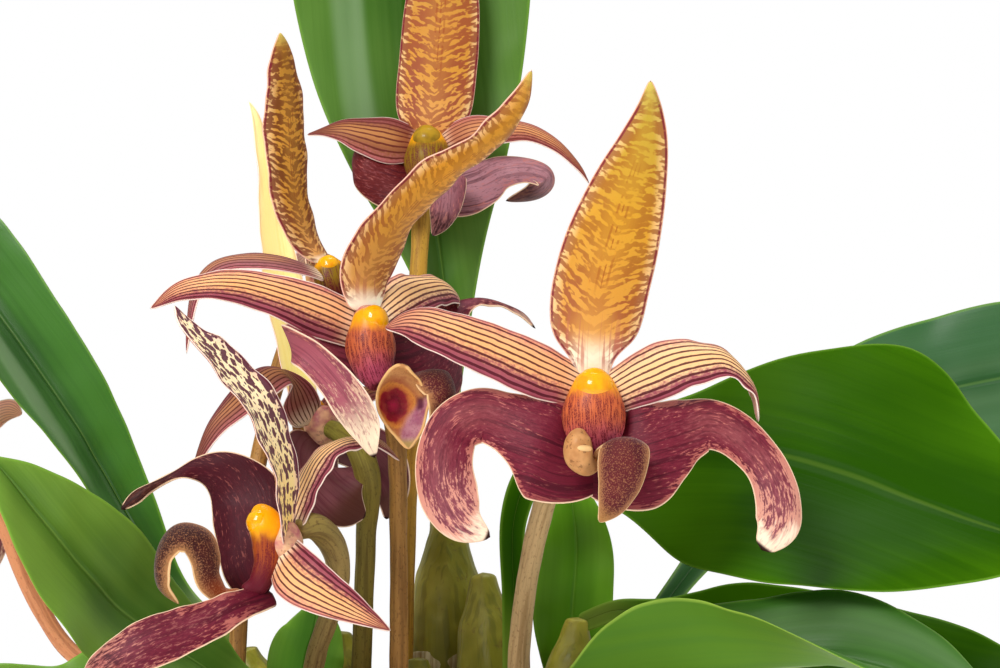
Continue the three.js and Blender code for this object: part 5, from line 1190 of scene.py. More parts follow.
LEAVES: Dict[str, Rows] = {
    "leaf_back": [
        [-2, 40, 136, 0, -1, 0, 2.4, 2.4, 0.3, 0], [-2, 44, 157, 0, -1, 0.05, 2.4, 2.4, 0.3, 0],
        [-2, 48, 178, 0, -1, 0.1, 3.5, 5.1, 0.2, 0], [-4, 50, 196, 0, -1, 0.1, 9, 10.6, 0, 0.12],
        [-7, 52, 217, 0, -1, 0.1, 18, 19.6, 0, 0.14], [-10, 54, 241, 0, -1, 0.1, 25, 26.6, 0, 0.14],
        [-12, 55, 269, 0, -1, 0.2, 28, 29.6, 0, 0.14], [-14, 53, 297, 0, -1, 0.3, 22, 23.6, 0, 0.14],
        [-15, 50, 315, 0, -1, 0.4, 12, 12, 0, 0.12], [-15, 47, 324, 0, -1, 0.4, 0.5, 0.5, 0, 0.1],
    ],
    "leaf_left_back": [
        [-47, 26, 105, 0.5, -0.8, 0.2, 2.4, 2.4, 0, 0.2], [-57, 30, 113, 0.5, -0.8, 0.3, 2.8, 2.8, 0, 0.2],
        [-66, 35, 121, 0.6, -0.8, 0.2, 4.4, 4.4, 0, 0.3], [-77, 40, 138, 0.7, -0.7, 0.3, 9.5, 8.5, 0, 0.4],
        [-89, 46, 157, 0.7, -0.7, 0.3, 18, 12.5, 0, 0.42],
        [-105, 54, 178, 0.7, -0.65, 0.35, 23.6, 14.5, 0, 0.4],
        [-123, 62, 200, 0.7, -0.6, 0.4, 26, 16.5, 0, 0.35], [-142, 68, 219, 0.7, -0.5, 0.5, 18, 12, 0, 0.3],
        [-154, 70, 230, 0.7, -0.5, 0.5, 0.5, 0.5, 0, 0.2],
    ],
    "leaf_left_front": [
        [-33, 1, 96, 0.2, -0.6, 0.8, 2.4, 2.4, 0, 0.3], [-45, -8, 101, 0.3, -0.7, 0.7, 7.5, 6, 0, 0.4],
        [-57, -18, 110, 0.4, -0.75, 0.6, 16, 11, 0, 0.42], [-68, -30, 120, 0.5, -0.8, 0.5, 21, 14.5, 0, 0.42],
        [-78, -42, 134, 0.6, -0.75, 0.4, 20.5, 13.5, 0, 0.4], [-86, -50, 146, 0.6, -0.7, 0.4, 11, 7, 0, 0.35],
        [-91, -54, 153, 0.6, -0.7, 0.4, 0.5, 0.5, 0, 0.2],
    ],
    "leaf_left_low": [
        [-50, 10, 101, 0, -0.6, 0.8, 2.4, 2.4, 0, 0.2], [-55, 2, 112, 0, -0.6, 0.8, 3, 3, 0, 0.2],
        [-60, -7, 111, 0, -0.7, 0.7, 4.6, 4.6, 0, 0.25], [-68, -15, 107, -0.1, -0.7, 0.7, 8, 8, 0, 0.3],
        [-77, -20, 101, -0.1, -0.7, 0.7, 9, 9, 0, 0.3], [-87, -25, 100, -0.1, -0.7, 0.7, 10, 10, 0, 0.3],
        [-97, -30, 101, -0.2, -0.7, 0.6, 8.5, 8.5, 0, 0.25],
        [-105, -34, 101, -0.2, -0.7, 0.6, 0.5, 0.5, 0, 0.2],
    ],
    "leaf_right": [
        [13, 6, 97, 0, -1, 0.1, 2.5, 2.5, 0.3, 0], [13, 8, 119, 0, -1, 0.1, 2.6, 2.6, 0.3, 0],
        [13, 8, 137, 0.1, -1, 0.1, 3, 3, 0.2, 0], [18.9, 8, 148.3, 0, -1, 0.3, 4, 5, 0, 0.1],
        [34.3, 6, 151.9, -0.1, -0.9, 0.45, 6.5, 15.2, 0, 0.15],
        [51, 2, 153.1, -0.1, -0.9, 0.45, 11.5, 28.6, 0, 0.18],
        [67.7, -4, 151.5, 0, -0.85, 0.5, 24, 35, 0, 0.18],
        [83.8, -12, 146.7, 0.1, -0.85, 0.5, 33.6, 35.6, 0, 0.18],
        [98.5, -20, 141.1, 0.2, -0.85, 0.5, 25.2, 30, 0, 0.18],
        [113, -27, 136.1, 0.3, -0.85, 0.4, 14.7, 15, 0, 0.18],
        [126.1, -32, 133.1, 0.3, -0.85, 0.4, 0.5, 0.5, 0, 0.1],
    ],
    "leaf_right_front": [
        [19, -18, 95, 0, 0.3, 0.95, 2.5, 2.5, 0, 0.5], [27, -22, 100, 0, 0.2, 0.95, 8, 8, 0, 1],
        [41, -28, 104, 0, 0.15, 1, 18, 18, 0.2, 1.2], [59, -36, 107, 0, 0.05, 1, 19, 19, 0.3, 1.15],
        [78, -42, 110, 0, -0.3, 0.95, 18, 19, 0.3, 0.75], [94, -47, 106, 0.2, -0.4, 0.9, 15, 16, 0.2, 0.5],
        [106, -50, 98, 0.4, -0.4, 0.8, 9, 9, 0.2, 0.3], [116, -52, 89, 0.5, -0.3, 0.8, 0.5, 0.5, 0, 0.2],
    ],
    "leaf_middle": [
        [25.5, 22, 93, 0, -1, 0, 2.5, 2.5, 0, 0.2], [26, 23, 103, 0.1, -1, 0, 7, 7, 0, 0.2],
        [26, 24, 115, 0.1, -1, 0, 9.2, 9.2, 0, 0.2], [27, 25, 129, 0.1, -1, 0.05, 8.2, 8.2, 0, 0.2],
        [26, 26, 140, 0.1, -1, 0.1, 5, 5, 0, 0.2], [25, 27, 150, 0.1, -1, 0.1, 0.5, 0.5, 0, 0.1],
    ],
    "leaf_right_back": [
        [33, 40, 95, 0, -1, 0.1, 2.4, 2.4, 0, 0.1], [42, 44, 107, 0, -1, 0.1, 2.4, 2.4, 0, 0.1],
        [56, 48, 125, 0, -1, 0.2, 3.4, 3.4, 0, 0.1], [73, 52, 144, -0.2, -1, 0.3, 8.5, 8.5, 0, 0.15],
        [94, 54, 159, -0.2, -1, 0.4, 14.5, 14.5, 0, 0.18], [115, 54, 164, 0, -1, 0.4, 18, 18, 0, 0.18],
        [138, 52, 168, 0.1, -1, 0.4, 17, 17, 0, 0.18], [158, 48, 166, 0.3, -1, 0.4, 8, 8, 0, 0.15],
        [167, 46, 163, 0.3, -1, 0.4, 0.5, 0.5, 0, 0.1],
    ],
    "leaf_right_low": [
        [27, 13, 113, 0, -0.8, 0.6, 2.4, 2.4, 0, 0.2], [36, 13.5, 116, 0, -0.8, 0.6, 3, 3, 0, 0.2],
        [46, 13, 114.5, 0, -0.8, 0.6, 5, 5, 0, 0.3], [62, 10, 112.5, 0, -0.7, 0.7, 11, 11, 0, 0.3],
        [84, 6, 108.5, 0, -0.6, 0.8, 14, 14, 0, 0.3], [105, 0, 103.5, 0.1, -0.6, 0.8, 13.5, 13.5, 0, 0.3],
        [123, -6, 100.5, 0.3, -0.6, 0.8, 8, 8, 0, 0.25], [134, -8, 98, 0.3, -0.6, 0.8, 0.5, 0.5, 0, 0.2],
    ],
    "leaf_new_growth": [
        [-34, 15, 87, 0, -1, 0, 5, 5, 0, 0.2], [-33, 15, 104, 0.1, -1, 0, 8.6, 8.6, 0, 0.2],
        [-31, 16, 112, 0.1, -1, 0, 6.4, 6.4, 0, 0.2], [-30, 17, 119, 0.1, -1, 0, 0.5, 0.5, 0, 0.1],
    ],
}

# Pseudobulbs: foot on the rhizome, top, and largest radius.
BULBS: List[Tuple[Row, Row, float]] = [
    ([-2, 36], [-2, 40, 137], 9.5), ([-43, 27], [-47, 26, 107], 6.5), ([-23, 10], [-33, 1.5, 98], 5),
    ([-48, 15], [-50, 10, 103], 6), ([10, 4], [13, 6, 99], 6), ([23, -22], [19, -17.5, 97], 5.5),
    ([27, 26], [25.5, 22.5, 95], 5.5), ([24, 11], [27, 13, 115], 6.5), ([30, 36], [33, 40, 97], 6),
    ([9, 21], [6, 24, 124], 8), ([-8, 12], [-8, 14, 106], 6), ([-25, 32], [-26, 33, 110], 6.5),
]

# The rhizome creeps from bulb to bulb, half out of the bark.
RHIZOME_RUNS: List[Rows] = [
    [[-48, 15], [-43, 27], [-25, 32], [-2, 36], [14, 31], [30, 36]],
    [[-2, 36], [9, 21], [-8, 12], [-23, 10]],
    [[9, 21], [10, 4], [22, -6], [23, -22]],
    [[9, 21], [24, 11], [27, 26]],
]


# ------------------------------------------------------------------ skins


REACH = 0.02  # how far to either side the direction of travel is read, as a share of the way
RUN_STEPS = 161  # how finely a run is measured
TURN_STEPS = 121  # how finely a stalk's frame is carried along it
APART = 7.31  # the shift between the markings of one seed and the next
SEEDS = 97  # after how many seeds the shift begins again
WELD = 2e-6  # points nearer than this many metres are one
HAIR = 1e-6  # a share too small to count
RIPPLES = 7  # how many slanting waves make a soft unevenness
RIPPLE_LEVEL = 3.2  # what their sum is divided by
SWELL_LENGTH = 9.0  # how many millimetres lie between the bumps of a blade's face
SKIN_LENGTH = 5.0  # the same on a stalk's skin


def stations(rows: Rows, shares: np.ndarray) -> np.ndarray:
    """Smooth values between rows.

    Args:
        rows: The stations, evenly placed from 0 to 1.
        shares: Where to read them.

    Returns:
        One row of values for each share.
    """
    table = np.array(rows, dtype=float)
    last = len(table) - 1
    padded = np.vstack([2 * table[0] - table[1], table, 2 * table[-1] - table[-2]])
    step = np.minimum((shares * last).astype(int), last - 1)
    u = (shares * last - step)[:, None]
    a, b, c, d = padded[step], padded[step + 1], padded[step + 2], padded[step + 3]
    bend = 2 * a - 5 * b + 4 * c - d
    twist = 3 * b - a - 3 * c + d
    return 0.5 * (2 * b + (c - a) * u + bend * u**2 + twist * u**3)


def unit(vectors: np.ndarray) -> np.ndarray:
    """The same directions with length 1."""
    return vectors / np.maximum(np.linalg.norm(vectors, axis=-1, keepdims=True), 1e-9)


def travel(rows: Rows, shares: np.ndarray) -> np.ndarray:
    """The direction of travel through the stations at each share."""
    near = stations(rows, np.clip(shares - REACH, 0, 1))[:, :3]
    far = stations(rows, np.clip(shares + REACH, 0, 1))[:, :3]
    return unit(far - near)


def walked(rows: Rows, shares: np.ndarray) -> Tuple[np.ndarray, float]:
    """How far along the stations each share lies, in millimetres, and the whole length."""
    dense = np.linspace(0, 1, RUN_STEPS)
    steps = np.linalg.norm(np.diff(stations(rows, dense)[:, :3], axis=0), axis=1)
    run = np.concatenate([[0], np.cumsum(steps)])
    return np.interp(shares, dense, run), float(run[-1])


def ease(values: np.ndarray, low: float, high: float) -> np.ndarray:
    """A soft step from 0 at low to 1 at high, or falling where low is above high."""
    t = np.clip((values - low) / (high - low), 0, 1)
    return t * t * (3 - 2 * t)


def ripple(points: np.ndarray, length: float, seed: int) -> np.ndarray:
    """Smooth seeded unevenness between about -1 and 1, with bumps of a given length."""
    draw = np.random.default_rng(seed)
    total = np.zeros(len(points))
    for _ in range(RIPPLES):
        direction = unit(draw.normal(size=3)) * (2 * np.pi / (length * draw.uniform(0.7, 1.6)))
        total += np.sin(points @ direction + draw.uniform(0, 2 * np.pi))
    return total / RIPPLE_LEVEL


@dataclass
class Surface:
    """Points of a skin in millimetres, with what its finish reads at each.

    Args:
        points: The places.
        share: How far along the piece, from 0 to 1.
        across: How far across, from -1 to 1.
        rim: How far in from the margin, in millimetres.
        side: 1 on the face, -1 on the back.
        flat: Millimetres across, along, and a third number that sets pieces apart.
        swept: The same with the run along it slanted away from the midrib.
    """

    points: np.ndarray
    share: np.ndarray
    across: np.ndarray
    rim: np.ndarray
    side: np.ndarray
    flat: np.ndarray
    swept: np.ndarray


@dataclass
class Blade:
    """A thin sheet of tissue: a sepal, a petal, a lip or a leaf.

    Args:
        rows: Midrib point, face direction, left and right half widths, arch and fold.
        thickness: Its thickness on the midrib.
        margin: The share of it that is left at the margins.
        ruffle: The height of the waves at its margins.
        waves: How many waves a margin has.
        swell: The height of the soft unevenness of its face.
        slant: How much its markings slant.
        seed: What sets its waves and markings apart.
    """

    rows: Rows
    thickness: float
    margin: float = 0.4
    ruffle: float = 0.3
    waves: float = 4.0
    swell: float = 0.15
    slant: float = 0.0
    seed: int = 0

    def surface(self, u: np.ndarray, w: np.ndarray) -> Surface:
        """Wrap the skin round the blade.

        Args:
            u: Shares of the way along.
            w: Shares of the way round a section, from one margin and back to it.

        Returns:
            The blade's surface.
        """
        value = stations(self.rows, u)
        along = travel(self.rows, u)
        aside = unit(np.cross(along, value[:, 3:6]))
        face = np.cross(aside, along)
        run, length = walked(self.rows, u)
        v = -np.cos(2 * np.pi * w)
        ring = np.sin(2 * np.pi * w)
        lift = np.sign(ring) * np.abs(ring) ** 0.5
        half = np.maximum(np.where(v < 0, value[:, 6], value[:, 7]), 0.3)
        arch = np.where(value[:, 8] < 0, -1, 1) * np.maximum(np.abs(value[:, 8]), 0.001)
        fold = value[:, 9] if value.shape[1] > 9 else np.zeros(len(u))
        lean = arch * np.abs(v)
        level = half * np.sin(lean) / arch
        drop = half * (1 - np.cos(lean)) / arch
        out = np.sign(v) * (level * np.cos(fold) + drop * np.sin(fold))
        up = level * np.sin(fold) - drop * np.cos(fold)
        tilt = np.sign(v) * (lean - fold) * np.minimum(1, np.abs(v) / 0.08)
        thick = self.thickness / 2 * (1 - (1 - self.margin) * v * v)
        taper = np.minimum(1, half / (1.5 * self.thickness))
        share = run / length
        draw = np.random.default_rng(self.seed)
        phase = draw.uniform(0, 2 * np.pi, 4)
        wave = np.where(v < 0, np.sin(2 * np.pi * self.waves * share + phase[0]),
                        np.sin(2 * np.pi * self.waves * 1.13 * share + phase[1]))
        wave = wave + 0.5 * np.sin(2 * np.pi * self.waves * 2.3 * share + phase[2] + v)
        calm = ease(share, 0.02, 0.25) * ease(share, 1.0, 0.85)
        mid = value[:, :3] + aside * (np.sign(v) * level)[:, None]
        swell = self.swell * ripple(mid, SWELL_LENGTH, self.seed + 5)
        up = up + calm * (self.ruffle * np.abs(v) ** 2.5 * wave + swell)
        points = value[:, :3] + aside * (out + lift * thick * taper * np.sin(tilt))[:, None]
        points = points + face * (up + lift * thick * taper * np.cos(tilt))[:, None]
        wide = v * half
        apart = np.full(len(u), APART * (self.seed % SEEDS))
        flat = np.stack([wide, run, apart], axis=1)
        lean_back = run - self.slant * np.abs(wide) * ease(share, 0.9, 0.2)
        swept = np.stack([wide, lean_back, apart], axis=1)
        return Surface(points, share, v, half * (1 - np.abs(v)), lift, flat, swept)


@dataclass
class Stalk:
    """A round or flattened stem, bulb or column.

    Args:
        rows: Centre and radius at each station.
        flatness: Its depth as a share of its width.
        ribs: How many ribs run along it.
        rib: Their height as a share of the radius.
        uneven: The height of its soft unevenness.
        seed: What sets its unevenness and markings apart.
    """

    rows: Rows
    flatness: float = 1.0
    ribs: int = 0
    rib: float = 0.0
    uneven: float = 0.1
    seed: int = 0

    def surface(self, u: np.ndarray, w: np.ndarray) -> Surface:
        """Wrap the skin round the stalk.

        Args:
            u: Shares of the way along.
            w: Shares of a turn.

        Returns:
            The stalk's surface.
        """
        dense = np.linspace(0, 1, TURN_STEPS)
        directions = travel(self.rows, dense)
        carried = np.zeros((len(dense), 3))
        aside = np.array([1.0, 0.0, 0.0])
        for i, direction in enumerate(directions):
            aside = unit(aside - direction * (aside @ direction))
            carried[i] = aside
        aside = unit(np.stack([np.interp(u, dense, carried[:, k]) for k in range(3)], axis=1))
        along = travel(self.rows, u)
        front = np.cross(aside, along)
        value = stations(self.rows, u)
        run, length = walked(self.rows, u)
        turn = 2 * np.pi * w
        radius = np.maximum(value[:, 3], 0.25)
        skin = radius * (1 + self.rib * np.cos(self.ribs * turn + 2 * u))
        middle = value[:, :3]
        base = middle + aside * (radius * np.cos(turn))[:, None] + front * (radius * np.sin(turn))[:, None]
        skin = skin + self.uneven * ripple(base, SKIN_LENGTH, self.seed + 3)
        x, y = skin * np.cos(turn), skin * self.flatness * np.sin(turn)
        points = middle + aside * x[:, None] + front * y[:, None]
        flat = np.stack([x, run, y + APART * (self.seed % SEEDS)], axis=1)
        one = np.ones(len(u))
        return Surface(points, run / length, np.sin(turn), 10 * one, one, flat, flat)


Shape = Union[Blade, Stalk]


class Weave(Enum):
    """How finely a skin is divided, along and round."""

    CLOSE = (60, 28)
    FAR = (40, 20)
    LEAF = (56, 24)
    STEM = (48, 14)
    FINE_STEM = (16, 6)


def clear_selection() -> None:
    """Leave edit mode and select nothing."""
    if bpy.context.object is not None and bpy.context.object.mode != "OBJECT":
        bpy.ops.object.mode_set(mode="OBJECT")
    bpy.ops.object.select_all(action="DESELECT")


def take(piece: bpy.types.Object) -> None:
    """Select one piece alone and make it active."""
    clear_selection()
    piece.select_set(True)
    bpy.context.view_layer.objects.active = piece


def scrap(piece: bpy.types.Object) -> None:
    """Remove a helper that has done its work, with its mesh."""
    mesh = piece.data
    bpy.data.objects.remove(piece)
    bpy.data.meshes.remove(mesh)


def refine(piece: bpy.types.Object) -> None:
    """Round a piece with one level of subdivision and apply it."""
    take(piece)
    rounding = piece.modifiers.new("rounding", "SUBSURF")
    rounding.levels = rounding.render_levels = 1
    bpy.ops.object.modifier_apply(modifier=rounding.name)


def sew(piece: bpy.types.Object) -> None:
    """Close the seam and the poles of a piece and turn its faces out."""
    take(piece)
    bpy.ops.object.mode_set(mode="EDIT")
    bpy.ops.mesh.select_all(action="SELECT")
    bpy.ops.mesh.remove_doubles(threshold=WELD)
    bpy.ops.mesh.normals_make_consistent(inside=False)
    bpy.ops.object.mode_set(mode="OBJECT")


def note(mesh: bpy.types.Mesh, name: str, values: np.ndarray) -> None:
    """Write one value or vector for each point of a mesh."""
    kind = "FLOAT_VECTOR" if values.ndim == 2 else "FLOAT"
    layer = mesh.attributes.new(name, kind, "POINT")
    key = "vector" if values.ndim == 2 else "value"
    layer.data.foreach_set(key, np.ascontiguousarray(values, dtype=np.float32).ravel())


def join(name: str, pieces: Sequence[bpy.types.Object]) -> bpy.types.Object:
    """Join pieces into one object with a new name."""
    clear_selection()
    for piece in pieces:
        piece.select_set(True)
    bpy.context.view_layer.objects.active = pieces[0]
    if len(pieces) > 1:
        bpy.ops.object.join()
    joined = bpy.context.view_layer.objects.active
    joined.name = name
    joined.data.name = name
    return joined


def wrap(name: str, shape: Shape, weave: Weave, placed: Optional[Matrix] = None) -> bpy.types.Object:
    """Turn a flat grid into the closed skin of a shape.

    Args:
        name: The new piece's name.
        shape: What the skin wraps.
        weave: How finely it is divided.
        placed: Where the shape's own frame stands.

    Returns:
        The piece, smooth, closed and in place.
    """
    steps, round_steps = weave.value
    clear_selection()
    bpy.ops.mesh.primitive_grid_add(x_subdivisions=round_steps, y_subdivisions=steps, size=2.0)
    piece = bpy.context.object
    piece.name = name
    mesh = piece.data
    mesh.name = name
    count = len(mesh.vertices)
    grid = np.empty(count * 3)
    mesh.vertices.foreach_get("co", grid)
    grid = grid.reshape(count, 3)
    u = np.clip((grid[:, 1] + 1) / 2, 0, 1)
    w = np.clip((grid[:, 0] + 1) / 2, 0, 1)
    skin = shape.surface(u, np.where(w > 1 - HAIR, 0.0, w))
    points = skin.points
    for end in (0.0, 1.0):
        ring = np.abs(u - end) < HAIR
        points[ring] = points[ring].mean(axis=0)
    if placed is not None:
        turned = np.array(placed)
        points = points @ turned[:3, :3].T + turned[:3, 3]
    mesh.vertices.foreach_set("co", (points * MM).ravel())
    for reading in ("share", "across", "rim", "side", "flat", "swept"):
        note(mesh, reading, getattr(skin, reading))
    sew(piece)
    refine(piece)
    bpy.ops.object.shade_smooth()
    return piece


def dress(piece: bpy.types.Object, finish: Finish, slot: str, nodes: Sequence[str] = ()) -> bpy.types.Object:
    """Give a piece its finish and tie it to the frame.

    Args:
        piece: The piece.
        finish: Its finish.
        slot: The record's material slot; not used.
        nodes: The solids that it stands for.

    Returns:
        The same piece.
    """
    piece.data.materials.clear()
    piece.data.materials.append(finish.material())
    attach(piece, BODY)
    if nodes:
        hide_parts(*nodes)
    LOG.info("%s: %d faces", piece.name, len(piece.data.polygons))
    return piece


# ------------------------------------------------------------------ blooms


# The anther cap's stations from its top: how far up, out and wide, the column's half width being 1.
CAP_ROWS: Rows = (
    (0.56, 0.10, 0.15), (0.45, 0.14, 0.55), (0.18, 0.2, 0.85), (-0.18, 0.3, 0.98), (-0.55, 0.42, 1.0),
    (-0.85, 0.5, 0.82), (-0.98, 0.46, 0.4),
)
# The stations of the heel's knob: right and front by the heel's half width, up in millimetres, and
# the radius by that half width and in millimetres.
KNOB_ROWS: Rows = (
    (-0.2, 0.78, 0.1, 0.0, 0.1), (0.0, 0.86, 0.06, 0.2, 0.0), (0.35, 0.9, 0.0, 0.26, 0.0),
    (0.75, 0.8, -0.1, 0.22, 0.0), (0.95, 0.7, -0.1, 0.0, 0.08),
)


@dataclass
class Dress:
    """The finishes of one bloom's organs.

    Args:
        dorsal: Its dorsal sepal.
        petals: Its left and right petal.
        laterals: Its left and right lateral sepal.
        column: Its column.
        cap: The anther cap.
        stem: Its scape.
        lip: Its lip.
    """

    dorsal: Finish
    petals: Sequence[Finish]
    laterals: Sequence[Finish]
    column: Finish
    cap: Finish
    stem: Finish
    lip: Finish = LipFinish("velvet_lip")


@dataclass
class Bloom:
    """One flower on its scape.

    Args:
        name: Its name in the frame.
        form: The stations of its organs.
        at: The middle of its column.
        scape: The stations of its scape.
        dress: The finishes of its organs.
        turn: Yaw, pitch and roll in degrees.
        size: Its scale.
        weave: How finely its organs are divided.
        look: The direction that its column faces.
        cap: The size of its anther cap.
        seed: What sets its markings apart.
    """

    name: str
    form: BloomForm
    at: Row
    scape: Rows
    dress: Dress
    turn: Row = (0, 0, 0)
    size: float = 1.0
    weave: Weave = Weave.CLOSE
    look: Row = (0, -1, 0)
    cap: float = 1.0
    seed: int = 1

    def placed(self) -> Matrix:
        """Where the bloom's own frame stands."""
        yaw, pitch, roll = (math.radians(angle) for angle in self.turn)
        turn = Matrix.Rotation(yaw, 4, "Z") @ Matrix.Rotation(pitch, 4, "X") @ Matrix.Rotation(roll, 4, "Y")
        return Matrix.Translation(Vector(self.at)) @ turn @ Matrix.Scale(self.size, 4)

    def calm(self) -> float:
        """How much of the waves the bloom's blades have: the rear blooms' are nearly still."""
        return 1.0 if self.weave is Weave.CLOSE else 0.1

    def set_back(self) -> float:
        """How many millimetres the lateral sepals stand back, to clear the petals of a rear bloom."""
        return 0.0 if self.weave is Weave.CLOSE else 1.5

    def add(self, part: str, shape: Shape, weave: Weave, finish: Finish, slot: str, node: str = "") -> None:
        """Wrap, place and dress one organ.

        Args:
            part: The organ's name.
            shape: Its shape in the bloom's own frame.
            weave: How finely it is divided.
            finish: Its finish.
            slot: The record's material slot.
            node: The solid that it stands for, if there is one.
        """
        piece = wrap(f"{self.name}_{part}", shape, weave, self.placed())
        dress(piece, finish, slot, [f"{self.name}_{node}"] if node else [])

    def make_dorsal(self) -> None:
        """The upper sepal."""
        blade = Blade(self.form.dorsal, 0.95, ruffle=0.35, waves=3.5, slant=0.7, seed=self.seed)
        self.add("dorsal", blade, self.weave, self.dress.dorsal, "dorsal_sepal", "dorsal_sepal")

    def make_petals(self) -> None:
        """Both petals and the receptacle where they meet."""
        for i, (rows, finish) in enumerate(zip(self.form.petals, self.dress.petals)):
            blade = Blade(rows, 0.9, ruffle=0.35 * self.calm(), waves=3.0, seed=self.seed + 10 + i)
            self.add(f"petal_{i}", blade, self.weave, finish, "petal", "petals")
        x, y, z, radius = self.form.hub
        rows = [[x, y, z - radius, 0.6], [x, y, z - 0.8 * radius, 0.62 * radius], [x, y, z, radius],
                [x, y, z + 0.8 * radius, 0.62 * radius], [x, y, z + radius, 0.6]]
        skin = CapFinish("receptacle_skin", "E9B98E", "B9606A", 0.5, 0.3, 0.1)
        self.add("receptacle", Stalk(rows, seed=self.seed), Weave.FINE_STEM, skin, "petal")

    def make_laterals(self) -> None:
        """Both lateral sepals."""
        for i, (rows, finish) in enumerate(zip(self.form.laterals, self.dress.laterals)):
            back = self.set_back() / 2
            rows = [[row[0], row[1] + back * min(k, 2), *row[2:]] for k, row in enumerate(rows)]
            calm, seed = self.calm(), self.seed + 20 + i
            blade = Blade(rows, 0.95, ruffle=0.3 * calm, waves=4.0, swell=0.22 * calm, seed=seed)
            self.add(f"lateral_{i}", blade, self.weave, finish, "lateral_sepal", "lateral_sepals")

    def make_lip(self) -> None:
        """The fleshy lip with its heel or its hollow hood, where the bloom shows one."""
        blade = Blade(self.form.lip, 1.3, margin=0.6, ruffle=0.12, swell=0.2, seed=self.seed + 30)
        self.add("tongue", blade, self.weave, self.dress.lip, "lip", "lip")
        if self.form.heel and self.weave is Weave.CLOSE:
            heel = CapFinish("tan_heel", "D09A62", "B47C4A", 0.5, 0.5, 0.05)
            self.add("heel", Stalk(self.form.heel, seed=self.seed + 34), Weave.FAR, heel, "lip", "lip")
            x, y, z, wide = self.form.heel[len(self.form.heel) // 2]
            knob = [[x + right * wide, y - front * wide, z + rise, girth * wide + least]
                    for right, front, rise, girth, least in KNOB_ROWS]
            pale = CapFinish("pale_knob", "E8BE84", "C08A50", 0.5, 0.1, 0.05)
            self.add("heel_knob", Stalk(knob, seed=self.seed + 35), Weave.FINE_STEM, pale, "lip")
        if self.form.hood:
            hood = Blade(self.form.hood, 1.2, margin=0.6, ruffle=0.15, swell=0.15, seed=self.seed + 36)
            self.add("hood", hood, self.weave, HoodFinish("ochre_hood"), "lip", "lip")

    def make_column(self) -> None:
        """The column and the glossy anther cap on its front."""
        stalk = Stalk(self.form.column, flatness=0.82, uneven=0.12, seed=self.seed + 40)
        self.add("pillar", stalk, Weave.FAR, self.dress.column, "column", "column")
        middle = stations(self.form.column, np.array([0.22]))[0]
        wide = middle[3] * self.cap
        front = unit(np.array(self.look, dtype=float))
        rows = [[*(middle[:3] + front * out * wide + np.array([0, 0, rise * wide])), width * wide * 0.97]
                for rise, out, width in CAP_ROWS]
        anther = Stalk(rows, uneven=0.05, seed=self.seed + 44)
        self.add("anther_cap", anther, Weave.FAR, self.dress.cap, "column")

    def make_scape(self) -> None:
        """The stalk from the bark to the bloom's back."""
        piece = wrap(f"{self.name}_stem", Stalk(self.scape, uneven=0.12, seed=self.seed + 50), Weave.STEM)
        dress(piece, self.dress.stem, "scape", [f"{self.name}_scape"])

    def make(self) -> None:
        """Build and dress the whole bloom."""
        self.make_dorsal()
        self.make_petals()
        self.make_laterals()
        self.make_lip()
        self.make_column()
        self.make_scape()


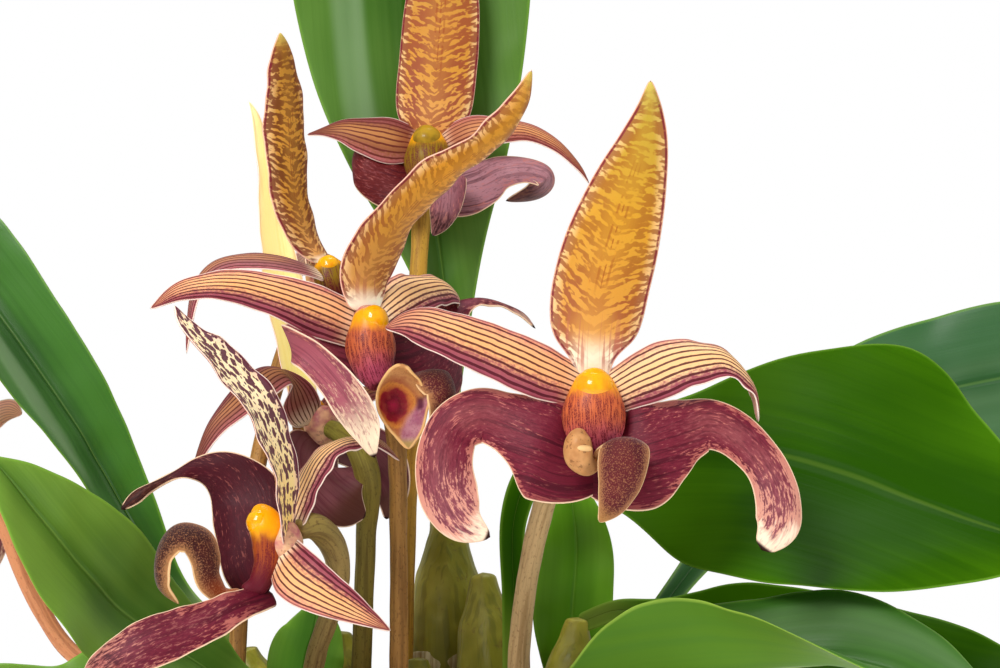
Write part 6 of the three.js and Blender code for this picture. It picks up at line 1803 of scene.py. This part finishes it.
def blooms() -> List[Bloom]:
    """The seven blooms of the plant, nearest first."""
    gold = DorsalFinish("gold_dorsal_sepal")
    left = PetalFinish("striped_petal_left", -1.0, "F0AE7A", reach=-0.05)
    right = PetalFinish("striped_petal_right", 1.0, "F4C692")
    wine = LateralFinish("wine_sepal")
    skin = ColumnFinish("dotted_column")
    cap = CapFinish("golden_cap", "FFB400", "F29A08", 0.2, 0.0, 0.6)
    tan = StalkFinish("tan_scape", "CCAC7A", "8E6A3C", "C89462")
    brown_stem = StalkFinish("brown_scape", "B08040", "6A4420", "BC8C42")
    olive_cap = CapFinish("olive_cap", "B08A1C", "846414", 0.4, 0.0, 0.15)
    front = Dress(gold, (left, right), (wine, wine), skin, cap, tan)
    turned = replace(
        front,
        dorsal=DorsalFinish(
            "amber_dorsal_sepal", "AC6A1E", "A0562C", "D8942C", 0.1, painted_glow=0.08, bare=0.1, top="CE9030"),
        laterals=(LateralFinish("folded_sepal", "8A3A46", "9A5058", 0.5, 1.0, "9A4A58", fleck="C08080"),
                  LateralFinish("deep_wine_sepal", "661428", "743040", 0.5, 0.3, end="8A3A3A")),
        stem=brown_stem,
    )
    dark = LateralFinish("dark_sepal", "420C18", "4C121E", 0.1, 0.0, "48121E", "4A2418", "2A1210", "742C34")
    side = replace(
        front,
        dorsal=DorsalFinish("leopard_sepal", outside="FAE6B8", foot="F0CC78", painted_glow=0.14),
        laterals=(
            LateralFinish("speckled_sepal", "64182A", "742838", 0.7, 0.3, end="A85A50", fleck="C07C70"),
            dark,
        ),
        column=ColumnFinish("orange_column", "9C4820", "601624", 0.22),
        stem=StalkFinish("olive_striped_scape", "AC9258", "62442A", "988240"),
        lip=LipFinish("dark_lip", "300C0C", "421410", 0.8),
    )
    brown = PetalFinish("brown_petal", 1.0, "94583A", "743430", "642620", 9.0, "7A4038")
    rear = Dress(
        DorsalFinish("blotched_sepal", "96482A", "8E3C2C", "C88A38", 0.5, 0.9, bare=0.05),
        (brown, PetalFinish("rosy_petal", 1.0, "B87454", "8E4A3A", "6A2A20", 9.0, "8A4438")),
        (LateralFinish("shaded_sepal", "621818", "6E2424", 0.2, 0.0, "9A5A52", "6A3428"),
         LateralFinish("mauve_sepal", "A06E76", "B08088", 0.5, 0.0, "6A3A2C", "4A2418")),
        ColumnFinish("olive_column", "8A6A14", "7A2A30"), olive_cap,
        StalkFinish("golden_scape", "C09030", "8A5A22", "C8A040"),
        LateralFinish("mauve_lip", "8A5058", "A06E76", 0.5, 0.0, "6A3A2C", "7A4848"),
    )
    profile = replace(
        rear,
        dorsal=DorsalFinish(
            "dark_blotched_sepal", "6A2C16", "74301C", "D8983A", 0.35, 1.1, bare=0.05, top="B8802C"),
        petals=(PetalFinish("dark_petal", 1.0, "94585A", "743240", "5A2420"), brown),
        laterals=(dark, dark),
        cap=cap,
        stem=brown_stem,
        lip=front.lip,
    )
    umber = LateralFinish("umber_sepal", "42181A", "4E2422", 0.4, 0.0, "42201E", "5A3426")
    away = replace(
        profile,
        dorsal=DorsalFinish("pale_sepal", outside="FDEC9C", foot="EBDC7E", spots=0.0, painted_glow=0.65),
        petals=(PetalFinish("dull_petal", 1.0, "94584C", "743438", "5A241E", 9.0, "6A3428"), brown),
        laterals=(umber, umber),
        column=ColumnFinish("shaded_column", "8E6420", "5E2A20"),
        cap=olive_cap,
        stem=StalkFinish("olive_scape", "8E7E34", "5E4E1E", "8F8A34"),
    )
    peach = PetalFinish("peach_petal", 1.0, "F0A87C", "E08A60", "C87850", 9.0, "E8935E")
    far = replace(front, petals=(peach, peach), stem=StalkFinish("rusty_scape", "C88458", "9A5A38", "C88458"))
    return [
        Bloom("bloom_a", FRONT_BLOOM, [28.8, -45, 163.8], scape=[
            [14, -8, 85, 2.5], [14, -8, 99.3, 2.5], [14.2, -12, 112.4, 2.4],
            [15.9, -18, 126.6, 2.3], [18.5, -25, 139.6, 2.4], [22.2, -33, 150.9, 2.3],
            [26.8, -38, 159.2, 2.2], [28.8, -40, 162.7, 1.8],
        ], dress=front, seed=1),
        Bloom("bloom_b", TURNED_BLOOM, [-17.1, -28, 177.8], scape=[
            [-11.5, -6, 85, 2.2], [-11.5, -6, 99, 2.2], [-11.6, -3, 120, 2],
            [-11.7, -5, 141.6, 2], [-12, -8, 154.5, 2.2], [-13.6, -13, 165.2, 2.6],
            [-15.8, -19, 173.7, 2.4], [-17.1, -23, 177.8, 1.8],
        ], dress=turned, look=(0.55, -0.84, 0), seed=101),
        Bloom("bloom_c", SIDE_BLOOM, [-37, -45, 131.8], scape=[
            [-30.8, -8, 85, 2.3], [-30.3, -8, 99.3, 2.3], [-28.8, -12, 109.3, 2.3],
            [-25.3, -18, 119.3, 2.3], [-23.5, -24, 128.1, 2.6], [-24.8, -31, 134.8, 2.9],
            [-28, -38, 138.2, 2.8], [-31.4, -42, 137.2, 1.9],
        ], dress=side, look=(-0.6, -0.8, 0), cap=0.85, seed=201),
        Bloom("bloom_d", BACK_BLOOM, [-6.4, 38, 218.9], scape=[
            [-11.5, 26, 85, 2], [-11.5, 26, 95.1, 2], [-10.9, 29, 126.2, 1.9],
            [-9.7, 35, 162, 1.9], [-8.8, 41, 189.4, 2], [-8, 45.6, 204.4, 2.2],
            [-7, 45, 214.7, 2], [-6.7, 42.6, 218.7, 1.6],
        ], dress=rear, turn=[-4, -2, -4], size=0.86, weave=Weave.FAR, seed=301),
        Bloom("bloom_e", PROFILE_BLOOM, [-26.4, -2, 190.3], scape=[
            [-46.9, 2, 85, 2.1], [-46.9, 2, 98.1, 2.1], [-46.7, 4, 110.8, 2],
            [-45.3, 8, 132.2, 2], [-41.8, 15, 155.9, 2], [-37.4, 19, 173.5, 2.2],
            [-31.6, 16.4, 185.2, 2.2], [-29.2, 5, 189.6, 1.6],
        ], dress=profile, look=(0.7, -0.7, 0), weave=Weave.FAR, seed=401),
        Bloom("bloom_f", AWAY_BLOOM, [-29.3, 2, 156.7], scape=[
            [-20, 2, 85, 2.3], [-20, 2, 98.1, 2.3], [-19.5, 0, 115.5, 2.2],
            [-18.6, -4, 135.1, 2.3], [-18, -9, 146, 2.9], [-20, -11, 152.9, 2.8],
            [-23.7, -6, 155.7, 2.4], [-26.9, -2, 156.9, 1.8],
        ], dress=away, look=(-0.7, 0.7, 0), weave=Weave.FAR, seed=501),
        Bloom("bloom_g", FRONT_BLOOM, [-115.8, 8, 145.7], scape=[
            [-52, -2, 85, 2], [-54.5, -1.6, 97, 2], [-66, 2, 102.5, 2],
            [-82, 6, 107, 2], [-92, 8, 121, 2], [-99, 9, 137, 2],
            [-106, 8, 145, 2.2], [-111.3, 6.4, 147.2, 1.6],
        ], dress=far, turn=[-118, 0, 0], size=0.9, weave=Weave.FAR, seed=601),
    ]


# ------------------------------------------------------------------ leaves


BRIGHT_LEAF = LeafFinish("bright_leaf", "466E1E", "6A9032", "74A040", "94B858")
RIGHT_LEAF = LeafFinish("right_leaf", "224A02", "3A6604", "5E8A34", "6E8A38", 0.02)
LEAF_FINISHES: Dict[str, LeafFinish] = {
    "leaf_back": LeafFinish("rear_leaf", "345E12", "52782A", "5A8A2C", "7FA040", painted_sheen=0.5, half=-1.0),
    "leaf_left_back": LeafFinish("left_leaf", "1E4A0A", "3A6E1C", "5E8A34", "7A9A48", 0.3, 0.42, -1.0),
    "leaf_left_front": BRIGHT_LEAF,
    "leaf_left_low": BRIGHT_LEAF,
    "leaf_right": RIGHT_LEAF,
    "leaf_right_front": LeafFinish("folded_leaf", "24500E", "447426", "54801E", "7CA836", painted_sheen=0.2),
    "leaf_middle": LeafFinish("deep_leaf", "568E10", "78B02A", "6A9A34", "8FB048"),
    "leaf_right_back": LeafFinish("blue_leaf", "2A5428", "386238", "54822C", "6E923A", 0.2, 0.2),
    "leaf_right_low": RIGHT_LEAF,
    "leaf_new_growth": LeafFinish("new_leaf", "4F8A24", "7FB23C", "8FBA50", "B5D06A"),
}


@dataclass
class Foliage:
    """All the leaves.

    Args:
        rows: Each leaf's stations by its name.
        thickness: The thickness of a leaf on its midrib.
        ruffle: The height of the waves at its margins.
    """

    rows: Dict[str, Rows]
    thickness: float = 1.5
    ruffle: float = 0.5

    def make(self) -> None:
        """Build and dress every leaf."""
        for i, (name, rows) in enumerate(self.rows.items()):
            blade = Blade(rows, self.thickness, 0.45, self.ruffle, waves=2.2, swell=0.25, seed=60 + i)
            piece = wrap(f"{name}_blade", blade, Weave.LEAF)
            dress(piece, LEAF_FINISHES[name], "leaf", [name])


# ------------------------------------------------------------------ bulbs, rhizome and roots


@dataclass
class Rootstock:
    """The creeping rhizome with its pseudobulbs, dry sheaths and roots.

    Args:
        bulbs: Foot, top and largest radius of each pseudobulb.
        runs: The paths of the rhizome over the bark.
        level: The height of the rhizome.
        thickness: The radius of the rhizome.
        roots: How many roots dip into the bark.
        root_reach: The least and greatest reach of a root.
        sheath: The least share of a pseudobulb that its sheath covers.
        sheath_gap: How much wider than the pseudobulb it is.
        neck: The least radius of a pseudobulb.
        outline: Share of the way up a pseudobulb, and its width there as a share of the largest.
    """

    bulbs: Sequence[Tuple[Row, Row, float]]
    runs: Sequence[Rows]
    level: float = 90.4
    thickness: float = 2.7
    roots: int = 26
    root_reach: Tuple[float, float] = (9, 17)
    sheath: float = 0.34
    sheath_gap: float = 0.35
    neck: float = 1.8
    outline: Rows = ((0, 0.5), (0.16, 0.86), (0.36, 1), (0.62, 0.86), (0.84, 0.52), (1, 0.34))

    def bulb_rows(self, foot: Row, top: Row, radius: float, reach: float = 1.0, grow: float = 0.0) -> Rows:
        """Stations of a pseudobulb, or of a sheath round its lower part.

        Args:
            foot: Where it stands.
            top: Its neck.
            radius: Its largest radius.
            reach: The share of it that the stations cover.
            grow: How much wider they are.

        Returns:
            The stations.
        """
        start = np.array([foot[0], foot[1], self.level - 1])
        end = np.array(top, dtype=float)
        table = np.array(self.outline)
        shares = np.linspace(0, reach, 7)
        widths = np.interp(shares, table[:, 0], table[:, 1])
        return [[*(start + (end - start) * s), max(radius * width, self.neck) + grow]
                for s, width in zip(shares, widths)]

    def make_bulbs(self) -> bpy.types.Object:
        """The pseudobulbs and the rhizome that joins them."""
        pieces = []
        for i, (foot, top, radius) in enumerate(self.bulbs):
            stalk = Stalk(self.bulb_rows(foot, top, radius), ribs=7, rib=0.045, uneven=0.25, seed=80 + i)
            pieces.append(wrap(f"pseudobulb_{i}", stalk, Weave.FAR))
        for i, run in enumerate(self.runs):
            rows = [[x, y, self.level, self.thickness] for x, y in run]
            pieces.append(wrap(f"rhizome_run_{i}", Stalk(rows, uneven=0.35, seed=95 + i), Weave.STEM))
        return join("pseudobulbs", pieces)

    def make_sheaths(self) -> bpy.types.Object:
        """Dry sheaths round the feet of the pseudobulbs."""
        pieces = []
        for i, (foot, top, radius) in enumerate(self.bulbs):
            rows = self.bulb_rows(foot, top, radius, self.sheath + 0.07 * (i % 3), self.sheath_gap)
            rows[-1][3] -= 0.9
            stalk = Stalk(rows, ribs=5, rib=0.05, uneven=0.5, seed=110 + i)
            pieces.append(wrap(f"sheath_{i}", stalk, Weave.FAR))
        return join("dry_sheaths", pieces)

    def make_roots(self) -> bpy.types.Object:
        """Roots that leave the rhizome and dip into the bark."""
        draw = random.Random(31)
        pieces = []
        for i in range(self.roots):
            run = self.runs[i % len(self.runs)]
            step = draw.randrange(len(run) - 1)
            blend = draw.random()
            x = run[step][0] + (run[step + 1][0] - run[step][0]) * blend
            y = run[step][1] + (run[step + 1][1] - run[step][1]) * blend
            heading = draw.uniform(0, 2 * math.pi)
            reach = draw.uniform(*self.root_reach)
            rows = []
            for k in range(6):
                t = k / 5
                wander = heading + 0.8 * math.sin(3 * t + i)
                rows.append([x + reach * t * math.cos(wander), y + reach * t * math.sin(wander),
                             self.level + 1.2 + 3.0 * math.sin(math.pi * t) - 8.0 * t * t, 0.75 - 0.15 * t])
            pieces.append(wrap(f"root_{i}", Stalk(rows, uneven=0.06, seed=130 + i), Weave.FINE_STEM))
        return join("roots", pieces)

    def make(self) -> None:
        """Build and dress the rootstock."""
        dress(self.make_bulbs(), BulbFinish("olive_pseudobulb"), "pseudobulb", ["rhizome"])
        dress(self.make_sheaths(), SheathFinish("papery_sheath"), "pseudobulb")
        dress(self.make_roots(), RootFinish("felted_root"), "pseudobulb")


# ------------------------------------------------------------------ bark and pot


@dataclass
class Bark:
    """Coarse bark that fills the pot.

    Args:
        level: The height of the fill.
        reach: The radius that the fill has at its top.
        chips: How many loose chips lie on it.
        size: Length, width and height of a chip.
        models: How many shapes of chip there are.
        growth: The least and greatest share of that size.
        tilt: How far a chip may lean, in radians.
        seed: What sets the lie of the chips.
    """

    level: float = 88.5
    reach: float = 60.0
    chips: int = 190
    size: Tuple[float, float, float] = (13.0, 8.0, 4.6)
    models: int = 5
    growth: Tuple[float, float] = (0.65, 1.35)
    tilt: float = 0.45
    seed: int = 7

    def make_fill(self) -> bpy.types.Object:
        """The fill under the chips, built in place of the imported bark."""
        rings = [(7, 10), (10, 38), (40, 46), (70, 54), (self.level - 5, self.reach - 0.4),
                 (self.level - 2, self.reach - 1.5), (self.level - 0.5, 30), (self.level, 6)]
        rows = [[0, 0, height, radius] for height, radius in rings]
        return wrap("packed_bark", Stalk(rows, uneven=0.0, seed=3), Weave.LEAF)

    def model_chip(self, seed: int) -> Tuple[np.ndarray, List[Tuple[int, ...]]]:
        """Model one chip from a block.

        Args:
            seed: What sets its shape.

        Returns:
            Its points at unit size and its faces.
        """
        clear_selection()
        bpy.ops.mesh.primitive_cube_add(size=1.0)
        block = bpy.context.object
        bpy.ops.object.mode_set(mode="EDIT")
        bpy.ops.mesh.select_all(action="SELECT")
        bpy.ops.mesh.subdivide(number_cuts=1)
        bpy.ops.mesh.bevel(offset=0.08, segments=1, affect="EDGES")
        bpy.ops.object.mode_set(mode="OBJECT")
        points = np.array([vertex.co[:] for vertex in block.data.vertices])
        faces = [tuple(face.vertices) for face in block.data.polygons]
        points[:, 0] += 0.10 * ripple(points, 0.9, seed)
        points[:, 1] += 0.12 * ripple(points, 0.8, seed + 1)
        points[:, 2] += 0.16 * ripple(points, 0.7, seed + 2)
        points[:, :2] *= (1 - 0.22 * (points[:, 2:3] + 0.5))
        scrap(block)
        return points, faces

    def make_chips(self) -> bpy.types.Object:
        """The loose chips, in one piece."""
        models = [self.model_chip(400 + 10 * k) for k in range(self.models)]
        draw = random.Random(self.seed)
        points: List[np.ndarray] = []
        faces: List[Tuple[int, ...]] = []
        tones: List[np.ndarray] = []
        start = 0
        golden = math.pi * (3 - math.sqrt(5))
        for i in range(self.chips):
            shape, around = models[i % len(models)]
            scale = np.array([side * draw.uniform(*self.growth) for side in self.size])
            lean = (draw.uniform(-self.tilt, self.tilt), draw.uniform(-self.tilt, self.tilt))
            turn = Euler((*lean, draw.uniform(0, 2 * math.pi)))
            ring = (self.reach - 7.5) * math.sqrt((i + 0.5) / self.chips)
            place = np.array([ring * math.cos(golden * i), ring * math.sin(golden * i),
                              self.level + draw.uniform(-1.5, 2.6)])
            turned = (shape * scale) @ np.array(turn.to_matrix()).T + place
            points.append(turned)
            faces.extend(tuple(start + k for k in face) for face in around)
            tones.append(np.full(len(turned), draw.random()))
            start += len(turned)
        mesh = bpy.data.meshes.new("bark_chips")
        mesh.from_pydata((np.vstack(points) * MM).tolist(), [], faces)
        note(mesh, "tone", np.concatenate(tones))
        piece = bpy.data.objects.new("bark_chips", mesh)
        bpy.context.scene.collection.objects.link(piece)
        sew(piece)
        bpy.ops.object.shade_smooth_by_angle(angle=math.radians(40))
        return piece

    def make(self) -> None:
        """Build and dress the bark."""
        finish = BarkFinish("fir_bark")
        fill = self.make_fill()
        note(fill.data, "tone", np.full(len(fill.data.vertices), 0.2))
        dress(fill, finish, "bark", ["bark"])
        dress(self.make_chips(), finish, "bark")


@dataclass
class Pot:
    """A tapered clay pot with a band under its rim.

    Args:
        foot: The radius of its foot.
        shoulder: The radius under the band.
        lip: The radius of the band.
        height: Its height.
        band: The height of the band.
        wall: The thickness of its wall.
        floor: The thickness of its foot.
        segments: How many sides its rings have.
        drains: How many drain holes its foot has.
        drain_ring: How far they are from the middle.
        drain_radius: Their radius.
    """

    foot: float = 44.0
    shoulder: float = 60.0
    lip: float = 65.0
    height: float = 96.0
    band: float = 20.0
    wall: float = 4.5
    floor: float = 6.0
    segments: int = 96
    drains: int = 3
    drain_ring: float = 24.0
    drain_radius: float = 4.0

    def profile(self) -> List[Tuple[float, float]]:
        """Radius and height from the foot, up the outside and down the inside."""
        top = self.height - self.band
        inner = self.lip - self.wall
        low = self.foot + (self.shoulder - self.foot) * self.floor / top - self.wall
        return [
            (self.foot - 2, 0), (self.foot - 0.6, 0.6), (self.foot, 2), (self.foot + 4.5, 22),
            (self.foot + 9, 42), (self.foot + 13, 62), (self.shoulder - 0.4, top - 3),
            (self.shoulder + 0.2, top - 1), (self.lip - 1.2, top - 0.5), (self.lip - 0.1, top + 0.8),
            (self.lip, top + 4), (self.lip, self.height - 4), (self.lip - 0.4, self.height - 1.4),
            (self.lip - 1.5, self.height - 0.2), (inner + 1.5, self.height),
            (inner + 0.3, self.height - 0.8), (inner, self.height - 3), (inner, top + 4),
            (self.shoulder - self.wall, top), (low, self.floor + 1), (low - 2, self.floor),
        ]

    def make_wall(self) -> bpy.types.Object:
        """Raise the pot from its foot, ring by ring."""
        profile = self.profile()
        clear_selection()
        bpy.ops.mesh.primitive_circle_add(vertices=self.segments, radius=profile[0][0] * MM, fill_type="NGON")
        piece = bpy.context.object
        piece.name = "clay_pot"
        piece.data.name = "clay_pot"
        bpy.ops.object.mode_set(mode="EDIT")
        bpy.ops.mesh.select_all(action="SELECT")
        for (radius, height), (wider, higher) in zip(profile, profile[1:]):
            bpy.ops.mesh.extrude_region_move(TRANSFORM_OT_translate={"value": (0, 0, (higher - height) * MM)})
            share = wider / radius
            bpy.ops.transform.resize(value=(share, share, 1), center_override=(0, 0, higher * MM))
        sew(piece)
        return piece

    def drain(self, piece: bpy.types.Object) -> None:
        """Cut the drain holes through the foot."""
        ring, radius, depth = self.drain_ring * MM, self.drain_radius * MM, 4 * self.floor * MM
        for i in range(self.drains):
            angle = 2 * math.pi * (i + 0.5) / self.drains
            clear_selection()
            place = (ring * math.cos(angle), ring * math.sin(angle), 0)
            bpy.ops.mesh.primitive_cylinder_add(vertices=24, radius=radius, depth=depth, location=place)
            drill = bpy.context.object
            take(piece)
            hole = piece.modifiers.new("drain", "BOOLEAN")
            hole.operation = "DIFFERENCE"
            hole.solver = "EXACT"
            hole.object = drill
            bpy.ops.object.modifier_apply(modifier=hole.name)
            scrap(drill)

    def make(self) -> None:
        """Build and dress the pot."""
        piece = self.make_wall()
        self.drain(piece)
        take(piece)
        bpy.ops.object.shade_smooth_by_angle(angle=math.radians(50))
        heights = np.array([vertex.co.z for vertex in piece.data.vertices]) / (self.height * MM)
        note(piece.data, "height", heights)
        dress(piece, ClayFinish("terracotta_clay"), "terracotta", ["pot"])


# ------------------------------------------------------------------ studio


@dataclass
class Studio:
    """The camera, the pale floor and the soft light.

    Args:
        eye: Where the camera stands, in millimetres.
        lens: Its focal length.
        ground: How far the floor reaches.
        sky: The strength of the even light.
        aim: The point that the lights face, in metres.
    """

    eye: Row = (10.0, -645.0, 177.0)
    lens: float = 108.0
    ground: float = 0.9
    sky: float = 0.4
    aim: Row = (0.0, 0.0, 0.16)

    def make_camera(self) -> None:
        """The camera, level and looking along +Y."""
        camera = bpy.data.cameras.new("front_camera")
        camera.lens = self.lens
        camera.sensor_width = 36.0
        camera.clip_start = 0.01
        stand = bpy.data.objects.new("front_camera", camera)
        stand.location = [side * MM for side in self.eye]
        stand.rotation_euler = (math.radians(90), 0, 0)
        bpy.context.scene.collection.objects.link(stand)
        bpy.context.scene.camera = stand

    def make_floor(self) -> None:
        """The floor under the pot."""
        clear_selection()
        bpy.ops.mesh.primitive_plane_add(size=2 * self.ground)
        floor = bpy.context.object
        floor.name = "pale_floor"
        bpy.ops.object.mode_set(mode="EDIT")
        bpy.ops.mesh.subdivide(number_cuts=3)
        bpy.ops.object.mode_set(mode="OBJECT")
        floor.data.materials.append(FloorFinish("pale_floor").material())

    def make_light(self, name: str, place: Row, size: float, power: float, shine: bool = True) -> None:
        """Hang one soft light.

        Args:
            name: Its name.
            place: Where it hangs, in metres.
            size: The side of its square, in metres.
            power: Its power in watts.
            shine: Whether it shows in glossy surfaces.
        """
        light = bpy.data.lights.new(name, "AREA")
        light.shape = "SQUARE"
        light.size = size
        light.energy = power
        lamp = bpy.data.objects.new(name, light)
        lamp.location = place
        lamp.visible_glossy = shine
        lamp.rotation_euler = (Vector(self.aim) - Vector(place)).to_track_quat("-Z", "Y").to_euler()
        bpy.context.scene.collection.objects.link(lamp)

    def make_sky(self) -> None:
        """Even white light from all round, brighter where the camera sees it."""
        world = bpy.data.worlds.new("white_room")
        bpy.context.scene.world = world
        r = Recipe(world)
        white = (1.0, 1.0, 1.0, 1.0)
        light = r.node("ShaderNodeBackground", {}, {"Color": white, "Strength": self.sky})
        seen = r.node("ShaderNodeBackground", {}, {"Color": white, "Strength": 1.0})
        seen_share = r.node("ShaderNodeLightPath", {}, {}).outputs["Is Camera Ray"]
        both = r.node("ShaderNodeMixShader", {}, {0: seen_share, 1: light.outputs[0], 2: seen.outputs[0]})
        r.node("ShaderNodeOutputWorld", {}, {"Surface": both.outputs[0]})

    def make(self) -> None:
        """Set the whole studio up."""
        self.make_camera()
        self.make_floor()
        self.make_sky()
        self.make_light("key_light", (-0.45, -0.75, 0.85), 0.4, 10.0)
        self.make_light("fill_light", (0.8, -0.7, 0.35), 0.6, 2.0, False)
        self.make_light("top_light", (0.1, 0.2, 1.0), 0.4, 3.0)
        bpy.context.scene.view_settings.view_transform = "Standard"
        LOG.info("studio ready")


def main() -> None:
    """Build the whole plant in its pot."""
    logging.basicConfig(level=logging.INFO, format="%(name)s: %(message)s")
    for bloom in blooms():
        bloom.make()
    Foliage(LEAVES).make()
    Rootstock(BULBS, RHIZOME_RUNS).make()
    Bark().make()
    Pot().make()
    Studio().make()
    clear_selection()


if __name__ == "__main__":
    main()
